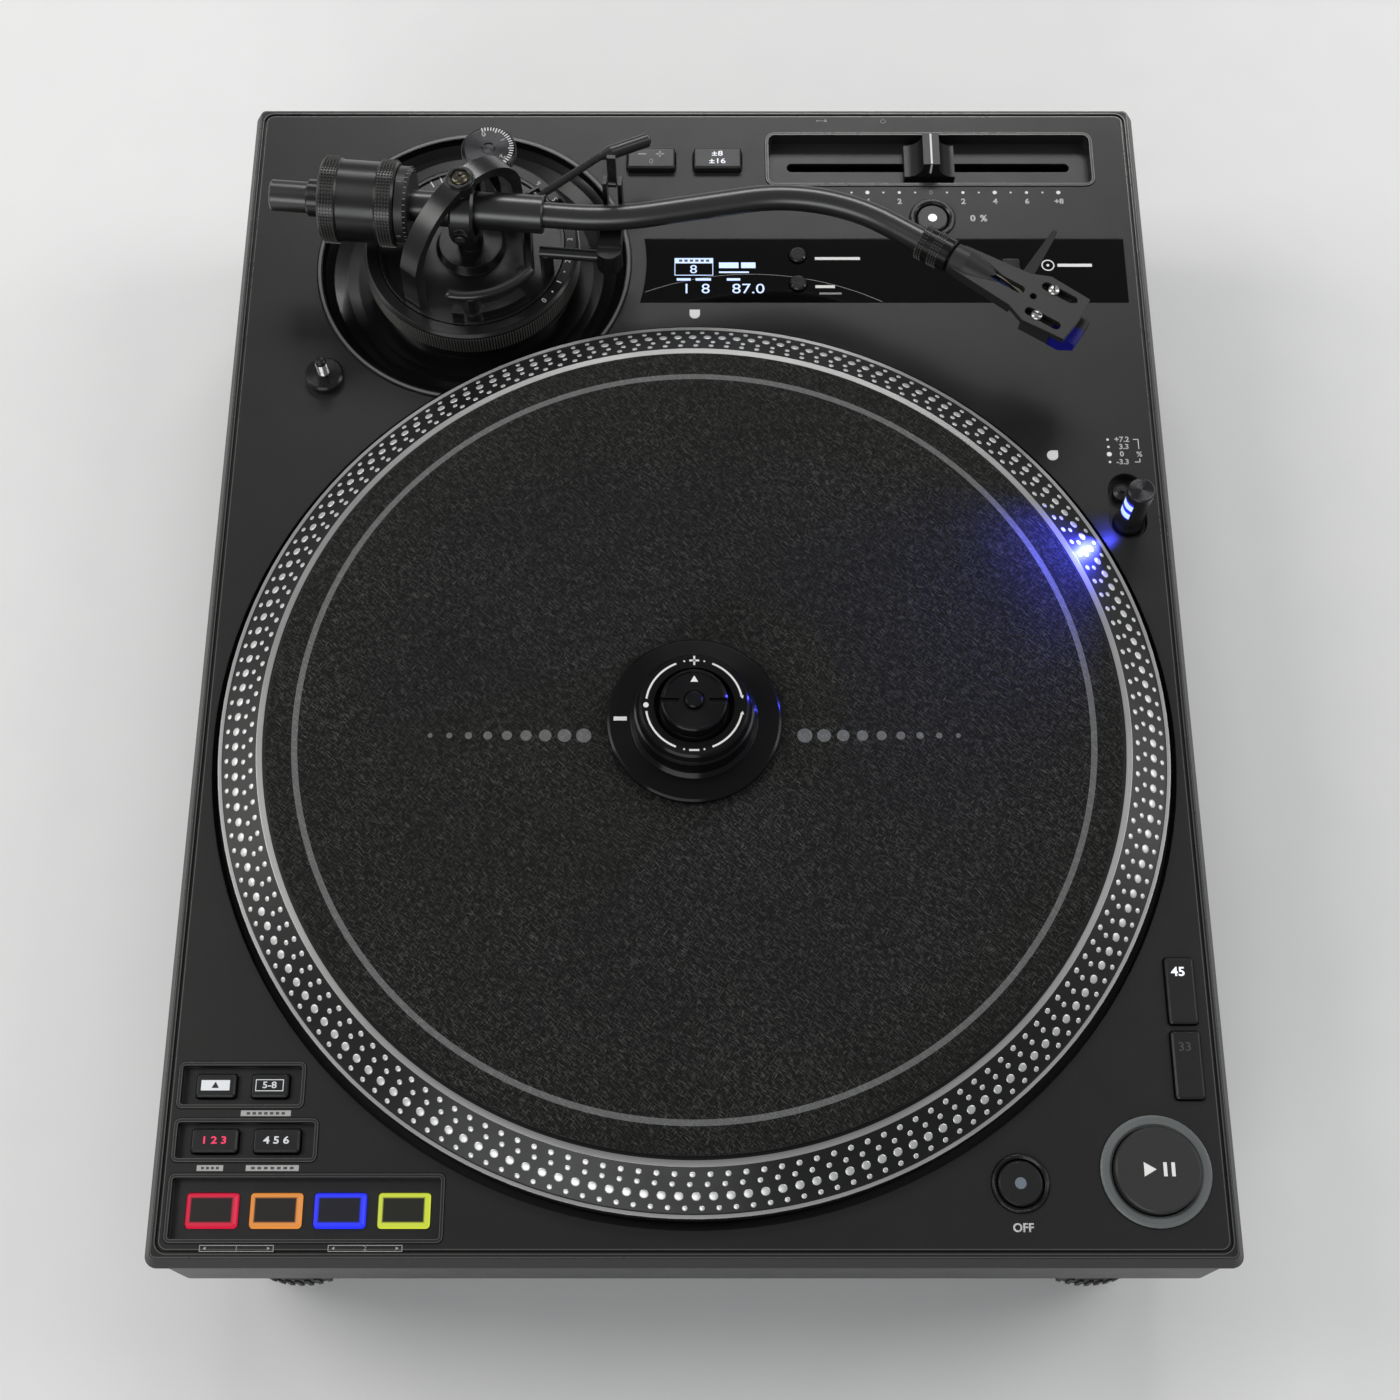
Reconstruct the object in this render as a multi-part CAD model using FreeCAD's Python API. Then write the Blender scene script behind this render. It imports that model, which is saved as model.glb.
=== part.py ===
import FreeCAD, Part
import math
import os
from FreeCAD import Vector

# Direct-drive disc player for mixing, set down with its short side to the player.
# X is right, Y is away from the player, Z is up. The origin is the middle of the base, on the table.
# All sizes are millimetres and all angles are degrees.

# Fits between pieces
SEAT_GAP = 0.1          # fixed piece dropped into its seat
KEY_GAP = 0.35          # key cap in its hole
MOVING_GAP = 0.3        # faces that pass each other
SHAFT_GAP = 0.05        # shaft radius to bore radius

# The platter sets the width of the deck, and the fader takes what the back row leaves
PLATTER_RADIUS = 166.0
PLATTER_SIDE_MARGIN = 10.5
PLATTER_FRONT_MARGIN = 14.1
BACK_SPACE = 106.9          # platter to the back edge
ARM_AREA_WIDTH = 150.0      # left edge to the first tempo key
TEMPO_KEY_WIDTH = 18.9
TEMPO_KEY_SPACE = 7.35
FADER_KEY_SPACE = 9.65
FADER_SIDE_MARGIN = 17.8
DECK_WIDTH = 2 * (PLATTER_RADIUS + PLATTER_SIDE_MARGIN)
FADER_WIDTH = (DECK_WIDTH - ARM_AREA_WIDTH - 2 * TEMPO_KEY_WIDTH - TEMPO_KEY_SPACE - FADER_KEY_SPACE
               - FADER_SIDE_MARGIN)
DECK_DEPTH = PLATTER_FRONT_MARGIN + 2 * PLATTER_RADIUS + BACK_SPACE
LEFT_X = -DECK_WIDTH / 2
RIGHT_X = DECK_WIDTH / 2
FRONT_Y = -DECK_DEPTH / 2
BACK_Y = DECK_DEPTH / 2

# Body of the deck
DECK_CORNER = 4.0
PLATE_Z = 97.0          # top plate above the table
PLATE_THICK = 4.0
CASE_BOTTOM_Z = 50.0
CASE_WALL = 4.0
BEVEL_DROP = 4.8        # sloped edge round the top plate
BEVEL_INSET = 2.5
EDGE_LIP = 1.0
SIDE_INSET = 1.5        # side walls behind the widest line
RIM_WIDTH = 1.5
GROOVE_WIDTH = 1.0
GROOVE_DEPTH = 1.0

PAN_BOTTOM_Z = 30.0
PAN_INSET = 4.0
PAN_WALL = 11.0
PAN_FLOOR = 6.0
PAN_LIP = 5.0           # part of the pan that goes up inside the case

FOOT_RADIUS = 32.0
FOOT_INSET = 36.0
FOOT_RUBBER_RADIUS = 27.0
FOOT_RUBBER_HEIGHT = 7.0
FOOT_STUD_RADIUS = 6.0
FOOT_STUD_LENGTH = 4.5

# Platter and what lies on it
SPINDLE_X = 0.0
SPINDLE_Y = FRONT_Y + PLATTER_FRONT_MARGIN + PLATTER_RADIUS
SPINDLE_RADIUS = 3.6
PLATTER_TOP_Z = 110.5
PLATTER_SLOPE_RUN = 15.0
PLATTER_FLANK_Z = 101.5     # foot of the dotted slope
PLATTER_RING_WIDTH = 1.6    # turned ring at the foot of the slope
PLATTER_SKIRT_Z = 92.0
PLATTER_WALL = 4.0
HUB_RADIUS = 17.0
HUB_BOTTOM_Z = 99.0
PLATTER_CLEAR = 3.0
RECESS_RADIUS = PLATTER_RADIUS + PLATTER_CLEAR
RECESS_FLOOR_Z = 89.0
RECESS_WALL = 3.0
PLATTER_TOP_RADIUS = PLATTER_RADIUS - PLATTER_SLOPE_RUN
MAT_MARGIN = 3.2
MAT_RADIUS = PLATTER_TOP_RADIUS - MAT_MARGIN
MAT_THICK = 2.0
MAT_LIFT = 0.2
MAT_HOLE_RADIUS = 3.9
MAGNET_INNER_RADIUS = 62.0
MAGNET_OUTER_RADIUS = 70.0
MAGNET_HEIGHT = 9.0
STATOR_RADIUS = 58.0
STATOR_BASE_HEIGHT = 3.0
COIL_COUNT = 12
COIL_RADIUS = 10.0
COIL_HEIGHT = 6.0
COIL_CIRCLE = 44.0
BEARING_RADIUS = 12.0
BEARING_BOTTOM_Z = 58.0
BEARING_FLANGE_RADIUS = 22.0
SPINDLE_BOTTOM_Z = 61.0
SPINDLE_TOP_Z = 127.0

# Friction clamp that stands on the mat
CLAMP_BASE_RADIUS = 30.0
CLAMP_BASE_THICK = 3.0
CLAMP_BODY_RADIUS = 20.5
CLAMP_BODY_HEIGHT = 15.5
CLAMP_SCALE_RADIUS = 18.8
CLAMP_WELL_RADIUS = 13.6
CLAMP_WELL_DEPTH = 5.0
CLAMP_DIAL_RADIUS = 11.2
CLAMP_DIAL_RISE = 4.8
CLAMP_PIN_RADIUS = 3.0

# Tone arm: all of it is laid out from the upright bearing axis
PIVOT_FROM_RIM = 49.54       # bearing axis to the rim of the platter
PIVOT_LEFT = 85.4
PIVOT_X = SPINDLE_X - PIVOT_LEFT
PIVOT_Y = SPINDLE_Y + math.sqrt((PLATTER_RADIUS + PIVOT_FROM_RIM) ** 2 - PIVOT_LEFT ** 2)
ARM_Z = 132.0
ARM_REST_ANGLE = -5.0
WELL_RADIUS = 61.0
WELL_RIM_WIDTH = 2.0
WELL_RIM_RISE = 0.5
WELL_FLOOR_Z = 90.0
WELL_FLOOR_RADIUS = 46.0
WELL_BOTTOM_Z = 80.0
WELL_BASE_THICK = 1.5
WELL_SHELL = 3.0
PEDESTAL_RADIUS = 38.5
PEDESTAL_Z = 97.5
STEM_RADIUS = 27.0
HEIGHT_RING_RADIUS = 41.0
HEIGHT_RING_BORE = 36.0
HEIGHT_RING_TOP_Z = 109.0
BASE_RADIUS = 35.6
BASE_TOP_Z = 108.6
BASE_EDGE_WIDTH = 1.2
BASE_EDGE_RISE = 0.7
PILLAR_RADIUS = 5.0
BASE_BOSS_RADIUS = 12.0
BASE_BOSS_HEIGHT = 3.2

HOOP_OUTER_RADIUS = 12.5
HOOP_INNER_RADIUS = 9.5
HOOP_WIDTH = 9.0
HOOP_STUB_RADIUS = 4.0
HOOP_STUB_HEIGHT = 1.5
HOOP_CAP_RADIUS = 3.4
HOOP_CAP_RISE = 1.2
BEARING_PIN_RADIUS = 1.5
BEARING_PIN_DEPTH = 3.0

ARCH_FRONT_ANGLE = -128.3   # directions of its two legs from the bearing, seen from above
ARCH_BACK_ANGLE = 45.0
ARCH_FRONT_REACH = 34.0
ARCH_BACK_REACH = 25.5
ARCH_THICK = 4.5
ARCH_WIDTH = 7.6
ARCH_TOP_Z = 150.0
ARCH_FRONT_SHOULDER_Z = 129.0
ARCH_BACK_SHOULDER_Z = 131.0
ARCH_CROWN_THICK = 3.4
ARCH_BOSS_RADIUS = 5.4
ARCH_BOSS_RISE = 0.6

ANTISKATE_OUT = 29.4
ANTISKATE_ANGLE = 75.2
ANTISKATE_COLUMN_RADIUS = 4.9
ANTISKATE_HOUSING_HEIGHT = 13.0
ANTISKATE_DIAL_RADIUS = 10.3
ANTISKATE_DIAL_Z = 126.8
ANTISKATE_DIAL_THICK = 4.2
DIAL_PIN_HEIGHT = 2.8

HUB_TUBE_RADIUS = 7.0
HUB_FRONT_LENGTH = 29.6
HUB_BACK_LENGTH = 10.0
HUB_SOCKET_DEPTH = 9.0
SHAFT_RADIUS = 5.75
SHAFT_END = 72.9
TUBE_RADIUS = 4.75
TUBE_WALL = 1.0
FIRST_RUN = 54.7            # bearing to the first bend
SECOND_RUN = 80.3
THIRD_RUN = 56.3            # second bend to the gasket of the head shell
SECOND_RUN_ANGLE = 10.0
HEAD_ANGLE = -33.0
FIRST_BEND_RADIUS = 120.0
SECOND_BEND_RADIUS = 75.0

COLLAR_RADIUS = 6.3
COLLAR_LENGTH = 13.2
COLLAR_END_GAP = 0.6
PLUG_RADIUS = 3.7
PLUG_LENGTH = 8.0
SHELL_BARREL_RADIUS = 5.7
SHELL_BARREL_LENGTH = 6.0
SHELL_TOP_Z = 134.4
SHELL_THICK = 2.6
SHELL_LENGTH = 51.5
SHELL_BACK_HALF = 5.7
SHELL_WAIST_HALF = 8.0
SHELL_WAIST_S = 28.0
SHELL_HEAD_S = 35.0
SHELL_HEAD_HALF = 11.0
SHELL_FRONT_HALF = 10.0
SHELL_SLOT_START = 35.5
SHELL_SLOT_END = 46.5
SHELL_SLOT_RADIUS = 1.7
SHELL_SLOT_SPACING = 12.7
WIRE_SLOT_START = 10.0
WIRE_SLOT_END = 28.0
WIRE_SLOT_RADIUS = 1.7
FINGER_LENGTH = 19.0
FINGER_S = 27.0
STYLUS_S = 51.3
CARTRIDGE_BACK = 33.0
CARTRIDGE_LENGTH = 12.0
CARTRIDGE_WIDTH = 15.5
CARTRIDGE_HEIGHT = 11.0
CARTRIDGE_PIN_RADIUS = 0.6
STYLUS_BODY_WIDTH = 12.0
STYLUS_BODY_LENGTH = 10.0
STYLUS_BODY_HEIGHT = 8.0
STYLUS_CLEAR = 0.5          # tip above the mat

WEIGHT_RADIUS = 15.5
WEIGHT_FRONT = 24.7
WEIGHT_BACK = 52.8
WEIGHT_NECK_RADIUS = 6.85
WEIGHT_NECK_LENGTH = 6.0
WEIGHT_BAND_WIDTH = 7.0
WEIGHT_GROOVE = 0.6
BUSH_RADIUS = 8.0
BUSH_LENGTH = 14.0
DIAL_RING_RADIUS = 14.0
DIAL_RING_WIDTH = 5.0

LIFTER_ARC_RADIUS = 31.0
LIFTER_TUBE_RADIUS = 2.0
LIFTER_START_ANGLE = -100.0
LIFTER_POST_ANGLE = -86.0
LIFTER_END_ANGLE = -40.0
LIFTER_TIP_X = 22.4
LIFTER_TIP_Y = -2.6
LIFTER_STROKE = 1.5
LIFTER_POST_RADIUS = 2.4
LIFTER_POST_LENGTH = 18.0
LIFTER_BOSS_RADIUS = 4.0
LIFTER_BOSS_HEIGHT = 5.0

CUE_PLACE = (24.5, 18.9, 112.6)     # axle, bend and tip: right of and behind the bearing, then height
CUE_BEND = (49.0, 34.9, 117.5)
CUE_TIP = (67.8, 45.1, 114.5)
CUE_ROD_RADIUS = 1.5
CUE_PADDLE_RADIUS = 2.7
CUE_AXLE_RADIUS = 1.6
CUE_AXLE_LENGTH = 5.8
CUE_BRACKET_WALL = 1.1
CUE_BRACKET_HALF = 2.8

REST_ROD_RADIUS = 2.3
REST_ROD_Z = 120.6
REST_ROD_OFFSET = -8.6      # rod beside the arm, towards the player
REST_ROD_START = 28.2
REST_BOSS_ALONG = 54.5
REST_BOSS_RADIUS = 4.8
REST_CRADLE_WIDTH = 8.0
REST_FORK_GAP = 4.0
REST_FORK_WALL = 1.6
REST_FORK_TOP_Z = 142.5
REST_FORK_OFFSET = 10.0
CLIP_WIDTH = 3.2
CLIP_THICK = 1.6
CLIP_LENGTH = 15.5
CLIP_PIN_RADIUS = 0.8
CLIP_PIN_DROP = 1.6

# Pitch fader
FADER_FROM_BACK = 26.05
FADER_X = RIGHT_X - FADER_SIDE_MARGIN - FADER_WIDTH / 2
FADER_Y = BACK_Y - FADER_FROM_BACK
FADER_DEPTH = 25.6
FADER_CORNER = 4.0
FADER_SINK = 5.5
TRAY_WALL = 1.2
TRAY_FLOOR = 1.5
FADER_SLOT_WIDTH = 4.0
FADER_END_SPACE = 2.5
FADER_KNOB_WIDTH = 20.0
FADER_KNOB_SPACE = 5.2      # knob at its end stop to the end of the tray
FADER_TRAVEL = (FADER_WIDTH - FADER_KNOB_WIDTH) / 2 - FADER_KNOB_SPACE     # each way from the middle
FADER_KNOB_DEPTH = 15.0
FADER_KNOB_SKIRT = 4.0
FADER_KNOB_HEIGHT = 12.0
FADER_RIDGE_WIDTH = 6.6
FADER_STEM_WIDTH = 8.0
FADER_STEM_THICK = 3.2
FADER_CARRIAGE_HEIGHT = 3.0
FADER_CARRIAGE_DEPTH = 9.0
FADER_RAIL_DROP = 7.4

# Display window
WINDOW_FROM_BACK = 63.8
WINDOW_DEPTH = 29.1
WINDOW_SIDE_MARGIN = 9.1
WINDOW_BACK_Y = BACK_Y - WINDOW_FROM_BACK
WINDOW_FRONT_Y = WINDOW_BACK_Y - WINDOW_DEPTH
WINDOW_RIGHT_X = RIGHT_X - WINDOW_SIDE_MARGIN
WINDOW_ARC_RADIUS = 67.0
WINDOW_THICK = 2.2

# Keys: height of the cap above its surround, travel and depth below the plate
KEY_DEPTH = 8.0
KEY_FLANGE = 1.0
KEY_FLANGE_THICK = 2.0
KEY_BEVEL = 0.6
KEY_CORNER = 1.0

START_SIDE_MARGIN = 27.0
START_FROM_FRONT = 29.8
START_X = RIGHT_X - START_SIDE_MARGIN
START_Y = FRONT_Y + START_FROM_FRONT
START_RADIUS = 13.9
START_RING_INNER = 14.4
START_RING_OUTER = 18.1
START_RISE = 4.4
RING_RISE = 1.0
RING_DEPTH = 3.0

MOTOR_OFF_SPACE = 44.1
MOTOR_OFF_DROP = 3.8
MOTOR_OFF_X = START_X - MOTOR_OFF_SPACE
MOTOR_OFF_Y = START_Y - MOTOR_OFF_DROP
MOTOR_OFF_RADIUS = 7.4
MOTOR_OFF_RING_INNER = 7.9
MOTOR_OFF_RING_OUTER = 9.4
MOTOR_OFF_RISE = 0.6

RESET_FROM_FADER = 15.35
RESET_X = FADER_X
RESET_Y = FADER_Y - FADER_DEPTH / 2 - RESET_FROM_FADER
RESET_RADIUS = 6.2
RESET_RING_INNER = 6.7
RESET_RING_OUTER = 8.9
RESET_RISE = 0.6

SPEED_KEY_WIDTH = 9.5
SPEED_KEY_LENGTH = 22.6
SPEED_KEY_SPACE = 2.4
SPEED_KEY_SIDE_MARGIN = 13.75
SPEED_FROM_START = 34.5
SPEED_KEY_X = RIGHT_X - SPEED_KEY_SIDE_MARGIN
SPEED_33_Y = START_Y + SPEED_FROM_START
SPEED_45_Y = SPEED_33_Y + SPEED_KEY_LENGTH + SPEED_KEY_SPACE
SPEED_KEY_RISE = 1.8

TEMPO_KEY_FROM_BACK = 27.3
RANGE_KEY_X = FADER_X - FADER_WIDTH / 2 - FADER_KEY_SPACE - TEMPO_KEY_WIDTH / 2
STEP_KEY_X = RANGE_KEY_X - TEMPO_KEY_WIDTH - TEMPO_KEY_SPACE
TEMPO_KEY_Y = BACK_Y - TEMPO_KEY_FROM_BACK
TEMPO_KEY_LENGTH = 9.5
TEMPO_KEY_RISE = 3.0

MENU_KEY_FROM_RIGHT = 127.2     # from the right end of the window
MENU_KEY_MARGIN = 7.8
MENU_KEY_PITCH = 12.9
MENU_KEY_X = WINDOW_RIGHT_X - MENU_KEY_FROM_RIGHT
MENU_KEY_UPPER_Y = WINDOW_BACK_Y - MENU_KEY_MARGIN
MENU_KEY_LOWER_Y = MENU_KEY_UPPER_Y - MENU_KEY_PITCH
MENU_KEY_RADIUS = 3.3
MENU_KEY_RISE = 1.6
INPUT_KEY_FROM_RIGHT = 44.4
INPUT_KEY_MARGIN = 12.0
INPUT_KEY_X = WINDOW_RIGHT_X - INPUT_KEY_FROM_RIGHT
INPUT_KEY_Y = WINDOW_BACK_Y - INPUT_KEY_MARGIN
INPUT_KEY_WIDTH = 7.4
INPUT_KEY_LENGTH = 5.5
INPUT_KEY_RISE = 1.0

# Three framed trays at the front left, and the keys in them
TRAY_SIDE_MARGIN = 6.7
TRAY_FRONT_MARGIN = 7.2
TRAY_SINK = 2.6
TRAY_CORNER = 2.0
UPPER_TRAY_WIDTH = 41.8
UPPER_TRAY_DEPTH = 15.3
MIDDLE_TRAY_WIDTH = 47.2
MIDDLE_TRAY_DEPTH = 14.1
LOWER_TRAY_WIDTH = 89.3
LOWER_TRAY_DEPTH = 21.9
UPPER_TRAY_SPACE = 3.3
MIDDLE_TRAY_SPACE = 3.7
TRAY_LEFT_X = LEFT_X + TRAY_SIDE_MARGIN
LOWER_TRAY_RIGHT_X = TRAY_LEFT_X + LOWER_TRAY_WIDTH
LOWER_TRAY_FRONT_Y = FRONT_Y + TRAY_FRONT_MARGIN
LOWER_TRAY_BACK_Y = LOWER_TRAY_FRONT_Y + LOWER_TRAY_DEPTH
MIDDLE_TRAY_RIGHT_X = TRAY_LEFT_X + MIDDLE_TRAY_WIDTH
MIDDLE_TRAY_FRONT_Y = LOWER_TRAY_BACK_Y + MIDDLE_TRAY_SPACE
MIDDLE_TRAY_BACK_Y = MIDDLE_TRAY_FRONT_Y + MIDDLE_TRAY_DEPTH
UPPER_TRAY_RIGHT_X = TRAY_LEFT_X + UPPER_TRAY_WIDTH
UPPER_TRAY_FRONT_Y = MIDDLE_TRAY_BACK_Y + UPPER_TRAY_SPACE
UPPER_TRAY_BACK_Y = UPPER_TRAY_FRONT_Y + UPPER_TRAY_DEPTH
SMALL_KEY_LENGTH = 7.8
SMALL_KEY_RISE = 2.6
SHIFT_KEY_OFFSET = 12.3         # key middles from the left end of the trays
BANK_KEY_OFFSET = 30.1
MODE_LEFT_KEY_OFFSET = 13.4
MODE_RIGHT_KEY_OFFSET = 33.7
PAD_OFFSET = 14.2
PAD_FROM_FRONT = 10.55
SHIFT_KEY_WIDTH = 13.0
BANK_KEY_WIDTH = 12.2
MODE_KEY_WIDTH = 15.1
SHIFT_KEY_X = TRAY_LEFT_X + SHIFT_KEY_OFFSET
BANK_KEY_X = TRAY_LEFT_X + BANK_KEY_OFFSET
MODE_LEFT_KEY_X = TRAY_LEFT_X + MODE_LEFT_KEY_OFFSET
MODE_RIGHT_KEY_X = TRAY_LEFT_X + MODE_RIGHT_KEY_OFFSET
PAD_FIRST_X = TRAY_LEFT_X + PAD_OFFSET
PAD_PITCH = 20.65
PAD_COUNT = 4
PAD_Y = LOWER_TRAY_FRONT_Y + PAD_FROM_FRONT
PAD_WIDTH = 16.3
PAD_LENGTH = 10.7
PAD_RISE = 1.6

# Strobe lamp and accessory stud
STROBE_SIDE_MARGIN = 16.7
STROBE_AHEAD = 85.3             # front end of its recess, ahead of the spindle
STROBE_RECESS_LENGTH = 13.2
STROBE_SHIFT_X = 0.4
STROBE_SHIFT_Y = 1.5
STROBE_RECESS_X = RIGHT_X - STROBE_SIDE_MARGIN
STROBE_RECESS_FRONT_Y = SPINDLE_Y + STROBE_AHEAD
STROBE_RECESS_BACK_Y = STROBE_RECESS_FRONT_Y + STROBE_RECESS_LENGTH
STROBE_RECESS_RADIUS = 6.8
STROBE_RECESS_DEPTH = 4.0
STROBE_X = STROBE_RECESS_X + STROBE_SHIFT_X
STROBE_Y = STROBE_RECESS_FRONT_Y + STROBE_SHIFT_Y
STROBE_RADIUS = 4.9
STROBE_HEIGHT = 22.0
STROBE_WINDOW_Z = 103.0
STROBE_WINDOW_HEIGHT = 12.0
LAMP_BASE_RADIUS = 3.4
STUD_LEFT = 54.4                # from the bearing axis of the arm
STUD_AHEAD = 51.3
STUD_X = PIVOT_X - STUD_LEFT
STUD_Y = PIVOT_Y - STUD_AHEAD
STUD_DISC_RADIUS = 7.2
STUD_DISC_HEIGHT = 3.4
STUD_PIN_RADIUS = 2.0
STUD_PIN_HEIGHT = 9.0

# Connectors in a pocket of the back wall
POCKET_LEFT_X = -104.0
POCKET_RIGHT_X = 136.0
POCKET_BOTTOM_Z = 54.0
POCKET_TOP_Z = 80.0
POCKET_DEPTH = 13.0
POCKET_WALL = 3.0
PANEL_THICK = 2.0
PANEL_MID_Z = 67.0
INLET_X = 112.0
INLET_WIDTH = 27.0
INLET_HEIGHT = 20.0
INLET_DEPTH = 16.0
INLET_RISE = 1.5
INLET_CLEAR = 4.0           # blades end this far inside the panel
SOCKET_WALL = 1.5
BLADE_HALF_WIDTH = 1.0
BLADE_HALF_HEIGHT = 2.0
LINE_BLADE_SPACE = 7.0      # line and neutral blades, from the middle of the inlet
LINE_BLADE_DROP = 1.0
EARTH_BLADE_RISE = 2.5
SWITCH_X = 75.0
SWITCH_WIDTH = 14.0
SWITCH_HEIGHT = 19.0
SWITCH_DEPTH = 12.0
SWITCH_WALL = 2.0
SWITCH_AXLE_RADIUS = 1.5
SWITCH_AXLE_DEPTH = 4.0     # behind the face of the panel
SWITCH_LEAN = 8.0
USB_X = 50.0
USB_WIDTH = 12.0
USB_HEIGHT = 11.0
USB_DEPTH = 14.0
USB_CLEAR = 5.0
USB_RISE = 0.5
USB_TONGUE_HALF_WIDTH = 2.6
USB_TONGUE_HALF_HEIGHT = 1.4
PHONO_LEFT_X = -68.0
PHONO_RIGHT_X = -50.0
PHONO_RADIUS = 4.15
PHONO_LENGTH = 8.5
PHONO_BORE = 1.7
GROUND_X = -90.0
GROUND_RADIUS = 4.0
GROUND_LENGTH = 7.0

# Circuit boards inside the base
MAIN_BOARD_WIDTH = 150.0
MAIN_BOARD_DEPTH = 70.0
MAIN_BOARD_MARGIN_X = 51.5
MAIN_BOARD_MARGIN_Y = 31.5
SUPPLY_WIDTH = 90.0
SUPPLY_DEPTH = 70.0
SUPPLY_MARGIN_X = 56.5
SUPPLY_MARGIN_Y = 31.5
MAIN_BOARD_X = LEFT_X + MAIN_BOARD_MARGIN_X + MAIN_BOARD_WIDTH / 2
MAIN_BOARD_Y = FRONT_Y + MAIN_BOARD_MARGIN_Y + MAIN_BOARD_DEPTH / 2
SUPPLY_X = RIGHT_X - SUPPLY_MARGIN_X - SUPPLY_WIDTH / 2
SUPPLY_Y = BACK_Y - SUPPLY_MARGIN_Y - SUPPLY_DEPTH / 2
BOARD_THICK = 1.6
MAIN_BOARD_BULK = 8.0       # height of the parts on it
SUPPLY_BULK = 9.0
CAPACITOR_RADIUS = 7.0
BOARD_LEG_INSET = 6.0
STANDOFF_HEIGHT = 5.0
STANDOFF_RADIUS = 3.0

PIVOT = Vector(PIVOT_X, PIVOT_Y, 0)
UP = Vector(0, 0, 1)


def direction(angle):
    """Level unit vector at an angle from +X, seen from above."""
    turn = math.radians(angle)
    return Vector(math.cos(turn), math.sin(turn), 0)


def box(x0, x1, y0, y1, z0, z1):
    return Part.makeBox(x1 - x0, y1 - y0, z1 - z0, Vector(x0, y0, z0))


def disc(x, y, radius, z0, z1):
    return Part.makeCylinder(radius, z1 - z0, Vector(x, y, z0))


def ring(x, y, outer, inner, z0, z1):
    return disc(x, y, outer, z0, z1).cut(disc(x, y, inner, z0 - 1, z1 + 1))


def round_wire(x, y, width, depth, corner, z):
    """Closed rectangle with round corners, centred on x, y."""
    half_w = width / 2
    half_d = depth / 2
    slant = corner * math.sqrt(0.5)
    edges = []
    for quarter in range(4):
        turn = FreeCAD.Rotation(UP, 90 * quarter)
        reach_x = half_w if quarter % 2 == 0 else half_d
        reach_y = half_d if quarter % 2 == 0 else half_w
        centre = Vector(reach_x - corner, reach_y - corner, 0)
        start = turn.multVec(centre + Vector(corner, 0, 0))
        middle = turn.multVec(centre + Vector(slant, slant, 0))
        end = turn.multVec(centre + Vector(0, corner, 0))
        following = turn.multVec(Vector(-(reach_x - corner), reach_y, 0))
        place = Vector(x, y, z)
        edges.append(Part.Arc(start + place, middle + place, end + place).toShape())
        edges.append(Part.LineSegment(end + place, following + place).toShape())
    return Part.Wire(edges)


def slab(x, y, width, depth, corner, z0, z1):
    """Upright block with round corners."""
    return Part.Face(round_wire(x, y, width, depth, corner, z0)).extrude(Vector(0, 0, z1 - z0))


def bevel_slab(x, y, width, depth, corner, z0, z1, bevel):
    """Block with round corners whose top edge slopes in."""
    low = slab(x, y, width, depth, corner, z0, z1 - bevel)
    wide = round_wire(x, y, width, depth, corner, z1 - bevel)
    narrow = round_wire(x, y, width - 2 * bevel, depth - 2 * bevel, max(corner - bevel, corner / 2), z1)
    return low.fuse(Part.makeLoft([wide, narrow], True, True)).removeSplitter()


def turned(x, y, profile):
    """Solid of revolution about an upright axis from (radius, z) points."""
    points = [Vector(x + radius, y, z) for radius, z in profile]
    face = Part.Face(Part.makePolygon(points + [points[0]]))
    return face.revolve(Vector(x, y, 0), UP, 360)


def turned_along(origin, heading, profile):
    """Solid of revolution about any axis from (radius, distance) points."""
    points = [Vector(radius, 0, along) for radius, along in profile]
    face = Part.Face(Part.makePolygon(points + [points[0]]))
    solid = face.revolve(Vector(0, 0, 0), UP, 360)
    solid.Placement = FreeCAD.Placement(origin, FreeCAD.Rotation(UP, heading))
    return solid


def rod(start, end, radius):
    run = end - start
    return Part.makeCylinder(radius, run.Length, start, run)


def joined(first, *others):
    solid = first
    for other in others:
        solid = solid.fuse(other)
    return solid.removeSplitter()


def slot_block(start, end, radius, z0, z1):
    """Upright block with round ends between two points."""
    run = end - start
    side = Vector(-run.y, run.x, 0).normalize() * radius
    tip = Vector(run.x, run.y, 0).normalize() * radius
    a = Vector(start.x, start.y, z0)
    b = Vector(end.x, end.y, z0)
    edges = [
        Part.LineSegment(a - side, b - side).toShape(),
        Part.Arc(b - side, b + tip, b + side).toShape(),
        Part.LineSegment(b + side, a + side).toShape(),
        Part.Arc(a + side, a - tip, a - side).toShape(),
    ]
    return Part.Face(Part.Wire(edges)).extrude(Vector(0, 0, z1 - z0))


def prism(points, lift):
    """Flat outline pushed along a vector."""
    return Part.Face(Part.makePolygon(points + [points[0]])).extrude(lift)


ARM_AHEAD = direction(ARM_REST_ANGLE)
ARM_LEFT = direction(ARM_REST_ANGLE + 90)
ARM_CENTRE = PIVOT + UP * ARM_Z
SECOND_AHEAD = direction(SECOND_RUN_ANGLE)
HEAD_AHEAD = direction(HEAD_ANGLE)
HEAD_LEFT = direction(HEAD_ANGLE + 90)
FIRST_BEND = ARM_CENTRE + ARM_AHEAD * FIRST_RUN
SECOND_BEND = FIRST_BEND + SECOND_AHEAD * SECOND_RUN
HEAD_START = SECOND_BEND + HEAD_AHEAD * THIRD_RUN


def on_arm(along, left, z):
    """Point beside the arm: along it from the pivot, to its left, at a height."""
    return PIVOT + ARM_AHEAD * along + ARM_LEFT * left + UP * z


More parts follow.
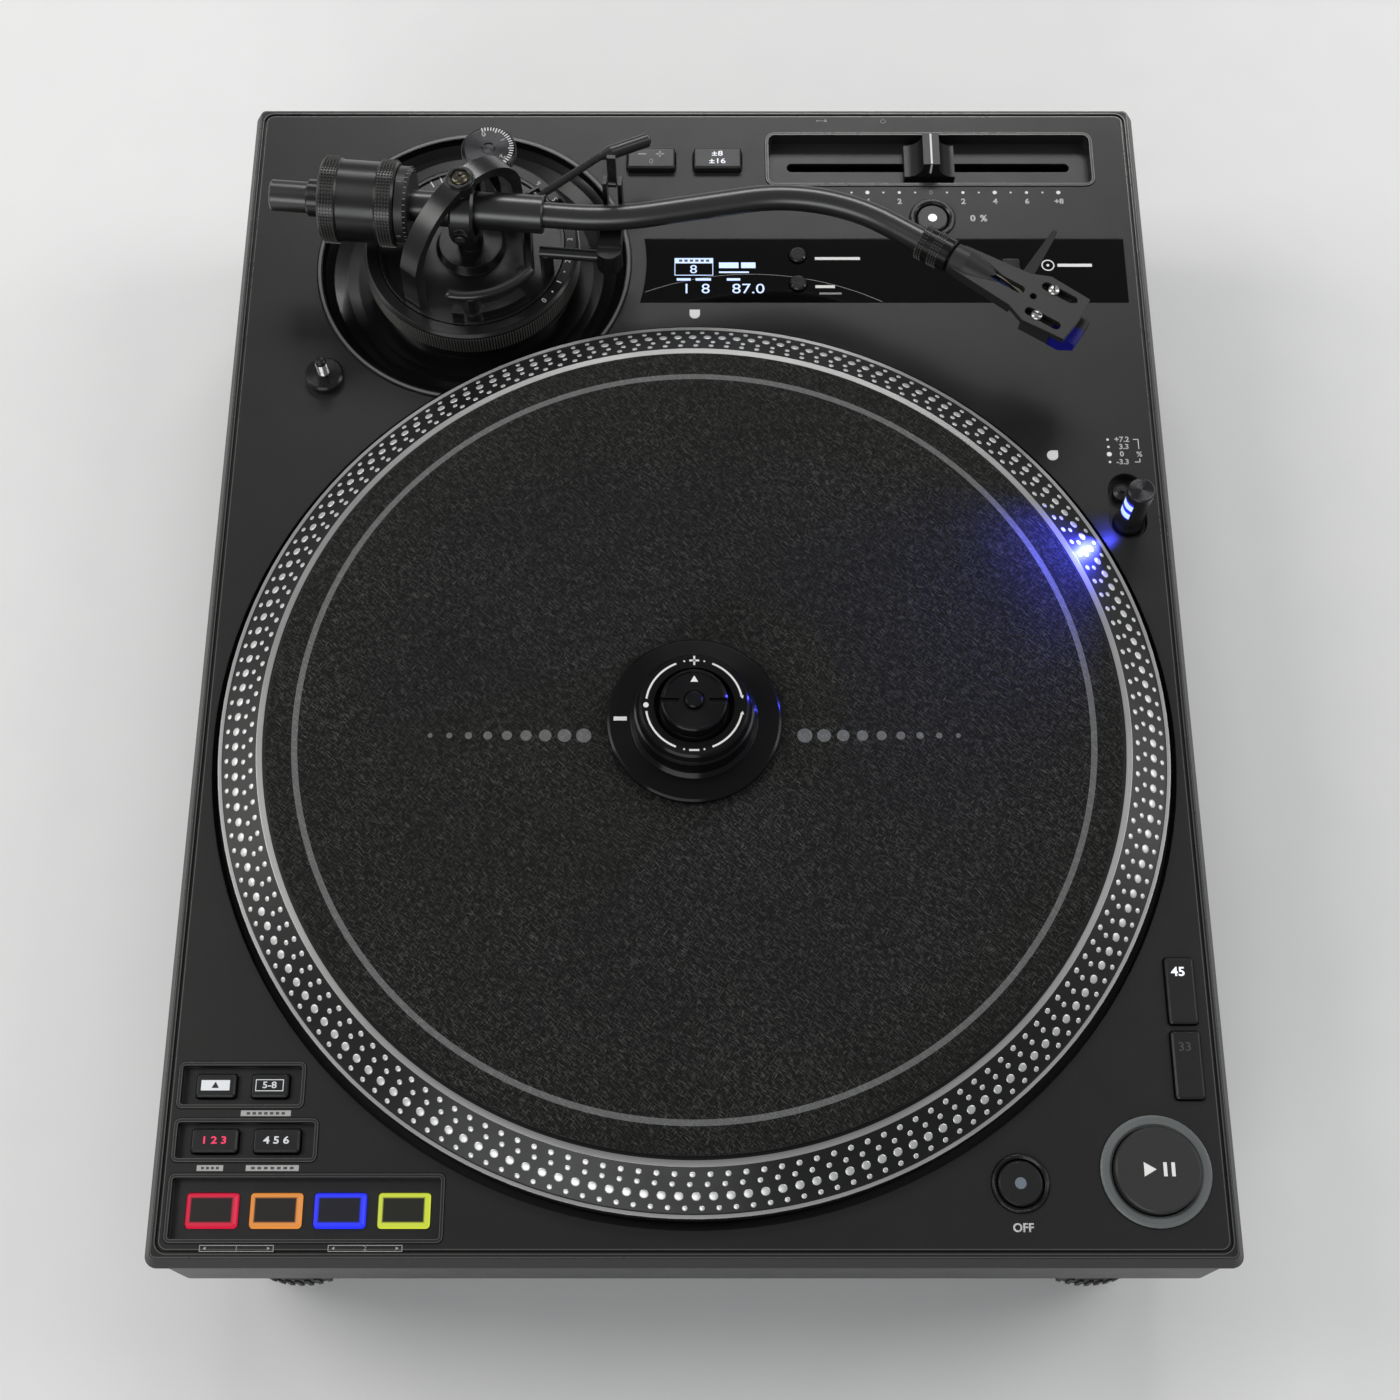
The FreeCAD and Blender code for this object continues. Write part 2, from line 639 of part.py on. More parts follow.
def on_head(along, left, z):
    """Point on the head shell: along it from its gasket, to its left, at a height."""
    place = HEAD_START + HEAD_AHEAD * along + HEAD_LEFT * left
    return Vector(place.x, place.y, z)


# Where each key stands: centre, size, height of the cap and of the surround it comes up through
PAD_XS = [PAD_FIRST_X + PAD_PITCH * i for i in range(PAD_COUNT)]
TRAY_KEY_Z = PLATE_Z - TRAY_SINK
UPPER_TRAY_Y = (UPPER_TRAY_FRONT_Y + UPPER_TRAY_BACK_Y) / 2
MIDDLE_TRAY_Y = (MIDDLE_TRAY_FRONT_Y + MIDDLE_TRAY_BACK_Y) / 2

ROUND_KEYS = {
    "start_stop_button": (START_X, START_Y, START_RADIUS, START_RISE),
    "motor_off_button": (MOTOR_OFF_X, MOTOR_OFF_Y, MOTOR_OFF_RADIUS, MOTOR_OFF_RISE),
    "pitch_reset_button": (RESET_X, RESET_Y, RESET_RADIUS, RESET_RISE),
    "menu_button_upper": (MENU_KEY_X, MENU_KEY_UPPER_Y, MENU_KEY_RADIUS, MENU_KEY_RISE),
    "menu_button_lower": (MENU_KEY_X, MENU_KEY_LOWER_Y, MENU_KEY_RADIUS, MENU_KEY_RISE),
}
PLATE_KEYS = {
    "speed_45_button": (SPEED_KEY_X, SPEED_45_Y, SPEED_KEY_WIDTH, SPEED_KEY_LENGTH, SPEED_KEY_RISE),
    "speed_33_button": (SPEED_KEY_X, SPEED_33_Y, SPEED_KEY_WIDTH, SPEED_KEY_LENGTH, SPEED_KEY_RISE),
    "step_pitch_button": (STEP_KEY_X, TEMPO_KEY_Y, TEMPO_KEY_WIDTH, TEMPO_KEY_LENGTH, TEMPO_KEY_RISE),
    "tempo_range_button": (RANGE_KEY_X, TEMPO_KEY_Y, TEMPO_KEY_WIDTH, TEMPO_KEY_LENGTH, TEMPO_KEY_RISE),
    "input_button": (INPUT_KEY_X, INPUT_KEY_Y, INPUT_KEY_WIDTH, INPUT_KEY_LENGTH, INPUT_KEY_RISE),
}
TRAY_KEYS = {
    "shift_button": (SHIFT_KEY_X, UPPER_TRAY_Y, SHIFT_KEY_WIDTH, SMALL_KEY_LENGTH, SMALL_KEY_RISE),
    "pad_bank_button": (BANK_KEY_X, UPPER_TRAY_Y, BANK_KEY_WIDTH, SMALL_KEY_LENGTH, SMALL_KEY_RISE),
    "pad_mode_button_left": (MODE_LEFT_KEY_X, MIDDLE_TRAY_Y, MODE_KEY_WIDTH, SMALL_KEY_LENGTH,
                             SMALL_KEY_RISE),
    "pad_mode_button_right": (MODE_RIGHT_KEY_X, MIDDLE_TRAY_Y, MODE_KEY_WIDTH, SMALL_KEY_LENGTH,
                              SMALL_KEY_RISE),
}
for number, pad_x in enumerate(PAD_XS, 1):
    TRAY_KEYS["pad_%d" % number] = (pad_x, PAD_Y, PAD_WIDTH, PAD_LENGTH, PAD_RISE)

TRAYS = [
    (UPPER_TRAY_RIGHT_X, UPPER_TRAY_FRONT_Y, UPPER_TRAY_BACK_Y),
    (MIDDLE_TRAY_RIGHT_X, MIDDLE_TRAY_FRONT_Y, MIDDLE_TRAY_BACK_Y),
    (LOWER_TRAY_RIGHT_X, LOWER_TRAY_FRONT_Y, LOWER_TRAY_BACK_Y),
]
RINGS = [
    (START_X, START_Y, START_RING_INNER, START_RING_OUTER),
    (MOTOR_OFF_X, MOTOR_OFF_Y, MOTOR_OFF_RING_INNER, MOTOR_OFF_RING_OUTER),
    (RESET_X, RESET_Y, RESET_RING_INNER, RESET_RING_OUTER),
]


def key_hole(x, y, width, length, z0, z1):
    return slab(x, y, width + 2 * KEY_GAP, length + 2 * KEY_GAP, KEY_CORNER + KEY_GAP, z0, z1)


def tray_block(right_x, front_y, back_y, grow, z0, z1):
    width = right_x - TRAY_LEFT_X + 2 * grow
    length = back_y - front_y + 2 * grow
    return slab((right_x + TRAY_LEFT_X) / 2, (front_y + back_y) / 2, width, length, TRAY_CORNER + grow,
                z0, z1)


def window_face(grow, z0, z1):
    """Display window: a strip whose left end follows the rim of the arm well."""
    arc = WINDOW_ARC_RADIUS - grow
    block = box(PIVOT_X, WINDOW_RIGHT_X + grow, WINDOW_FRONT_Y - grow, WINDOW_BACK_Y + grow, z0, z1)
    return block.cut(disc(PIVOT_X, PIVOT_Y, arc, z0 - 1, z1 + 1))


def strobe_recess(grow, z0, z1):
    front = Vector(STROBE_RECESS_X, STROBE_RECESS_FRONT_Y, 0)
    back = Vector(STROBE_RECESS_X, STROBE_RECESS_BACK_Y, 0)
    return slot_block(front, back, STROBE_RECESS_RADIUS + grow, z0, z1)


def top_case():
    """Die-cast case: top plate with its sloped edge, side walls and all recesses."""
    wide_z = PLATE_Z - BEVEL_DROP
    under_z = PLATE_Z - PLATE_THICK
    side_w = DECK_WIDTH - 2 * SIDE_INSET
    side_d = DECK_DEPTH - 2 * SIDE_INSET
    sides = slab(0, 0, side_w, side_d, DECK_CORNER, CASE_BOTTOM_Z, wide_z - EDGE_LIP)
    lip = slab(0, 0, DECK_WIDTH, DECK_DEPTH, DECK_CORNER, wide_z - EDGE_LIP, wide_z)
    top_w = DECK_WIDTH - 2 * BEVEL_INSET
    top_d = DECK_DEPTH - 2 * BEVEL_INSET
    wide = round_wire(0, 0, DECK_WIDTH, DECK_DEPTH, DECK_CORNER, wide_z)
    narrow = round_wire(0, 0, top_w, top_d, DECK_CORNER / 2, PLATE_Z)
    case = joined(sides, lip, Part.makeLoft([wide, narrow], True, True))
    inner_w = side_w - 2 * CASE_WALL
    inner_d = side_d - 2 * CASE_WALL
    case = case.cut(slab(0, 0, inner_w, inner_d, DECK_CORNER, CASE_BOTTOM_Z - 1, under_z))

    # Pans that hang below the plate round the deeper recesses
    recess_pan = disc(SPINDLE_X, SPINDLE_Y, RECESS_RADIUS + RECESS_WALL, RECESS_FLOOR_Z - RECESS_WALL,
                      under_z + 1)
    limits = slab(0, 0, inner_w + 2, inner_d + 2, DECK_CORNER, CASE_BOTTOM_Z, PLATE_Z)
    lamp_pan = strobe_recess(2, PLATE_Z - STROBE_RECESS_DEPTH - 2, under_z + 1)
    pocket_pan = box(POCKET_LEFT_X - POCKET_WALL, POCKET_RIGHT_X + POCKET_WALL,
                     DECK_DEPTH / 2 - SIDE_INSET - POCKET_DEPTH - POCKET_WALL,
                     DECK_DEPTH / 2 - SIDE_INSET - 1,
                     POCKET_BOTTOM_Z - POCKET_WALL, POCKET_TOP_Z + POCKET_WALL)
    case = joined(case, recess_pan.common(limits), lamp_pan, pocket_pan)

    cuts = [disc(SPINDLE_X, SPINDLE_Y, RECESS_RADIUS, RECESS_FLOOR_Z, PLATE_Z + 1)]
    cuts.append(disc(SPINDLE_X, SPINDLE_Y, BEARING_RADIUS + SEAT_GAP, CASE_BOTTOM_Z, PLATE_Z))
    cuts.append(disc(PIVOT_X, PIVOT_Y, WELL_RADIUS + SEAT_GAP, WELL_BOTTOM_Z, PLATE_Z + 1))
    groove_w = top_w - 2 * RIM_WIDTH
    groove_d = top_d - 2 * RIM_WIDTH
    groove = slab(0, 0, groove_w, groove_d, DECK_CORNER, PLATE_Z - GROOVE_DEPTH, PLATE_Z + 1)
    field = slab(0, 0, groove_w - 2 * GROOVE_WIDTH, groove_d - 2 * GROOVE_WIDTH, DECK_CORNER - GROOVE_WIDTH,
                 PLATE_Z - GROOVE_DEPTH - 1, PLATE_Z + 2)
    cuts.append(groove.cut(field))
    cuts.append(slab(FADER_X, FADER_Y, FADER_WIDTH + 2 * SEAT_GAP, FADER_DEPTH + 2 * SEAT_GAP,
                     FADER_CORNER + SEAT_GAP, under_z - 1, PLATE_Z + 1))
    cuts.append(window_face(SEAT_GAP, PLATE_Z - WINDOW_THICK, PLATE_Z + 1))
    for right_x, front_y, back_y in TRAYS:
        cuts.append(tray_block(right_x, front_y, back_y, SEAT_GAP, under_z - 1, PLATE_Z + 1))
    for x, y, width, length, rise in PLATE_KEYS.values():
        cuts.append(key_hole(x, y, width, length, under_z - 1, PLATE_Z + 1))
    for x, y, radius, rise in ROUND_KEYS.values():
        cuts.append(disc(x, y, radius + KEY_GAP, under_z - 1, PLATE_Z + 1))
    for x, y, inner, outer in RINGS:
        cuts.append(disc(x, y, outer + SEAT_GAP, PLATE_Z - RING_DEPTH, PLATE_Z + 1))
    cuts.append(strobe_recess(0, PLATE_Z - STROBE_RECESS_DEPTH, PLATE_Z + 1))
    cuts.append(box(POCKET_LEFT_X, POCKET_RIGHT_X, DECK_DEPTH / 2 - SIDE_INSET - POCKET_DEPTH,
                    DECK_DEPTH / 2, POCKET_BOTTOM_Z, POCKET_TOP_Z))
    cuts.append(panel_openings(PANEL_THICK + POCKET_WALL + 2))
    return case.cut(cuts).removeSplitter()


def base_pan():
    """Heavy moulded pan that closes the case from below."""
    outer_w = DECK_WIDTH - 2 * PAN_INSET
    outer_d = DECK_DEPTH - 2 * PAN_INSET
    lip_w = DECK_WIDTH - 2 * (SIDE_INSET + CASE_WALL + MOVING_GAP)
    lip_d = DECK_DEPTH - 2 * (SIDE_INSET + CASE_WALL + MOVING_GAP)
    low = bevel_slab(0, 0, outer_w, outer_d, DECK_CORNER * 2, PAN_BOTTOM_Z, CASE_BOTTOM_Z, 1.0)
    lip = slab(0, 0, lip_w, lip_d, DECK_CORNER, CASE_BOTTOM_Z - 2, CASE_BOTTOM_Z + PAN_LIP)
    pocket_back = box(POCKET_LEFT_X - POCKET_WALL - 1, POCKET_RIGHT_X + POCKET_WALL + 1,
                      DECK_DEPTH / 2 - SIDE_INSET - POCKET_DEPTH - POCKET_WALL - 1, DECK_DEPTH / 2,
                      CASE_BOTTOM_Z, PLATE_Z)
    inside = slab(0, 0, outer_w - 2 * PAN_WALL, outer_d - 2 * PAN_WALL, DECK_CORNER,
                  PAN_BOTTOM_Z + PAN_FLOOR, PLATE_Z)
    pan = joined(low, lip.cut(pocket_back)).cut(inside)
    for x, y in foot_places():
        seat = disc(x, y, FOOT_STUD_RADIUS * 2, PAN_BOTTOM_Z + 1, PAN_BOTTOM_Z + PAN_FLOOR + 2)
        pan = pan.fuse(seat)
        pan = pan.cut(disc(x, y, FOOT_STUD_RADIUS + SEAT_GAP, PAN_BOTTOM_Z - 1,
                           PAN_BOTTOM_Z + FOOT_STUD_LENGTH))
    return pan.removeSplitter()


def foot_places():
    x = DECK_WIDTH / 2 - FOOT_INSET
    y = DECK_DEPTH / 2 - FOOT_INSET
    return [(-x, -y), (x, -y), (-x, y), (x, y)]


def feet():
    """Four damped feet, each a rubber sole in a ribbed housing with a stud."""
    top = PAN_BOTTOM_Z
    profile = [
        (0, 0), (FOOT_RUBBER_RADIUS - 1, 0), (FOOT_RUBBER_RADIUS, 1),
        (FOOT_RUBBER_RADIUS, FOOT_RUBBER_HEIGHT),
        (FOOT_RADIUS - 1, FOOT_RUBBER_HEIGHT + 1), (FOOT_RADIUS, FOOT_RUBBER_HEIGHT + 2),
        (FOOT_RADIUS, top - 8),
        (FOOT_RADIUS - 2, top - 6), (FOOT_STUD_RADIUS * 2, top - 3), (FOOT_STUD_RADIUS * 2, top),
        (FOOT_STUD_RADIUS, top), (FOOT_STUD_RADIUS, top + FOOT_STUD_LENGTH - SEAT_GAP),
        (0, top + FOOT_STUD_LENGTH - SEAT_GAP),
    ]
    return Part.makeCompound([turned(x, y, profile) for x, y in foot_places()])


def arm_well():
    """Dished well under the arm, with the fixed pedestal that the height ring turns on."""
    rim_z = PLATE_Z + WELL_RIM_RISE
    profile = [
        (STEM_RADIUS + SHAFT_GAP, WELL_BOTTOM_Z), (PEDESTAL_RADIUS, WELL_BOTTOM_Z),
        (PEDESTAL_RADIUS, WELL_FLOOR_Z - WELL_SHELL), (WELL_FLOOR_RADIUS, WELL_FLOOR_Z - WELL_SHELL),
        (WELL_RADIUS, WELL_FLOOR_Z + 1), (WELL_RADIUS, rim_z), (WELL_RADIUS - WELL_RIM_WIDTH, rim_z),
        (WELL_RADIUS - WELL_RIM_WIDTH - 1, PLATE_Z - 2), (WELL_RADIUS - 6, PLATE_Z - 4.4),
        (WELL_FLOOR_RADIUS + 4, WELL_FLOOR_Z + 0.6), (WELL_FLOOR_RADIUS, WELL_FLOOR_Z),
        (PEDESTAL_RADIUS, WELL_FLOOR_Z), (PEDESTAL_RADIUS, PEDESTAL_Z),
        (STEM_RADIUS + SHAFT_GAP, PEDESTAL_Z),
    ]
    well = turned(PIVOT_X, PIVOT_Y, profile)
    floor = disc(PIVOT_X, PIVOT_Y, STEM_RADIUS + 1, WELL_BOTTOM_Z, WELL_BOTTOM_Z + WELL_BASE_THICK)
    well = well.fuse(floor)
    return well.cut(disc(SPINDLE_X, SPINDLE_Y, RECESS_RADIUS, RECESS_FLOOR_Z, PLATE_Z + 5)).removeSplitter()


def height_ring():
    """Ring that raises the arm base; its top carries the height scale."""
    low = PEDESTAL_Z + MOVING_GAP
    profile = [
        (HEIGHT_RING_BORE, low), (HEIGHT_RING_RADIUS - 0.6, low), (HEIGHT_RING_RADIUS, low + 0.6),
        (HEIGHT_RING_RADIUS, HEIGHT_RING_TOP_Z - 1.0), (HEIGHT_RING_RADIUS - 1.0, HEIGHT_RING_TOP_Z),
        (HEIGHT_RING_BORE, HEIGHT_RING_TOP_Z),
    ]
    return turned(PIVOT_X, PIVOT_Y, profile)


def arm_base():
    """Plate that rises out of the pedestal and carries everything of the arm."""
    low = PEDESTAL_Z + MOVING_GAP
    stem_low = WELL_BOTTOM_Z + WELL_BASE_THICK + MOVING_GAP
    profile = [
        (0, stem_low), (STEM_RADIUS, stem_low), (STEM_RADIUS, low),
        (BASE_RADIUS, low), (BASE_RADIUS, BASE_TOP_Z + BASE_EDGE_RISE),
        (BASE_RADIUS - BASE_EDGE_WIDTH, BASE_TOP_Z + BASE_EDGE_RISE),
        (BASE_RADIUS - BASE_EDGE_WIDTH, BASE_TOP_Z), (BASE_BOSS_RADIUS + 1.5, BASE_TOP_Z),
        (BASE_BOSS_RADIUS, BASE_TOP_Z + BASE_BOSS_HEIGHT),
        (PILLAR_RADIUS, BASE_TOP_Z + BASE_BOSS_HEIGHT), (PILLAR_RADIUS, pillar_top()),
        (BEARING_PIN_RADIUS + SHAFT_GAP, pillar_top()),
        (BEARING_PIN_RADIUS + SHAFT_GAP, pillar_top() - BEARING_PIN_DEPTH - MOVING_GAP),
        (0, pillar_top() - BEARING_PIN_DEPTH - MOVING_GAP),
    ]
    base = turned(PIVOT_X, PIVOT_Y, profile)

    # Guide of the lifter, with a low wall that follows its arc
    post = PIVOT + direction(LIFTER_POST_ANGLE) * LIFTER_ARC_RADIUS
    boss = disc(post.x, post.y, LIFTER_BOSS_RADIUS, BASE_TOP_Z - 1, BASE_TOP_Z + LIFTER_BOSS_HEIGHT)
    wall = ring(PIVOT_X, PIVOT_Y, LIFTER_ARC_RADIUS + LIFTER_TUBE_RADIUS,
                LIFTER_ARC_RADIUS - LIFTER_TUBE_RADIUS,
                BASE_TOP_Z - 1, BASE_TOP_Z + LIFTER_BOSS_HEIGHT - 1)
    wall = wall.common(sector(LIFTER_START_ANGLE, LIFTER_END_ANGLE - 8, BASE_TOP_Z - LIFTER_BOSS_HEIGHT,
                              BASE_TOP_Z + 2 * LIFTER_BOSS_HEIGHT))

    # Bracket of the cue lever: two cheeks with an axle hole
    cheek = CUE_BRACKET_HALF
    bracket = cue_block(CUE_AXLE_LENGTH / 2, -cheek, cheek, BASE_TOP_Z - 1, CUE_Z + cheek)
    gap = cue_block(CUE_AXLE_LENGTH / 2 - CUE_BRACKET_WALL, -cheek - 1, cheek + 1, BASE_TOP_Z + 0.6,
                    CUE_Z + cheek + 1)
    base = joined(base, boss, wall, bracket).cut(gap)
    axle = rod(cue_point(0, CUE_AXLE_LENGTH), cue_point(0, -CUE_AXLE_LENGTH), CUE_AXLE_RADIUS + SHAFT_GAP)
    bore = disc(post.x, post.y, LIFTER_POST_RADIUS + SHAFT_GAP, lifter_post_bottom() - 1,
                BASE_TOP_Z + 2 * LIFTER_BOSS_HEIGHT)
    return base.cut([axle, bore]).removeSplitter()


def pillar_top():
    return ARM_Z - HOOP_OUTER_RADIUS - HOOP_STUB_HEIGHT - MOVING_GAP


def sector(start_angle, end_angle, z0, z1):
    """Wedge about the arm pivot, to cut rings to an arc."""
    reach = WELL_RADIUS * 2
    middle = (start_angle + end_angle) / 2
    points = [PIVOT + direction(angle) * reach for angle in (start_angle, middle, end_angle)]
    lifted = [Vector(p.x, p.y, z0) for p in [PIVOT] + points]
    return prism(lifted, Vector(0, 0, z1 - z0))


CUE_ANGLE = math.degrees(math.atan2(CUE_BEND[1] - CUE_PLACE[1], CUE_BEND[0] - CUE_PLACE[0]))
CUE_AHEAD = direction(CUE_ANGLE)
CUE_SIDE = direction(CUE_ANGLE + 90)
CUE_Z = CUE_PLACE[2]


def cue_point(along, side):
    return PIVOT + Vector(*CUE_PLACE) + CUE_AHEAD * along + CUE_SIDE * side


def cue_block(half_width, back, front, z0, z1):
    corners = []
    for along, side in ((back, -half_width), (front, -half_width), (front, half_width), (back, half_width)):
        place = cue_point(along, side)
        corners.append(Vector(place.x, place.y, z0))
    return prism(corners, Vector(0, 0, z1 - z0))


def cue_lever():
    """Bent lever that raises the lifter."""
    hub = rod(cue_point(0, CUE_AXLE_LENGTH / 2 - CUE_BRACKET_WALL - MOVING_GAP),
              cue_point(0, -CUE_AXLE_LENGTH / 2 + CUE_BRACKET_WALL + MOVING_GAP), CUE_AXLE_RADIUS * 1.4)
    axle = rod(cue_point(0, CUE_AXLE_LENGTH / 2), cue_point(0, -CUE_AXLE_LENGTH / 2), CUE_AXLE_RADIUS)
    bend = PIVOT + Vector(*CUE_BEND)
    tip = PIVOT + Vector(*CUE_TIP)
    stalk = rod(cue_point(-CUE_ROD_RADIUS / 2, 0), bend, CUE_ROD_RADIUS)
    run = tip - bend
    paddle = turned_along(bend, run, [
        (0, 0), (CUE_ROD_RADIUS, 0), (CUE_PADDLE_RADIUS, run.Length * 0.2),
        (CUE_PADDLE_RADIUS, run.Length * 0.95),
        (CUE_PADDLE_RADIUS * 0.6, run.Length), (0, run.Length)])
    return joined(hub, axle, stalk, Part.makeSphere(CUE_ROD_RADIUS * 1.05, bend), paddle)


def lifter_top():
    """Underside of the arm hub, less the stroke and a running gap."""
    return ARM_Z - HUB_TUBE_RADIUS - MOVING_GAP - LIFTER_STROKE


def lifter_post_bottom():
    return lifter_top() - 2 * LIFTER_TUBE_RADIUS - LIFTER_POST_LENGTH


def lifter_bar():
    """Curved bar on one post that reaches under the arm over its whole swing."""
    z = lifter_top() - LIFTER_TUBE_RADIUS
    centre = PIVOT + UP * z
    start = centre + direction(LIFTER_START_ANGLE) * LIFTER_ARC_RADIUS
    middle = centre + direction((LIFTER_START_ANGLE + LIFTER_END_ANGLE) / 2) * LIFTER_ARC_RADIUS
    end = centre + direction(LIFTER_END_ANGLE) * LIFTER_ARC_RADIUS
    path = Part.Wire([Part.Arc(start, middle, end).toShape()])
    heading = direction(LIFTER_START_ANGLE + 90)
    section = Part.Wire([Part.Circle(start, heading, LIFTER_TUBE_RADIUS).toShape()])
    bar = path.makePipeShell([section], True, False)
    tip = PIVOT + Vector(LIFTER_TIP_X, LIFTER_TIP_Y, z)
    arm = rod(end, tip, LIFTER_TUBE_RADIUS)
    post = PIVOT + direction(LIFTER_POST_ANGLE) * LIFTER_ARC_RADIUS
    leg = disc(post.x, post.y, LIFTER_POST_RADIUS, lifter_post_bottom(), z)
    return joined(bar, Part.makeSphere(LIFTER_TUBE_RADIUS, start), Part.makeSphere(LIFTER_TUBE_RADIUS, end),
                  Part.makeSphere(LIFTER_TUBE_RADIUS, tip), arm, leg)


def arch_half(angle, reach, shoulder_z):
    """One leg of the arch with its half of the crown, in the upright plane at an angle."""
    out = direction(angle)
    side = direction(angle + 90)

    def at(s, z):
        return PIVOT + out * s + UP * z - side * (ARCH_WIDTH / 2)

    inner = reach - ARCH_THICK
    crown_z = ARCH_TOP_Z - ARCH_CROWN_THICK
    outer_mid = at(reach * 0.66, shoulder_z + (ARCH_TOP_Z - shoulder_z) * 0.72)
    inner_mid = at(inner * 0.66, shoulder_z + (crown_z - shoulder_z) * 0.72)
    edges = [
        Part.LineSegment(at(0, crown_z), at(0, ARCH_TOP_Z)).toShape(),
        Part.Arc(at(0, ARCH_TOP_Z), outer_mid, at(reach - 1, shoulder_z)).toShape(),
        Part.LineSegment(at(reach - 1, shoulder_z), at(reach, BASE_TOP_Z)).toShape(),
        Part.LineSegment(at(reach, BASE_TOP_Z), at(inner, BASE_TOP_Z)).toShape(),
        Part.LineSegment(at(inner, BASE_TOP_Z), at(inner - 1, shoulder_z)).toShape(),
        Part.Arc(at(inner - 1, shoulder_z), inner_mid, at(0, crown_z)).toShape(),
    ]
    return Part.Face(Part.Wire(edges)).extrude(side * ARCH_WIDTH)


ANTISKATE = PIVOT + direction(ANTISKATE_ANGLE) * ANTISKATE_OUT


def arm_arch():
    """Fixed arch over the bearing hoop, with the housing of the anti-skating dial."""
    front = arch_half(ARCH_FRONT_ANGLE, ARCH_FRONT_REACH, ARCH_FRONT_SHOULDER_Z)
    back = arch_half(ARCH_BACK_ANGLE, ARCH_BACK_REACH, ARCH_BACK_SHOULDER_Z)
    boss_low = ARM_Z + HOOP_OUTER_RADIUS + HOOP_STUB_HEIGHT + MOVING_GAP
    boss = disc(PIVOT_X, PIVOT_Y, ARCH_BOSS_RADIUS, boss_low, ARCH_TOP_Z + ARCH_BOSS_RISE)
    column = disc(ANTISKATE.x, ANTISKATE.y, ANTISKATE_COLUMN_RADIUS, BASE_TOP_Z,
                  ANTISKATE_DIAL_Z - MOVING_GAP)
    dial_pin = disc(ANTISKATE.x, ANTISKATE.y, BEARING_PIN_RADIUS, ANTISKATE_DIAL_Z - 1,
                    ANTISKATE_DIAL_Z + DIAL_PIN_HEIGHT)
    leg = PIVOT + direction(ARCH_BACK_ANGLE) * (ARCH_BACK_REACH - ARCH_THICK)
    housing = slot_block(leg, ANTISKATE, ANTISKATE_COLUMN_RADIUS - 1, BASE_TOP_Z,
                         BASE_TOP_Z + ANTISKATE_HOUSING_HEIGHT)
    socket = disc(PIVOT_X, PIVOT_Y, BEARING_PIN_RADIUS + SHAFT_GAP, boss_low - 1,
                  boss_low + BEARING_PIN_DEPTH + MOVING_GAP)
    return front.fuse([back, boss, column, dial_pin, housing]).cut(socket)


def antiskate_dial():
    """Turned dial on the housing's pin."""
    top = ANTISKATE_DIAL_Z + ANTISKATE_DIAL_THICK
    bore_top = ANTISKATE_DIAL_Z + DIAL_PIN_HEIGHT + MOVING_GAP
    bore = BEARING_PIN_RADIUS + SHAFT_GAP
    return turned(ANTISKATE.x, ANTISKATE.y, [
        (bore, ANTISKATE_DIAL_Z), (ANTISKATE_DIAL_RADIUS, ANTISKATE_DIAL_Z),
        (ANTISKATE_DIAL_RADIUS, top - 1.2), (ANTISKATE_DIAL_RADIUS - 1.2, top), (2.6, top),
        (2.2, top - 0.4), (0, top - 0.4), (0, bore_top), (bore, bore_top)])


def gimbal_hoop():
    """Hoop that swings between two upright pins and holds the level bearing pins."""
    back = -HOOP_WIDTH / 2
    front = HOOP_WIDTH / 2
    hoop = turned_along(ARM_CENTRE, ARM_AHEAD, [
        (HOOP_INNER_RADIUS, back), (HOOP_OUTER_RADIUS - 1, back), (HOOP_OUTER_RADIUS, back + 1),
        (HOOP_OUTER_RADIUS, front - 1), (HOOP_OUTER_RADIUS - 1, front), (HOOP_INNER_RADIUS, front)])
    half = HOOP_OUTER_RADIUS + HOOP_STUB_HEIGHT
    middle = (HOOP_INNER_RADIUS + HOOP_OUTER_RADIUS) / 2
    top = disc(PIVOT_X, PIVOT_Y, HOOP_STUB_RADIUS, ARM_Z + middle, ARM_Z + half)
    low = disc(PIVOT_X, PIVOT_Y, HOOP_STUB_RADIUS, ARM_Z - half, ARM_Z - middle)
    reach = half + BEARING_PIN_DEPTH
    top_pin = disc(PIVOT_X, PIVOT_Y, BEARING_PIN_RADIUS, ARM_Z + half - 1, ARM_Z + reach)
    low_pin = disc(PIVOT_X, PIVOT_Y, BEARING_PIN_RADIUS, ARM_Z - reach, ARM_Z - half + 1)
    parts = [top, low, top_pin, low_pin]
    for side in (-1, 1):
        inner = on_arm(0, side * (HUB_TUBE_RADIUS - BEARING_PIN_DEPTH), ARM_Z)
        outer = on_arm(0, side * (HOOP_OUTER_RADIUS - 1), ARM_Z)
        cap = on_arm(0, side * (HOOP_OUTER_RADIUS + HOOP_CAP_RISE), ARM_Z)
        parts.append(rod(inner, outer, BEARING_PIN_RADIUS))
        parts.append(rod(outer, cap, HOOP_CAP_RADIUS))
    return joined(hoop, *parts)


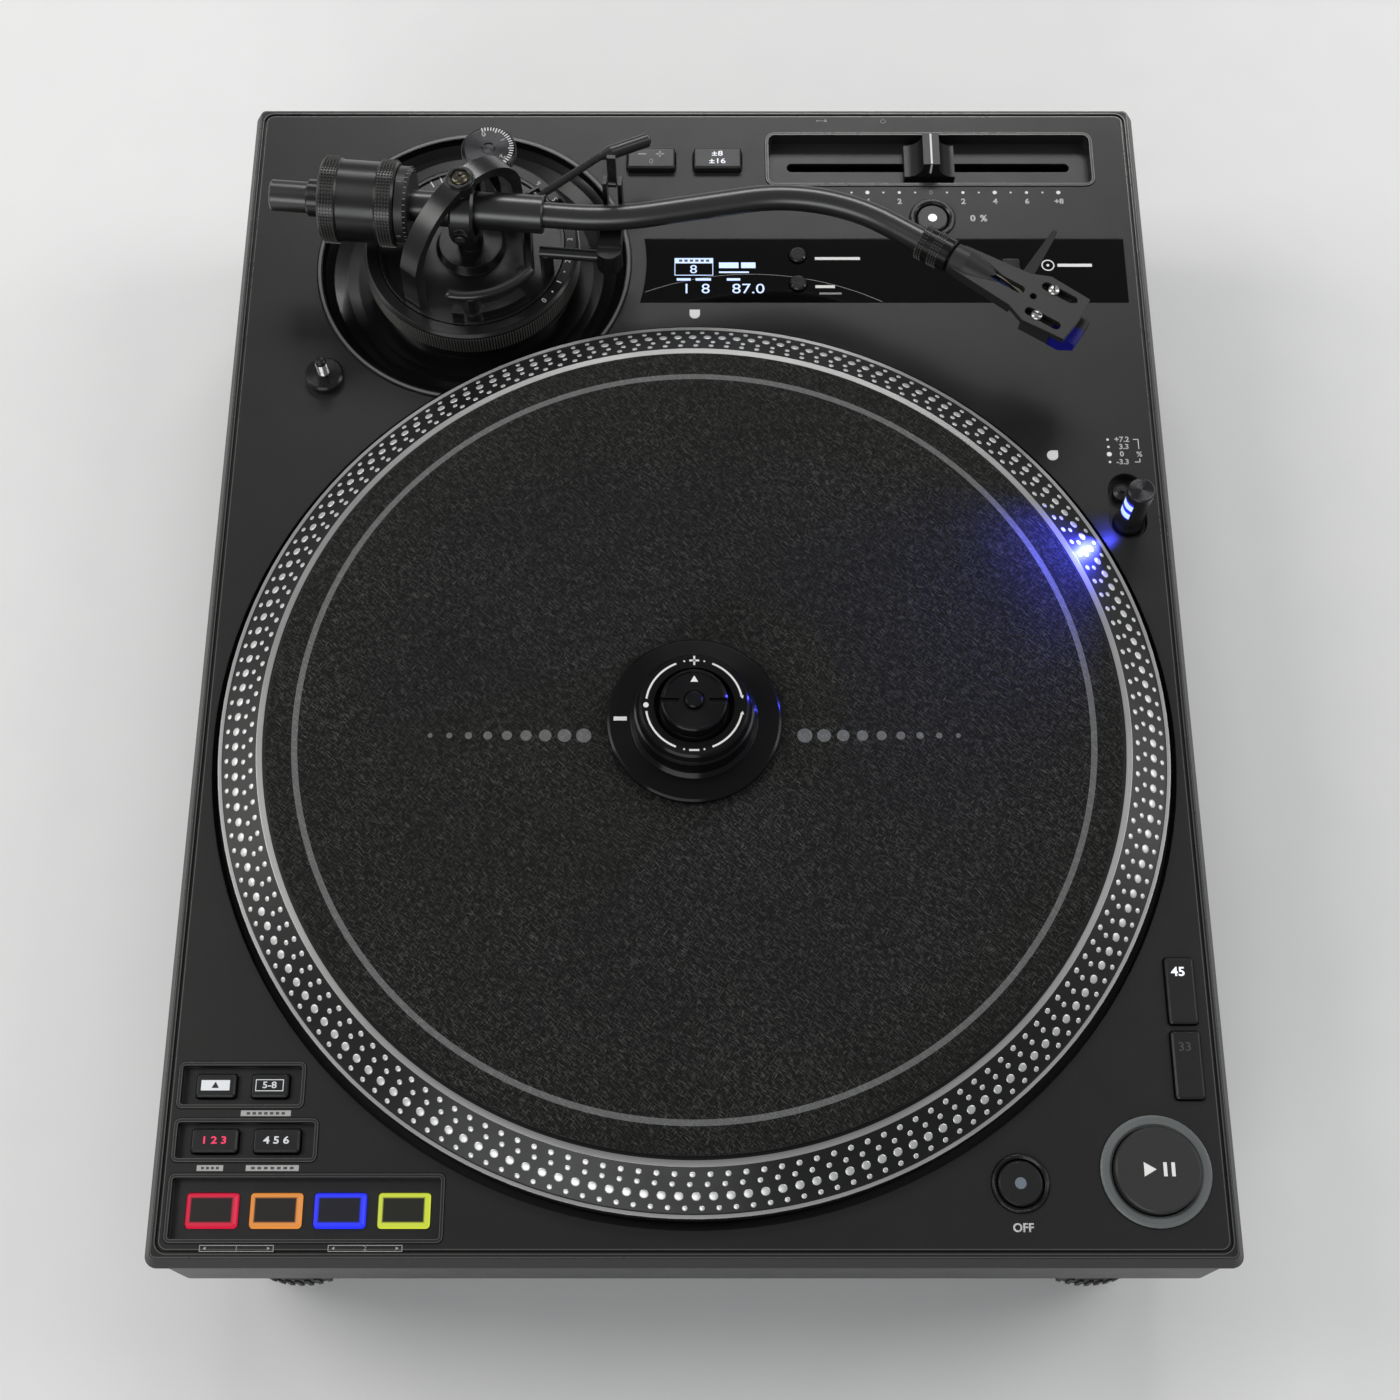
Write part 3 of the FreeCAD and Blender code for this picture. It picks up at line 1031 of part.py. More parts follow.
def arm_hub():
    """Thick middle of the arm and the threaded shaft behind it."""
    body = turned_along(ARM_CENTRE, ARM_AHEAD, [
        (0, -SHAFT_END), (SHAFT_RADIUS - 0.6, -SHAFT_END), (SHAFT_RADIUS, -SHAFT_END + 0.6),
        (SHAFT_RADIUS, -HUB_BACK_LENGTH), (HUB_TUBE_RADIUS - 0.6, -HUB_BACK_LENGTH),
        (HUB_TUBE_RADIUS, 0.6 - HUB_BACK_LENGTH),
        (HUB_TUBE_RADIUS, HUB_FRONT_LENGTH - 0.5), (HUB_TUBE_RADIUS - 0.5, HUB_FRONT_LENGTH),
        (TUBE_RADIUS + SEAT_GAP / 2, HUB_FRONT_LENGTH),
        (TUBE_RADIUS + SEAT_GAP / 2, HUB_FRONT_LENGTH - HUB_SOCKET_DEPTH),
        (0, HUB_FRONT_LENGTH - HUB_SOCKET_DEPTH)])
    pin_hole = rod(on_arm(0, -HUB_TUBE_RADIUS - 1, ARM_Z), on_arm(0, HUB_TUBE_RADIUS + 1, ARM_Z),
                   BEARING_PIN_RADIUS + SHAFT_GAP)
    core = rod(on_arm(0, -(HUB_TUBE_RADIUS - BEARING_PIN_DEPTH - MOVING_GAP), ARM_Z),
               on_arm(0, HUB_TUBE_RADIUS - BEARING_PIN_DEPTH - MOVING_GAP, ARM_Z), BEARING_PIN_RADIUS * 2)
    return body.cut(pin_hole.cut(core)).removeSplitter()


def tube_path():
    """Centre line of the S-shaped tube: three straight runs joined by two arcs."""
    start = on_arm(HUB_FRONT_LENGTH - HUB_SOCKET_DEPTH + SEAT_GAP, 0, ARM_Z)
    reach_one = FIRST_BEND_RADIUS * math.tan(math.radians(SECOND_RUN_ANGLE - ARM_REST_ANGLE) / 2)
    reach_two = SECOND_BEND_RADIUS * math.tan(math.radians(SECOND_RUN_ANGLE - HEAD_ANGLE) / 2)
    end = HEAD_START - HEAD_AHEAD * COLLAR_END_GAP
    a = FIRST_BEND - ARM_AHEAD * reach_one
    b = FIRST_BEND + SECOND_AHEAD * reach_one
    c = SECOND_BEND - SECOND_AHEAD * reach_two
    d = SECOND_BEND + HEAD_AHEAD * reach_two
    return [
        Part.LineSegment(start, a).toShape(),
        arc_between(a, b, ARM_AHEAD, SECOND_AHEAD, FIRST_BEND_RADIUS),
        Part.LineSegment(b, c).toShape(),
        arc_between(c, d, SECOND_AHEAD, HEAD_AHEAD, SECOND_BEND_RADIUS),
        Part.LineSegment(d, end).toShape(),
    ]


def arc_between(start, end, leaving, arriving, radius):
    """Level arc from one run to the next."""
    left = leaving.x * arriving.y - leaving.y * arriving.x > 0
    side = Vector(-leaving.y, leaving.x, 0) * (radius if left else -radius)
    centre = start + side
    chord = (start + end) / 2
    middle = centre + (chord - centre).normalize() * radius
    return Part.Arc(start, middle, end).toShape()


def arm_tube():
    """S-shaped tube from the hub to the head shell socket."""
    edges = tube_path()
    path = Part.Wire(edges)
    start = edges[0].Vertexes[0].Point
    outer = Part.Wire([Part.Circle(start, ARM_AHEAD, TUBE_RADIUS).toShape()])
    inner = Part.Wire([Part.Circle(start, ARM_AHEAD, TUBE_RADIUS - TUBE_WALL).toShape()])
    solid = path.makePipeShell([outer], True, True)
    core = path.makePipeShell([inner], True, True)
    return solid.cut(core)


def head_turned(profile):
    return turned_along(HEAD_START, HEAD_AHEAD, profile)


def collar_nut():
    """Locking nut that draws the head shell on to the tube."""
    back = -COLLAR_LENGTH
    bore = TUBE_RADIUS + SHAFT_GAP
    return head_turned([
        (bore, back), (COLLAR_RADIUS - 0.5, back), (COLLAR_RADIUS, back + 0.5), (COLLAR_RADIUS, -1.0),
        (COLLAR_RADIUS - 0.6, -COLLAR_END_GAP), (bore, -COLLAR_END_GAP)])


def headshell():
    """Head shell with its plug, slots and finger lift."""
    low = SHELL_TOP_Z - SHELL_THICK
    outline = [
        (2.0, SHELL_BACK_HALF), (SHELL_WAIST_S, SHELL_WAIST_HALF), (SHELL_HEAD_S, SHELL_HEAD_HALF),
        (SHELL_LENGTH, SHELL_FRONT_HALF), (SHELL_LENGTH + 0.8, 0), (SHELL_LENGTH, -SHELL_FRONT_HALF),
        (SHELL_HEAD_S, -SHELL_HEAD_HALF), (SHELL_WAIST_S, -SHELL_WAIST_HALF), (2.0, -SHELL_BACK_HALF),
    ]
    plate = prism([on_head(s, t, low) for s, t in outline], UP * SHELL_THICK)
    barrel = head_turned([
        (0, 0), (SHELL_BARREL_RADIUS - 0.4, 0), (SHELL_BARREL_RADIUS, 0.4),
        (SHELL_BARREL_RADIUS, SHELL_BARREL_LENGTH),
        (SHELL_BARREL_RADIUS * 0.55, SHELL_BARREL_LENGTH * 3.2), (0, SHELL_BARREL_LENGTH * 3.2)])
    plug = head_turned([
        (0, -PLUG_LENGTH), (PLUG_RADIUS - 0.3, -PLUG_LENGTH), (PLUG_RADIUS, -PLUG_LENGTH + 0.3),
        (PLUG_RADIUS, 1), (0, 1)])
    ribs = []
    for side in (-1, 1):
        inner = on_head(3.0, side * (SHELL_BACK_HALF - 1.6), low - 2.2)
        outer = on_head(3.0, side * SHELL_BACK_HALF, low - 2.2)
        far_outer = on_head(SHELL_WAIST_S, side * SHELL_WAIST_HALF, low - 2.2)
        far_inner = on_head(SHELL_WAIST_S, side * (SHELL_WAIST_HALF - 1.6), low - 2.2)
        ribs.append(prism([inner, outer, far_outer, far_inner], UP * 3))
    root_back = on_head(FINGER_S - 2.2, SHELL_WAIST_HALF - 1.5, low + 0.6)
    root_front = on_head(FINGER_S + 2.2, SHELL_WAIST_HALF - 1.5, low + 0.6)
    tip_front = on_head(FINGER_S + 0.9, SHELL_WAIST_HALF + FINGER_LENGTH, SHELL_TOP_Z + 2.0)
    tip_back = on_head(FINGER_S - 0.9, SHELL_WAIST_HALF + FINGER_LENGTH, SHELL_TOP_Z + 2.0)
    finger = prism([root_back, root_front, tip_front, tip_back], UP * 1.3)
    shell = joined(plate, barrel, plug, finger, *ribs)
    wire_slot = slot_block(on_head(WIRE_SLOT_START, 0, 0), on_head(WIRE_SLOT_END, 0, 0), WIRE_SLOT_RADIUS,
                           low - 6, SHELL_TOP_Z + 1)
    mid_hole = disc(on_head(SHELL_HEAD_S - 1.5, 0, 0).x, on_head(SHELL_HEAD_S - 1.5, 0, 0).y, 1.3,
                    low - 6, SHELL_TOP_Z + 1)
    cuts = [wire_slot, mid_hole]
    for side in (-1, 1):
        t = side * SHELL_SLOT_SPACING / 2
        cuts.append(slot_block(on_head(SHELL_SLOT_START, t, 0), on_head(SHELL_SLOT_END, t, 0),
                               SHELL_SLOT_RADIUS,
                               low - 6, SHELL_TOP_Z + 1))
    return shell.cut(cuts).removeSplitter()


def head_block(back, front, half_width, z0, z1):
    corners = [on_head(back, -half_width, z0), on_head(front, -half_width, z0),
               on_head(front, half_width, z0), on_head(back, half_width, z0)]
    return prism(corners, UP * (z1 - z0))


def cartridge():
    """Pick-up body under the shell, with its four pins."""
    top = SHELL_TOP_Z - SHELL_THICK
    low = top - CARTRIDGE_HEIGHT
    half = CARTRIDGE_WIDTH / 2
    front = CARTRIDGE_BACK + CARTRIDGE_LENGTH
    flange = head_block(CARTRIDGE_BACK + 2, front, half + 1.2, top - 2.0, top)
    body = head_block(CARTRIDGE_BACK, front, half - 1.2, low, top - 1)
    pins = []
    for row in (-1, 1):
        for column in (-1, 1):
            start = on_head(CARTRIDGE_BACK + 1, column * 3.2, top - 5 + row * 2)
            end = on_head(CARTRIDGE_BACK - 4, column * 3.2, top - 5 + row * 2)
            pins.append(rod(start, end, CARTRIDGE_PIN_RADIUS))
    return joined(flange, body, *pins)


def stylus():
    """Clip-on stylus with its cantilever and tip."""
    top = SHELL_TOP_Z - SHELL_THICK
    low = top - CARTRIDGE_HEIGHT - 1.0
    back = CARTRIDGE_BACK + CARTRIDGE_LENGTH
    half = STYLUS_BODY_WIDTH / 2
    side = [(back, low), (back + STYLUS_BODY_LENGTH * 0.45, low), (back + STYLUS_BODY_LENGTH, low + 4.5),
            (back + STYLUS_BODY_LENGTH, low + STYLUS_BODY_HEIGHT), (back, low + STYLUS_BODY_HEIGHT)]
    body = prism([on_head(s, -half, z) for s, z in side], HEAD_LEFT * STYLUS_BODY_WIDTH)
    tip_z = mat_top() + STYLUS_CLEAR
    tip = on_head(STYLUS_S, 0, tip_z)
    joint = on_head(STYLUS_S, 0, tip_z + 1.4)
    cantilever = rod(on_head(back + 2, 0, low + 1.0), joint, 0.45)
    needle = Part.makeCone(0.2, 0.5, joint.z - tip.z, tip, UP)
    return joined(body, cantilever, needle)


def weight_turned(profile):
    """Profile with distances measured back from the pivot."""
    return turned_along(ARM_CENTRE, ARM_AHEAD * -1, profile)


def weight_bush():
    """Threaded bush that winds the counterweight along the shaft."""
    start = WEIGHT_FRONT + WEIGHT_BAND_WIDTH
    bore = SHAFT_RADIUS + SHAFT_GAP
    return weight_turned([(bore, start), (BUSH_RADIUS, start), (BUSH_RADIUS, start + BUSH_LENGTH),
                          (bore, start + BUSH_LENGTH)])


def counterweight():
    """Steel weight with two grip bands and a neck behind."""
    inner = SHAFT_RADIUS + SHAFT_GAP
    bush = BUSH_RADIUS + SHAFT_GAP
    groove = WEIGHT_RADIUS - WEIGHT_GROOVE
    front_band = WEIGHT_FRONT + WEIGHT_BAND_WIDTH
    back_band = WEIGHT_BACK - WEIGHT_BAND_WIDTH
    return weight_turned([
        (inner, WEIGHT_FRONT), (WEIGHT_RADIUS - 0.8, WEIGHT_FRONT), (WEIGHT_RADIUS, WEIGHT_FRONT + 0.8),
        (WEIGHT_RADIUS, front_band - 0.6), (groove, front_band), (groove, back_band),
        (WEIGHT_RADIUS, back_band + 0.6), (WEIGHT_RADIUS, WEIGHT_BACK - 0.8),
        (WEIGHT_RADIUS - 0.8, WEIGHT_BACK),
        (WEIGHT_NECK_RADIUS + 1.5, WEIGHT_BACK), (WEIGHT_NECK_RADIUS, WEIGHT_BACK + 0.5),
        (WEIGHT_NECK_RADIUS, WEIGHT_BACK + WEIGHT_NECK_LENGTH - 0.5),
        (WEIGHT_NECK_RADIUS - 0.5, WEIGHT_BACK + WEIGHT_NECK_LENGTH),
        (inner, WEIGHT_BACK + WEIGHT_NECK_LENGTH),
        (inner, front_band + BUSH_LENGTH + MOVING_GAP), (bush, front_band + BUSH_LENGTH + MOVING_GAP),
        (bush, front_band - MOVING_GAP), (inner, front_band - MOVING_GAP)])


def force_dial():
    """Ring in front of the weight that shows the tracking force."""
    start = WEIGHT_FRONT - DIAL_RING_WIDTH
    end = WEIGHT_FRONT - MOVING_GAP
    bore = SHAFT_RADIUS + SHAFT_GAP
    return weight_turned([
        (bore, start), (DIAL_RING_RADIUS - 1.5, start), (DIAL_RING_RADIUS, start + 1.5),
        (DIAL_RING_RADIUS, end), (bore, end)])


def arm_rest():
    """Rod on a foot that carries the cradle and the fork of the clip."""
    foot_place = on_arm(REST_ROD_START + REST_ROD_RADIUS, REST_ROD_OFFSET, BASE_TOP_Z)
    foot = disc(foot_place.x, foot_place.y, REST_ROD_RADIUS * 1.1, BASE_TOP_Z, REST_ROD_Z)
    bar = rod(on_arm(REST_ROD_START, REST_ROD_OFFSET, REST_ROD_Z),
              on_arm(REST_BOSS_ALONG, REST_ROD_OFFSET, REST_ROD_Z),
              REST_ROD_RADIUS)
    boss_place = on_arm(REST_BOSS_ALONG, REST_ROD_OFFSET, 0)
    boss_low = REST_ROD_Z - REST_BOSS_RADIUS
    saddle_z = ARM_Z - TUBE_RADIUS - MOVING_GAP
    boss = disc(boss_place.x, boss_place.y, REST_BOSS_RADIUS, boss_low, saddle_z - 0.6)
    half = REST_CRADLE_WIDTH / 2
    cradle = rest_block(REST_BOSS_ALONG - half, REST_BOSS_ALONG + half, REST_ROD_OFFSET,
                        REST_FORK_OFFSET + 2, boss_low + 1, saddle_z)
    fork = rest_block(REST_BOSS_ALONG - REST_FORK_GAP / 2 - REST_FORK_WALL,
                      REST_BOSS_ALONG + REST_FORK_GAP / 2 + REST_FORK_WALL,
                      REST_FORK_OFFSET - 2, REST_FORK_OFFSET + 2, boss_low + 1, REST_FORK_TOP_Z)
    notch = rest_block(REST_BOSS_ALONG - REST_FORK_GAP / 2, REST_BOSS_ALONG + REST_FORK_GAP / 2,
                       REST_FORK_OFFSET - 3, REST_FORK_OFFSET + 3, saddle_z - 2, REST_FORK_TOP_Z + 1)
    pin_hole = rod(clip_pin(-REST_FORK_GAP), clip_pin(REST_FORK_GAP), CLIP_PIN_RADIUS + SHAFT_GAP)
    return joined(foot, bar, boss, cradle, fork).cut([notch, pin_hole]).removeSplitter()


def rest_block(back, front, right, left, z0, z1):
    corners = [on_arm(back, right, z0), on_arm(front, right, z0), on_arm(front, left, z0),
               on_arm(back, left, z0)]
    return prism(corners, UP * (z1 - z0))


def clip_pin(along):
    return on_arm(REST_BOSS_ALONG + along, REST_FORK_OFFSET, REST_FORK_TOP_Z - CLIP_PIN_DROP)


def rest_clip():
    """Clip that holds the arm down, shown swung up and open."""
    z = REST_FORK_TOP_Z - CLIP_PIN_DROP
    half = CLIP_WIDTH / 2
    strap = rest_block(REST_BOSS_ALONG - half, REST_BOSS_ALONG + half, REST_FORK_OFFSET - CLIP_THICK / 2,
                       REST_FORK_OFFSET + CLIP_THICK / 2, z, z + CLIP_LENGTH)
    eye = rod(clip_pin(-half), clip_pin(half), CLIP_THICK)
    pin = rod(clip_pin(-REST_FORK_GAP / 2 - REST_FORK_WALL),
              clip_pin(REST_FORK_GAP / 2 + REST_FORK_WALL), CLIP_PIN_RADIUS)
    return joined(strap, eye, pin)


def mat_top():
    return PLATTER_TOP_Z + MAT_LIFT + MAT_THICK


def platter():
    """Cast platter: flat top, dotted slope, skirt, ribs and hub."""
    under = PLATTER_TOP_Z - PLATTER_WALL
    flank = PLATTER_RADIUS - PLATTER_RING_WIDTH
    bore = SPINDLE_RADIUS
    profile = [
        (bore, HUB_BOTTOM_Z), (HUB_RADIUS, HUB_BOTTOM_Z), (HUB_RADIUS + 2, under),
        (PLATTER_TOP_RADIUS - 2, under),
        (PLATTER_RADIUS - PLATTER_WALL, PLATTER_FLANK_Z - PLATTER_WALL + 1),
        (PLATTER_RADIUS - PLATTER_WALL, PLATTER_SKIRT_Z),
        (PLATTER_RADIUS - 0.5, PLATTER_SKIRT_Z), (PLATTER_RADIUS, PLATTER_SKIRT_Z + 0.5),
        (PLATTER_RADIUS, PLATTER_FLANK_Z),
        (flank, PLATTER_FLANK_Z), (PLATTER_TOP_RADIUS, PLATTER_TOP_Z), (bore, PLATTER_TOP_Z),
    ]
    return turned(SPINDLE_X, SPINDLE_Y, profile)


def rotor_magnet():
    top = PLATTER_TOP_Z - PLATTER_WALL
    return ring(SPINDLE_X, SPINDLE_Y, MAGNET_OUTER_RADIUS, MAGNET_INNER_RADIUS, top - MAGNET_HEIGHT, top)


def spindle():
    tip = SPINDLE_RADIUS * 0.55
    return turned(SPINDLE_X, SPINDLE_Y, [
        (0, SPINDLE_BOTTOM_Z), (SPINDLE_RADIUS - 1, SPINDLE_BOTTOM_Z),
        (SPINDLE_RADIUS, SPINDLE_BOTTOM_Z + 1),
        (SPINDLE_RADIUS, SPINDLE_TOP_Z - 2.5), (tip, SPINDLE_TOP_Z), (0, SPINDLE_TOP_Z)])


def motor_stator():
    """Ring of coils on a board, fixed in the recess under the platter."""
    low = RECESS_FLOOR_Z
    board = ring(SPINDLE_X, SPINDLE_Y, STATOR_RADIUS, BEARING_FLANGE_RADIUS + 1, low,
                 low + STATOR_BASE_HEIGHT)
    coils = []
    for index in range(COIL_COUNT):
        turn = direction(360.0 * index / COIL_COUNT)
        coils.append(disc(SPINDLE_X + turn.x * COIL_CIRCLE, SPINDLE_Y + turn.y * COIL_CIRCLE, COIL_RADIUS,
                          low + STATOR_BASE_HEIGHT - 0.5, low + STATOR_BASE_HEIGHT + COIL_HEIGHT))
    return joined(board, *coils)


def spindle_bearing():
    """Oil bearing that stands through the recess floor and carries the spindle."""
    floor = RECESS_FLOOR_Z
    bore = SPINDLE_RADIUS + SHAFT_GAP
    return turned(SPINDLE_X, SPINDLE_Y, [
        (0, BEARING_BOTTOM_Z), (BEARING_RADIUS, BEARING_BOTTOM_Z), (BEARING_RADIUS, floor),
        (BEARING_FLANGE_RADIUS, floor),
        (BEARING_FLANGE_RADIUS, floor + 3), (BEARING_RADIUS, floor + 3),
        (BEARING_RADIUS, HUB_BOTTOM_Z - 1.0),
        (bore, HUB_BOTTOM_Z - 1.0), (bore, SPINDLE_BOTTOM_Z - MOVING_GAP),
        (0, SPINDLE_BOTTOM_Z - MOVING_GAP)])


def slipmat():
    low = PLATTER_TOP_Z + MAT_LIFT
    return ring(SPINDLE_X, SPINDLE_Y, MAT_RADIUS, MAT_HOLE_RADIUS, low, low + MAT_THICK)


def clamp_base():
    """Foot and body of the friction clamp."""
    low = mat_top() + MAT_LIFT
    step = low + CLAMP_BASE_THICK
    top = low + CLAMP_BODY_HEIGHT
    well = top - CLAMP_WELL_DEPTH
    bore = SPINDLE_RADIUS + SHAFT_GAP
    return turned(SPINDLE_X, SPINDLE_Y, [
        (bore, low), (CLAMP_BASE_RADIUS - 0.6, low), (CLAMP_BASE_RADIUS, low + 0.6),
        (CLAMP_BASE_RADIUS, step - 0.8),
        (CLAMP_BASE_RADIUS - 0.8, step - 0.2), (CLAMP_BODY_RADIUS + 1.4, step),
        (CLAMP_BODY_RADIUS, step + 1.4),
        (CLAMP_BODY_RADIUS, top - 3.4), (CLAMP_BODY_RADIUS - 0.8, top - 3.0),
        (CLAMP_SCALE_RADIUS, top - 0.8), (CLAMP_SCALE_RADIUS - 0.8, top),
        (CLAMP_WELL_RADIUS, top), (CLAMP_WELL_RADIUS, well), (bore, well)])


def clamp_dial():
    """Dial in the clamp's well, with its centre pin."""
    low = mat_top() + MAT_LIFT + CLAMP_BODY_HEIGHT - CLAMP_WELL_DEPTH + MOVING_GAP
    top = mat_top() + MAT_LIFT + CLAMP_BODY_HEIGHT + CLAMP_DIAL_RISE
    dial = turned(SPINDLE_X, SPINDLE_Y, [
        (0, SPINDLE_TOP_Z + MOVING_GAP), (SPINDLE_RADIUS + 0.5, SPINDLE_TOP_Z + MOVING_GAP),
        (SPINDLE_RADIUS + 0.5, low),
        (CLAMP_WELL_RADIUS - 0.6, low), (CLAMP_WELL_RADIUS - 0.6, low + 2),
        (CLAMP_DIAL_RADIUS, low + 3.4), (CLAMP_DIAL_RADIUS, top - 0.5),
        (CLAMP_DIAL_RADIUS - 0.5, top), (CLAMP_DIAL_RADIUS - 1.0, top),
        (CLAMP_DIAL_RADIUS - 1.0, top - 0.5), (CLAMP_PIN_RADIUS + 0.6, top - 0.5),
        (CLAMP_PIN_RADIUS + 0.6, top - 1.2), (CLAMP_PIN_RADIUS, top - 1.2),
        (CLAMP_PIN_RADIUS, top + 0.4), (CLAMP_PIN_RADIUS - 0.4, top + 0.8), (0, top + 0.8)])
    grips = []
    for side in (-1, 1):
        inner = SPINDLE_X + side * (CLAMP_PIN_RADIUS + 2.0)
        outer = SPINDLE_X + side * (CLAMP_DIAL_RADIUS + 1)
        grips.append(box(min(inner, outer), max(inner, outer), SPINDLE_Y - 0.9, SPINDLE_Y + 0.9,
                         top - 1.6, top + 1))
    return dial.cut(grips).removeSplitter()


def fader_tray():
    """Sunk tray of the pitch fader, with its slot and the rails below."""
    floor_z = PLATE_Z - FADER_SINK
    low = floor_z - TRAY_FLOOR
    outer = slab(FADER_X, FADER_Y, FADER_WIDTH, FADER_DEPTH, FADER_CORNER, low, PLATE_Z + 0.4)
    inner = slab(FADER_X, FADER_Y, FADER_WIDTH - 2 * TRAY_WALL, FADER_DEPTH - 2 * TRAY_WALL,
                 FADER_CORNER - TRAY_WALL,
                 floor_z, PLATE_Z + 2)
    slot_half = FADER_TRAVEL + FADER_STEM_WIDTH / 2 + FADER_END_SPACE
    slot = slot_block(Vector(FADER_X - slot_half + FADER_SLOT_WIDTH / 2, FADER_Y, 0),
                      Vector(FADER_X + slot_half - FADER_SLOT_WIDTH / 2, FADER_Y, 0),
                      FADER_SLOT_WIDTH / 2, low - 1, PLATE_Z + 2)
    rails = []
    rail_half = FADER_CARRIAGE_DEPTH / 2 + MOVING_GAP
    for side in (-1, 1):
        inner_y = FADER_Y + side * rail_half
        outer_y = FADER_Y + side * (rail_half + 2)
        rails.append(box(FADER_X - slot_half, FADER_X + slot_half, min(inner_y, outer_y),
                         max(inner_y, outer_y),
                         floor_z - FADER_RAIL_DROP, low))
    return joined(outer.cut([inner, slot]), *rails)


def pitch_fader():
    """Fader knob with a ridge, its stem and the carriage below the tray."""
    low = PLATE_Z - FADER_SINK + MOVING_GAP
    half = FADER_KNOB_WIDTH / 2
    ridge = FADER_RIDGE_WIDTH / 2
    front = FADER_Y - FADER_KNOB_DEPTH / 2
    top = low + FADER_KNOB_HEIGHT
    edges = [
        Part.LineSegment(Vector(FADER_X - half, front, low), Vector(FADER_X + half, front, low)).toShape(),
        Part.LineSegment(Vector(FADER_X + half, front, low),
                         Vector(FADER_X + half, front, low + FADER_KNOB_SKIRT)).toShape(),
        Part.Arc(Vector(FADER_X + half, front, low + FADER_KNOB_SKIRT),
                 Vector(FADER_X + ridge + 1.6, front, low + FADER_KNOB_SKIRT + 2.0),
                 Vector(FADER_X + ridge, front, top)).toShape(),
        Part.LineSegment(Vector(FADER_X + ridge, front, top),
                         Vector(FADER_X - ridge, front, top)).toShape(),
        Part.Arc(Vector(FADER_X - ridge, front, top),
                 Vector(FADER_X - ridge - 1.6, front, low + FADER_KNOB_SKIRT + 2.0),
                 Vector(FADER_X - half, front, low + FADER_KNOB_SKIRT)).toShape(),
        Part.LineSegment(Vector(FADER_X - half, front, low + FADER_KNOB_SKIRT),
                         Vector(FADER_X - half, front, low)).toShape(),
    ]
    knob = Part.Face(Part.Wire(edges)).extrude(Vector(0, FADER_KNOB_DEPTH, 0))
    stem_low = PLATE_Z - FADER_SINK - TRAY_FLOOR - MOVING_GAP
    stem = box(FADER_X - FADER_STEM_WIDTH / 2, FADER_X + FADER_STEM_WIDTH / 2,
               FADER_Y - FADER_STEM_THICK / 2,
               FADER_Y + FADER_STEM_THICK / 2, stem_low - 1, low + 1)
    carriage = box(FADER_X - FADER_STEM_WIDTH, FADER_X + FADER_STEM_WIDTH,
                   FADER_Y - FADER_CARRIAGE_DEPTH / 2,
                   FADER_Y + FADER_CARRIAGE_DEPTH / 2, stem_low - FADER_CARRIAGE_HEIGHT, stem_low)
    return joined(knob, stem, carriage)


def display_window():
    """Gloss black window with holes for its keys."""
    window = window_face(0, PLATE_Z - WINDOW_THICK, PLATE_Z)
    cuts = [
        disc(MENU_KEY_X, MENU_KEY_UPPER_Y, MENU_KEY_RADIUS + KEY_GAP, PLATE_Z - 10, PLATE_Z + 1),
        disc(MENU_KEY_X, MENU_KEY_LOWER_Y, MENU_KEY_RADIUS + KEY_GAP, PLATE_Z - 10, PLATE_Z + 1),
        key_hole(INPUT_KEY_X, INPUT_KEY_Y, INPUT_KEY_WIDTH, INPUT_KEY_LENGTH, PLATE_Z - 10, PLATE_Z + 1),
    ]
    return window.cut(cuts)


def button_trays():
    """Three sunk frames at the front left, each with its key holes."""
    solids = []
    floor_z = PLATE_Z - TRAY_SINK
    for right_x, front_y, back_y in TRAYS:
        outer = tray_block(right_x, front_y, back_y, 0, floor_z - TRAY_FLOOR, PLATE_Z + 0.4)
        inner = tray_block(right_x, front_y, back_y, -TRAY_WALL, floor_z, PLATE_Z + 2)
        cuts = [inner]
        for x, y, width, length, rise in TRAY_KEYS.values():
            if front_y < y < back_y:
                cuts.append(key_hole(x, y, width, length, floor_z - TRAY_FLOOR - 1, PLATE_Z + 1))
        solids.append(outer.cut(cuts))
    return Part.makeCompound(solids)


def button_rings():
    """Turned rings round the three round keys."""
    rings = []
    for x, y, inner, outer in RINGS:
        rings.append(turned(x, y, [
            (inner, PLATE_Z - RING_DEPTH), (outer, PLATE_Z - RING_DEPTH),
            (outer, PLATE_Z + RING_RISE - 0.4),
            (outer - 0.4, PLATE_Z + RING_RISE), (inner + 0.8, PLATE_Z + RING_RISE),
            (inner, PLATE_Z + 0.2)]))
    return Part.makeCompound(rings)


def round_key(x, y, radius, rise):
    top = PLATE_Z + rise
    under = PLATE_Z - PLATE_THICK - MOVING_GAP
    return turned(x, y, [
        (0, PLATE_Z - KEY_DEPTH), (radius + KEY_FLANGE, PLATE_Z - KEY_DEPTH),
        (radius + KEY_FLANGE, under), (radius, under),
        (radius, top - KEY_BEVEL), (radius - KEY_BEVEL, top), (0, top)])


def square_key(x, y, width, length, rise, surround_z, under_z):
    cap = bevel_slab(x, y, width, length, KEY_CORNER, under_z - 1, surround_z + rise, KEY_BEVEL)
    flange = slab(x, y, width + 2 * KEY_FLANGE, length + 2 * KEY_FLANGE, KEY_CORNER,
                  under_z - MOVING_GAP - KEY_FLANGE_THICK, under_z - MOVING_GAP)
    return joined(cap, flange)


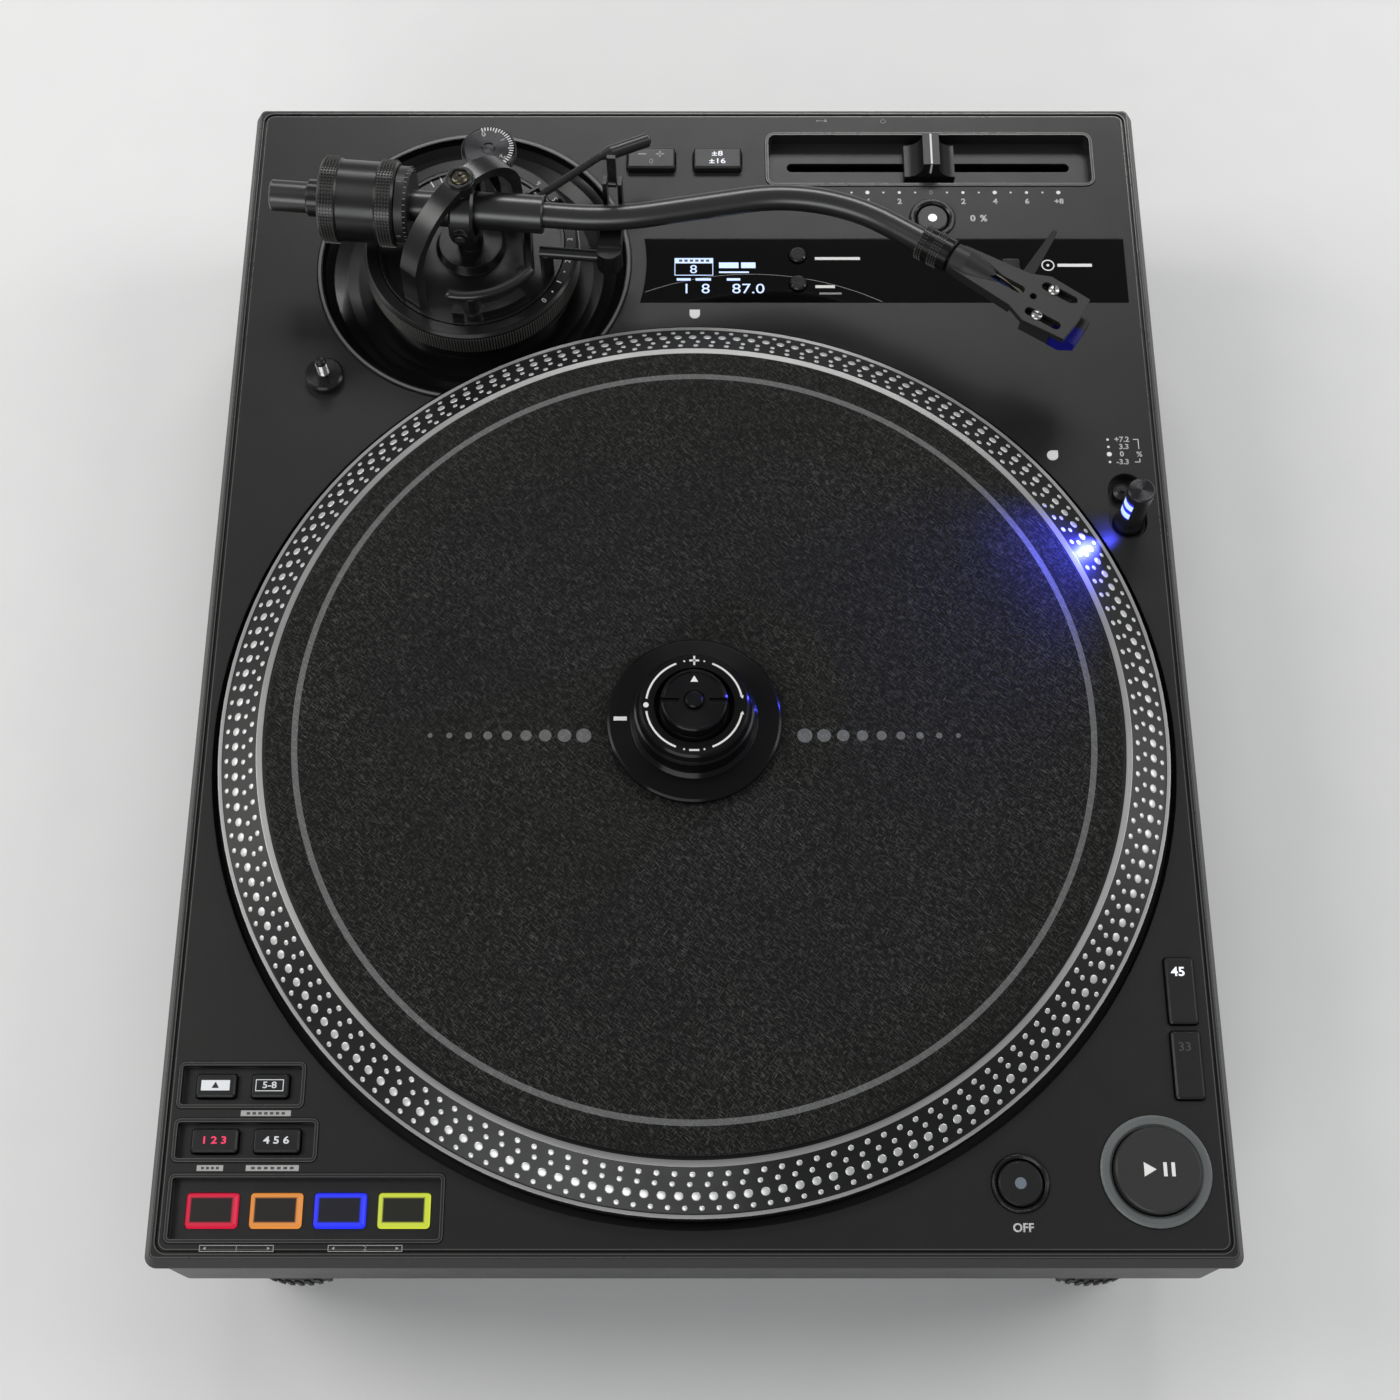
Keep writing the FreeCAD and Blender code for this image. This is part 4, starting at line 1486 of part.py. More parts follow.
def strobe_tower():
    """Lamp tower that stands in a round-ended recess beside the platter."""
    floor = PLATE_Z - STROBE_RECESS_DEPTH
    top = PLATE_Z + STROBE_HEIGHT
    tower = turned(STROBE_X, STROBE_Y, [
        (0, floor), (STROBE_RADIUS + 0.8, floor), (STROBE_RADIUS + 0.6, floor + 2),
        (STROBE_RADIUS - 0.2, floor + 4),
        (STROBE_RADIUS - 0.2, top - 6), (STROBE_RADIUS, top - 5), (STROBE_RADIUS, top - 0.4),
        (STROBE_RADIUS - 0.4, top), (0, top)])
    lamp = turned(STROBE_RECESS_X - 1.2, STROBE_RECESS_BACK_Y, [
        (0, floor), (LAMP_BASE_RADIUS, floor), (LAMP_BASE_RADIUS, floor + 2.6),
        (LAMP_BASE_RADIUS - 1.4, floor + 3.4),
        (1.0, floor + 3.4), (1.0, floor + 5), (0, floor + 5)])
    return joined(tower.cut(lens_block(0)), lamp)


def lens_block(shrink):
    """Window of the tower: the side towards the platter, cut back flat."""
    to_platter = Vector(SPINDLE_X - STROBE_X, SPINDLE_Y - STROBE_Y, 0).normalize()
    across = Vector(-to_platter.y, to_platter.x, 0)
    centre = Vector(STROBE_X, STROBE_Y, 0)
    half = 2.6 - shrink
    near = centre + to_platter * (STROBE_RADIUS - 2.2)
    far = centre + to_platter * (STROBE_RADIUS + 2)
    low = STROBE_WINDOW_Z + shrink
    corners = [near - across * half, far - across * half, far + across * half, near + across * half]
    lifted = [Vector(p.x, p.y, low) for p in corners]
    return prism(lifted, UP * (STROBE_WINDOW_HEIGHT - 2 * shrink))


def strobe_lens():
    body = disc(STROBE_X, STROBE_Y, STROBE_RADIUS - 0.4, STROBE_WINDOW_Z - 1,
                STROBE_WINDOW_Z + STROBE_WINDOW_HEIGHT + 1)
    return lens_block(SEAT_GAP).common(body)


def accessory_stud():
    """Disc with a threaded pin on the top plate."""
    top = PLATE_Z + STUD_DISC_HEIGHT
    return turned(STUD_X, STUD_Y, [
        (0, PLATE_Z), (STUD_DISC_RADIUS, PLATE_Z), (STUD_DISC_RADIUS, top - 0.8),
        (STUD_DISC_RADIUS - 0.8, top),
        (STUD_PIN_RADIUS, top), (STUD_PIN_RADIUS, top + STUD_PIN_HEIGHT - 0.6),
        (STUD_PIN_RADIUS - 0.6, top + STUD_PIN_HEIGHT),
        (0, top + STUD_PIN_HEIGHT)])


def panel_y():
    """Outer face of the connector panel."""
    return DECK_DEPTH / 2 - SIDE_INSET - POCKET_DEPTH + PANEL_THICK


def panel_openings(depth):
    """Holes that let the sockets and the switch through the panel and the case wall."""
    front = panel_y() - depth
    back = panel_y() + 1
    holes = [
        box(INLET_X - INLET_WIDTH / 2 - SEAT_GAP, INLET_X + INLET_WIDTH / 2 + SEAT_GAP, front, back,
            PANEL_MID_Z - INLET_HEIGHT / 2 - SEAT_GAP, PANEL_MID_Z + INLET_HEIGHT / 2 + SEAT_GAP),
        box(SWITCH_X - switch_half_width() - SEAT_GAP, SWITCH_X + switch_half_width() + SEAT_GAP, front,
            back,
            PANEL_MID_Z - switch_half_height() - SEAT_GAP, PANEL_MID_Z + switch_half_height() + SEAT_GAP),
        box(USB_X - USB_WIDTH / 2 - SEAT_GAP, USB_X + USB_WIDTH / 2 + SEAT_GAP, front, back,
            PANEL_MID_Z - USB_HEIGHT / 2 - SEAT_GAP, PANEL_MID_Z + USB_HEIGHT / 2 + SEAT_GAP),
    ]
    return Part.makeCompound(holes)


def switch_half_width():
    return SWITCH_WIDTH / 2 + KEY_GAP + SWITCH_WALL


def switch_half_height():
    return SWITCH_HEIGHT / 2 + KEY_GAP + SWITCH_WALL


def switch_axle(length, radius):
    """Level pin across the mains switch."""
    y = panel_y() - SWITCH_AXLE_DEPTH
    return rod(Vector(SWITCH_X - length / 2, y, PANEL_MID_Z),
               Vector(SWITCH_X + length / 2, y, PANEL_MID_Z), radius)


def rear_panel():
    """Plate at the bottom of the connector pocket."""
    low = POCKET_BOTTOM_Z + SEAT_GAP
    high = POCKET_TOP_Z - SEAT_GAP
    plate = box(POCKET_LEFT_X + SEAT_GAP, POCKET_RIGHT_X - SEAT_GAP, panel_y() - PANEL_THICK, panel_y(),
                low, high)
    return plate.cut(panel_openings(PANEL_THICK + 4))


def socket_block(x, width, height, depth, rise, wall):
    """Housing through the panel with an open mouth to the back."""
    outer = box(x - width / 2, x + width / 2, panel_y() - depth, panel_y() + rise,
                PANEL_MID_Z - height / 2, PANEL_MID_Z + height / 2)
    inner = box(x - width / 2 + wall, x + width / 2 - wall, panel_y() - depth + wall, panel_y() + rise + 1,
                PANEL_MID_Z - height / 2 + wall, PANEL_MID_Z + height / 2 - wall)
    return outer.cut(inner)


def rear_jacks():
    """Mains inlet, computer socket, two phono sockets and the earth post."""
    mains = socket_block(INLET_X, INLET_WIDTH, INLET_HEIGHT, INLET_DEPTH, INLET_RISE, SOCKET_WALL)
    for offset, z in ((-LINE_BLADE_SPACE, -LINE_BLADE_DROP), (LINE_BLADE_SPACE, -LINE_BLADE_DROP),
                      (0, EARTH_BLADE_RISE)):
        blade = box(INLET_X + offset - BLADE_HALF_WIDTH, INLET_X + offset + BLADE_HALF_WIDTH,
                    panel_y() - INLET_DEPTH + SOCKET_WALL / 2, panel_y() - INLET_CLEAR,
                    PANEL_MID_Z + z - BLADE_HALF_HEIGHT, PANEL_MID_Z + z + BLADE_HALF_HEIGHT)
        mains = mains.fuse(blade)
    usb = socket_block(USB_X, USB_WIDTH, USB_HEIGHT, USB_DEPTH, USB_RISE, SOCKET_WALL)
    tongue = box(USB_X - USB_TONGUE_HALF_WIDTH, USB_X + USB_TONGUE_HALF_WIDTH,
                 panel_y() - USB_DEPTH + SOCKET_WALL / 2, panel_y() - USB_CLEAR,
                 PANEL_MID_Z - USB_TONGUE_HALF_HEIGHT, PANEL_MID_Z + USB_TONGUE_HALF_HEIGHT)
    switch_case = socket_block(SWITCH_X, 2 * switch_half_width(), 2 * switch_half_height(), SWITCH_DEPTH,
                               0.5, SWITCH_WALL)
    switch_case = switch_case.cut(switch_axle(2 * switch_half_width() + 2, SWITCH_AXLE_RADIUS + SHAFT_GAP))
    jacks = [mains.removeSplitter(), usb.fuse(tongue).removeSplitter(), switch_case]
    for x in (PHONO_LEFT_X, PHONO_RIGHT_X):
        jacks.append(turned_along(Vector(x, panel_y(), PANEL_MID_Z), Vector(0, 1, 0), [
            (0, 0), (PHONO_RADIUS + 2, 0), (PHONO_RADIUS + 2, 1.2), (PHONO_RADIUS, 1.2),
            (PHONO_RADIUS, PHONO_LENGTH),
            (PHONO_BORE, PHONO_LENGTH), (PHONO_BORE, 1.5), (0, 1.5)]))
    jacks.append(turned_along(Vector(GROUND_X, panel_y(), PANEL_MID_Z), Vector(0, 1, 0), [
        (0, 0), (GROUND_RADIUS * 0.6, 0), (GROUND_RADIUS * 0.6, 1.6), (GROUND_RADIUS, 1.8),
        (GROUND_RADIUS, GROUND_LENGTH - 0.5),
        (GROUND_RADIUS - 0.5, GROUND_LENGTH), (0, GROUND_LENGTH)]))
    return Part.makeCompound(jacks)


def power_switch():
    """Rocker of the mains switch, pressed down at its lower end."""
    face = panel_y() + 1.4
    axle_y = panel_y() - SWITCH_AXLE_DEPTH
    half = SWITCH_HEIGHT / 2 - KEY_GAP
    outline = [(axle_y - 3, -half * 0.4), (face - 2.4, -half), (face - 0.4, -half), (face - 1.4, 0),
               (face - 0.4, half),
               (face - 2.4, half), (axle_y - 3, half * 0.4)]
    points = [Vector(SWITCH_X - SWITCH_WIDTH / 2, y, PANEL_MID_Z + z) for y, z in outline]
    rocker = prism(points, Vector(SWITCH_WIDTH, 0, 0))
    rocker = joined(rocker, switch_axle(2 * switch_half_width(), SWITCH_AXLE_RADIUS))
    rocker.rotate(Vector(SWITCH_X, axle_y, PANEL_MID_Z), Vector(1, 0, 0), SWITCH_LEAN)
    return rocker


def circuit_boards():
    """Main board and power supply, each on four standoffs on the pan floor."""
    boards = []
    main_board = (MAIN_BOARD_X, MAIN_BOARD_Y, MAIN_BOARD_WIDTH, MAIN_BOARD_DEPTH, MAIN_BOARD_BULK)
    supply = (SUPPLY_X, SUPPLY_Y, SUPPLY_WIDTH, SUPPLY_DEPTH, SUPPLY_BULK)
    for x, y, width, depth, bulk in (main_board, supply):
        floor = PAN_BOTTOM_Z + PAN_FLOOR
        board_z = floor + STANDOFF_HEIGHT
        board = box(x - width / 2, x + width / 2, y - depth / 2, y + depth / 2, board_z,
                    board_z + BOARD_THICK)
        bulk_part = box(x - width / 4, x + width / 6, y - depth / 4, y + depth / 4,
                        board_z + BOARD_THICK / 2,
                        board_z + BOARD_THICK + bulk)
        tall_part = disc(x + width / 3, y, CAPACITOR_RADIUS, board_z + BOARD_THICK / 2,
                         board_z + BOARD_THICK + bulk)
        legs = []
        for side_x in (-1, 1):
            for side_y in (-1, 1):
                legs.append(disc(x + side_x * (width / 2 - BOARD_LEG_INSET),
                                 y + side_y * (depth / 2 - BOARD_LEG_INSET), STANDOFF_RADIUS, floor,
                                 board_z + BOARD_THICK / 3))
        boards.append(joined(board, bulk_part, tall_part, *legs))
    return Part.makeCompound(boards)


NODES = {
    "top_case": top_case,
    "base_pan": base_pan,
    "feet": feet,
    "arm_well": arm_well,
    "fader_tray": fader_tray,
    "display_window": display_window,
    "button_trays": button_trays,
    "button_rings": button_rings,
    "motor_stator": motor_stator,
    "spindle_bearing": spindle_bearing,
    "circuit_boards": circuit_boards,
    "strobe_tower": strobe_tower,
    "strobe_lens": strobe_lens,
    "accessory_stud": accessory_stud,
    "rear_panel": rear_panel,
    "rear_jacks": rear_jacks,
    "power_switch": power_switch,
    "platter": platter,
    "rotor_magnet": rotor_magnet,
    "spindle": spindle,
    "slipmat": slipmat,
    "clamp_base": clamp_base,
    "clamp_dial": clamp_dial,
    "height_ring": height_ring,
    "arm_base": arm_base,
    "arm_arch": arm_arch,
    "antiskate_dial": antiskate_dial,
    "cue_lever": cue_lever,
    "lifter_bar": lifter_bar,
    "arm_rest": arm_rest,
    "rest_clip": rest_clip,
    "gimbal_hoop": gimbal_hoop,
    "arm_hub": arm_hub,
    "arm_tube": arm_tube,
    "collar_nut": collar_nut,
    "headshell": headshell,
    "cartridge": cartridge,
    "stylus": stylus,
    "weight_bush": weight_bush,
    "counterweight": counterweight,
    "force_dial": force_dial,
    "pitch_fader": pitch_fader,
}


def build():
    shapes = {name: make() for name, make in NODES.items()}
    for name, (x, y, radius, rise) in ROUND_KEYS.items():
        shapes[name] = round_key(x, y, radius, rise)
    for name, (x, y, width, length, rise) in PLATE_KEYS.items():
        shapes[name] = square_key(x, y, width, length, rise, PLATE_Z, PLATE_Z - PLATE_THICK)
    for name, (x, y, width, length, rise) in TRAY_KEYS.items():
        shapes[name] = square_key(x, y, width, length, rise, TRAY_KEY_Z, TRAY_KEY_Z - TRAY_FLOOR)
    os.makedirs("parts", exist_ok=True)
    for name, shape in shapes.items():
        shape.exportStep("parts/" + name + ".step")
        print(name, "solids", len(shape.Solids), "valid", shape.isValid(), "volume", round(shape.Volume))
    print("nodes", len(shapes))


build()
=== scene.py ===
from math import asin, cos, pi, radians, sin

import bmesh
import bpy
from mathutils import Euler, Matrix, Vector


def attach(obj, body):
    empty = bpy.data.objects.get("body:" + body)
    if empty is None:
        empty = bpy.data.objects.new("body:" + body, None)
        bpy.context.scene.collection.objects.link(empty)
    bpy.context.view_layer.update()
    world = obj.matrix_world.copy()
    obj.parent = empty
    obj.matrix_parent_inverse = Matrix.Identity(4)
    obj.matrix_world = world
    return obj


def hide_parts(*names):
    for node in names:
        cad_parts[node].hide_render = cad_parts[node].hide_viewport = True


# Direct-drive disc player for mixing, seen from the player's side and from above.
# Lengths are in millimetres, and MM turns them into the scene's metres. The room is in metres.
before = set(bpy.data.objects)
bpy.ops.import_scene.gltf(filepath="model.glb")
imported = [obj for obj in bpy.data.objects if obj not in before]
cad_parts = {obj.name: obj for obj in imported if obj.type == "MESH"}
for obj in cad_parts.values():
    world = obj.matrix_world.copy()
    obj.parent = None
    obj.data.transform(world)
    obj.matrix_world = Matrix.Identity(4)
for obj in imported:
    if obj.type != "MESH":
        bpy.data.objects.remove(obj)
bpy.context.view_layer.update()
MM = 0.001


# Room for the picture: a wide pale floor, soft lamps and the camera.
# The floor shows its own pale colour to the camera and in gloss, and keeps the deck's shadow.
def plug(tree, node, *values, **named):
    """Gives a node's inputs their values or incoming links; in a name, _ stands for a space."""
    for key, value in [*enumerate(values), *named.items()]:
        socket = node.inputs[key.replace("_", " ") if isinstance(key, str) else key]
        if isinstance(value, bpy.types.NodeSocket):
            tree.links.new(value, socket)
        else:
            socket.default_value = value


def wired(tree, kind, *values, sets=(), **named):
    """New shader node with its settings and inputs; returns its outputs."""
    node = tree.nodes.new("ShaderNode" + kind)
    for key, value in dict(sets).items():
        setattr(node, key, value)
    plug(tree, node, *values, **named)
    return node.outputs


def here(tree):
    """Object coordinates, which stay with a piece as it moves."""
    return wired(tree, "TexCoord")["Object"]


def noise(tree, place, scale, **more):
    return wired(tree, "TexNoise", Vector=place, Scale=scale, **more)["Fac"]


def mixed(tree, factor, first, second, kind="RGBA"):
    return wired(tree, "Mix", Factor=factor, A=first, B=second, sets={"data_type": kind})["Result"]


def plain_material(name, colour, roughness, metallic=0.0, **more):
    """Principled material before its texture is wired in."""
    mat = bpy.data.materials.new(name)
    mat.use_nodes = True
    shader = mat.node_tree.nodes["Principled BSDF"]
    plug(mat.node_tree, shader, Base_Color=(*colour, 1.0), Roughness=roughness, Metallic=metallic, **more)
    return mat, mat.node_tree, shader


def shown(name, data, place=(0.0, 0.0, 0.0), aim=None):
    """New object in the scene; a lamp looks at its aim."""
    item = bpy.data.objects.new(name, data)
    bpy.context.scene.collection.objects.link(item)
    item.location = place
    if aim is not None:
        item.rotation_euler = (Vector(aim) - Vector(place)).to_track_quat("-Z", "Y").to_euler()
    return item


ROOM_PALE = (0.88, 0.88, 0.87)
ROOM_FIBRE = (0.84, 0.84, 0.835, 1.0)
ROOM_HALF = 6.0
paper, tree, shader = plain_material("room_paper", ROOM_PALE, 0.9, Specular_IOR_Level=0.2)
fibre = noise(tree, here(tree), 35.0)
plug(tree, shader, Base_Color=mixed(tree, fibre, (*ROOM_PALE, 1.0), ROOM_FIBRE))
bm = bmesh.new()
bmesh.ops.create_grid(bm, x_segments=8, y_segments=8, size=ROOM_HALF)
floor_mesh = bpy.data.meshes.new("floor")
bm.to_mesh(floor_mesh)
bm.free()
floor_mesh.materials.append(paper)
floor = shown("floor", floor_mesh)

world = bpy.data.worlds.new("studio")
bpy.context.scene.world = world
world.use_nodes = True
plug(world.node_tree, world.node_tree.nodes["Background"], Color=(0.86, 0.88, 0.9, 1.0), Strength=0.27)
LAMP_AIM = (0.0, 0.0, 0.08)
LAMPS = (
    ("lamp_back", (0.1, 1.45, 1.35), (1.1, 0.4), 11.0, (1.0, 1.0, 1.0)),
    ("lamp_left", (-1.5, 0.25, 1.25), (0.8, 1.5), 15.0, (1.0, 0.99, 0.97)),
    ("lamp_right", (1.6, 0.3, 1.2), (0.8, 1.5), 12.0, (1.0, 1.0, 1.0)),
    ("lamp_front", (-0.5, -1.5, 0.8), (1.4, 0.7), 9.0, (0.98, 0.99, 1.0)),
)
for name, place, size, watts, tint in LAMPS:
    lamp = bpy.data.lights.new(name, "AREA")
    lamp.shape = "RECTANGLE"
    lamp.size, lamp.size_y = size
    lamp.energy = watts
    lamp.color = tint
    shown(name, lamp, place, LAMP_AIM)

CAMERA_PLACE = (0.0, -0.3032, 0.762)
CAMERA_TILT = radians(22.2)
camera = shown("camera", bpy.data.cameras.new("camera"), CAMERA_PLACE)
camera.rotation_euler = (CAMERA_TILT, 0.0, 0.0)
camera.data.sensor_width = 36.0
camera.data.lens = 52.1
camera.data.shift_x = 0.0041
bpy.context.scene.camera = camera
bpy.context.scene.view_settings.view_transform = "Standard"


# Base pan: a heavy moulded tub of filled rubber and plastic that closes the case from below.
# It keeps a dull, lightly grained skin, and eight screws hold it to the case.
def new_group(name, outputs, **inputs):
    """Shader node group whose inputs are given with their defaults; in a name, _ stands for a space."""
    group = bpy.data.node_groups.new(name, "ShaderNodeTree")
    for label, value in inputs.items():
        kind = {3: "Vector", 4: "Color"}[len(value)] if isinstance(value, tuple) else "Float"
        label = label.replace("_", " ")
        socket = group.interface.new_socket(label, in_out="INPUT", socket_type="NodeSocket" + kind)
        socket.default_value = value
    for label in outputs:
        kind = {"Colour": "Color", "Normal": "Vector"}.get(label, "Float")
        group.interface.new_socket(label, in_out="OUTPUT", socket_type="NodeSocket" + kind)
    return group, group.nodes.new("NodeGroupInput").outputs, group.nodes.new("NodeGroupOutput")


def maths(tree, operation, *terms):
    return wired(tree, "Math", *terms, sets={"operation": operation})[0]


def grouped(tree, group, **named):
    return wired(tree, "Group", sets={"node_tree": group}, **named)


def bumped(group, given, height, distance):
    """Normal with softened edges and a relief of the group's own depth."""
    edge = wired(group, "Bevel", Radius=given["Edge"], sets={"samples": 4})[0]
    return wired(group, "Bump", Strength=given["Depth"], Distance=distance, Height=height,
                 Normal=edge)["Normal"]


def grain_group():
    """Moulded or sprayed skin: fine pimples, slow mottling and a little rubbed gloss."""
    group, given, made = new_group("moulded_grain", ("Colour", "Roughness", "Normal"),
                                   Colour=(0.02, 0.02, 0.02, 1), Roughness=0.5, Grain=0.0005, Depth=0.3,
                                   Mottle=0.2, Rub=0.1, Edge=0.0003)
    place = here(group)
    fine = noise(group, place, maths(group, "DIVIDE", 1.0, given["Grain"]), Detail=3.0)
    slow = maths(group, "MULTIPLY", noise(group, place, 22.0, Detail=4.0), given["Mottle"])
    dots = maths(group, "MULTIPLY", fine, given["Mottle"])
    patch = maths(group, "SUBTRACT", noise(group, place, 75.0, Detail=5.0, Roughness=0.65), 0.5)
    plug(group, made,
         Colour=mixed(group, maths(group, "ADD", slow, dots), given["Colour"], (0.16, 0.16, 0.158, 1)),
         Roughness=maths(group, "MULTIPLY_ADD", patch, given["Rub"], given["Roughness"]),
         Normal=bumped(group, given, fine, 0.0002))
    return group


GRAIN = grain_group()


def coat(tree, shader, skin, **other):
    """Wires a skin's colour, roughness and normal to the shader, apart from those given another source."""
    plug(tree, shader, **{"Base_Color": skin["Colour"], "Roughness": skin["Roughness"],
                          "Normal": skin["Normal"], **other})


def grained(name, colour, roughness, grain=0.3, depth=0.05, mottle=0.1, rub=0.12, metallic=0.0, edge=0.3,
            **more):
    """Moulded plastic, rubber or powder coat."""
    mat, tree, shader = plain_material(name, colour, roughness, metallic, **more)
    coat(tree, shader, grouped(tree, GRAIN, Colour=(*colour, 1.0), Roughness=roughness, Grain=grain * MM,
                               Depth=depth, Mottle=mottle, Rub=rub, Edge=edge * MM))
    return mat


def dress(material, *nodes):
    """Gives CAD nodes their finish."""
    for node in nodes:
        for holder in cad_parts[node].material_slots:
            holder.material = material


def settle(name, bm, material, body, smooth=True, groove=35.0):
    """Turns a bmesh into a named piece that rides on a body."""
    mesh = bpy.data.meshes.new(name)
    bm.to_mesh(mesh)
    bm.free()
    if smooth:
        mesh.shade_smooth()
        mesh.set_sharp_from_angle(angle=radians(groove))
    piece = shown(name, mesh)
    for finish in material if isinstance(material, (list, tuple)) else (material,):
        mesh.materials.append(finish)
    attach(piece, body)
    return piece


dress(grained("pan_rubber", (0.01, 0.01, 0.011), 0.72, grain=0.9, depth=0.5, mottle=0.06), "base_pan")


# Feet: four damped feet, each a soft rubber sole under a ribbed plastic housing that hides a coil spring.
# The ribs let the player's fingers turn the housing on its stud to level the deck.
def swing(angle, axis="Z"):
    return Matrix.Rotation(angle, 3, axis)


def aimed(axis):
    """Turn that carries the upright axis on to another axis."""
    return Vector(axis).to_track_quat("Z", "Y").to_matrix()


def faces_of(verts):
    return list({f for v in verts for f in v.link_faces})


def put(bm, verts, place=(0, 0, 0), turn=None):
    """Turns vertices about the origin, then moves them to their place."""
    if turn is not None:
        bmesh.ops.rotate(bm, verts=verts, cent=(0, 0, 0), matrix=turn)
    bmesh.ops.translate(bm, verts=verts, vec=Vector(place) * MM)


def disc(bm, segments, radius):
    return bmesh.ops.create_circle(bm, cap_ends=True, segments=segments, radius=radius * MM)["verts"]


def block(bm, size, place, turn=None):
    made = bmesh.ops.create_cube(bm, size=1.0)["verts"]
    bmesh.ops.scale(bm, verts=made, vec=Vector(size) * MM)
    put(bm, made, place, turn)
    return made


def copied(bm, verts):
    """Copies vertices with their edges and faces, and returns the new vertices."""
    edges = list({e for v in verts for e in v.link_edges})
    copy = bmesh.ops.duplicate(bm, geom=[*verts, *edges, *faces_of(verts)])["geom"]
    return [item for item in copy if isinstance(item, bmesh.types.BMVert)]


def ring_of(bm, verts, count):
    """Repeats what stands on vertices evenly round the upright axis at the origin."""
    for index in range(1, count):
        put(bm, copied(bm, verts), turn=swing(2 * pi * index / count))


FOOT_RADIUS = 32.0
FOOT_RIB_COUNT = 60
FOOT_RIB = (1.4, 1.5, 12.0)
FOOT_RIB_MIDDLE = 15.5
SOLE_RADIUS = 27.4
SOLE_LOW = 0.9
SOLE_RISE = 5.9
FOOT_PLACES = [(x, y, 0.0) for x in (-140.5, 140.5) for y in (-190.5, 190.5)]
foot_housing = grained("foot_housing_plastic", (0.012, 0.012, 0.013), 0.55, grain=0.4, depth=0.3,
                       mottle=0.05)
foot_rubber = grained("foot_sole_rubber", (0.02, 0.02, 0.021), 0.85, grain=0.7, depth=0.5, mottle=0.08)
dress(foot_housing, "feet")
bm = bmesh.new()
ring_of(bm, block(bm, FOOT_RIB, (FOOT_RADIUS, 0, FOOT_RIB_MIDDLE)), FOOT_RIB_COUNT)
one_foot = bm.verts[:]
for place in FOOT_PLACES[1:]:
    put(bm, copied(bm, one_foot), place)
put(bm, one_foot, FOOT_PLACES[0])
settle("foot_ribs", bm, foot_housing, "chassis", smooth=False)

bm = bmesh.new()
for place in FOOT_PLACES:
    sole = disc(bm, 48, SOLE_RADIUS)
    put(bm, sole, (place[0], place[1], SOLE_LOW))
    wall = bmesh.ops.extrude_face_region(bm, geom=faces_of(sole))["geom"]
    put(bm, [v for v in wall if isinstance(v, bmesh.types.BMVert)], (0, 0, SOLE_RISE))
bmesh.ops.recalc_face_normals(bm, faces=bm.faces)
settle("foot_sole_bands", bm, foot_rubber, "chassis")

# Top case: one aluminium die casting that makes the top plate, its sloped edge and the side walls.
# It is finished in a fine black powder coat, baked on.
DECK_TOP = 97.0
UP = (0, 0, 1)
dress(grained("deck_powder_coat", (0.0085, 0.0085, 0.008), 0.38, grain=0.35, depth=0.22, mottle=0.02,
              rub=0.1, edge=0.55, Specular_IOR_Level=0.4), "top_case")

# Pan screws: eight steel screws in black zinc, driven up through the pan into bosses of the casting.
# Each has a domed pan head with a cross recess.
zinc_screw = grained("black_zinc_screw", (0.05, 0.05, 0.052), 0.38, grain=0.2, depth=0.1, metallic=0.9)
slot_dark = grained("slot_shadow_and_arrow_print", (0.004, 0.004, 0.004), 0.8, grain=0.2, depth=0.3)


def screws(name, body, metal, radius, rise, heads, slots=2):
    """Domed screw heads with one or two slots; each head has its place, axis and turn."""
    bm = bmesh.new()
    for place, axis, turn in heads:
        made = bmesh.ops.create_uvsphere(bm, u_segments=16, v_segments=8, radius=radius * MM)["verts"]
        bmesh.ops.scale(bm, verts=made, vec=(1, 1, rise / radius))
        bmesh.ops.delete(bm, geom=[v for v in made if v.co.z < -1e-6], context="VERTS")
        made = [v for v in made if v.is_valid]
        for index in range(slots):
            # Each slot is a near-black block on the dome: painted shadow in place of a cut recess.
            pit = block(bm, (radius * 1.5, radius * 0.24, rise * 0.3), (0, 0, rise * 0.93),
                        swing(turn + index * pi / 2))
            for face in faces_of(pit):
                face.material_index = 1
            made += pit
        put(bm, made, place, aimed(axis))
    settle(name, bm, [metal, slot_dark], body)


PAN_SCREWS = [((x, y, 30.0), (0, 0, -1), 0.0) for x in (-165.0, 0.0, 165.0) for y in (-215.0, 0.0, 215.0)
              if x or y]
screws("pan_screws", "chassis", zinc_screw, radius=3.4, rise=1.6, heads=PAN_SCREWS)


# Platter: an aluminium casting, black between its turned rings. The top ring and the ring at the foot of
# the slope are left bright, and four rows of bright dots on the slope run past the strobe lamp.
def ranged(tree, value, low, high, to_low=0.0, to_high=1.0, sets=()):
    """A number carried over from one range to another."""
    return wired(tree, "MapRange", Value=value, From_Min=low, From_Max=high, To_Min=to_low, To_Max=to_high,
                 sets=sets)[0]


def vectors(tree, operation, *terms, **named):
    return wired(tree, "VectorMath", *terms, sets={"operation": operation}, **named)


def polar(tree, vector):
    """Distance of a mapped point from the Z axis, and its height."""
    parts = wired(tree, "SeparateXYZ", vector)
    flat = wired(tree, "CombineXYZ", parts[0], parts[1])[0]
    return vectors(tree, "LENGTH", flat)["Value"], parts[2]


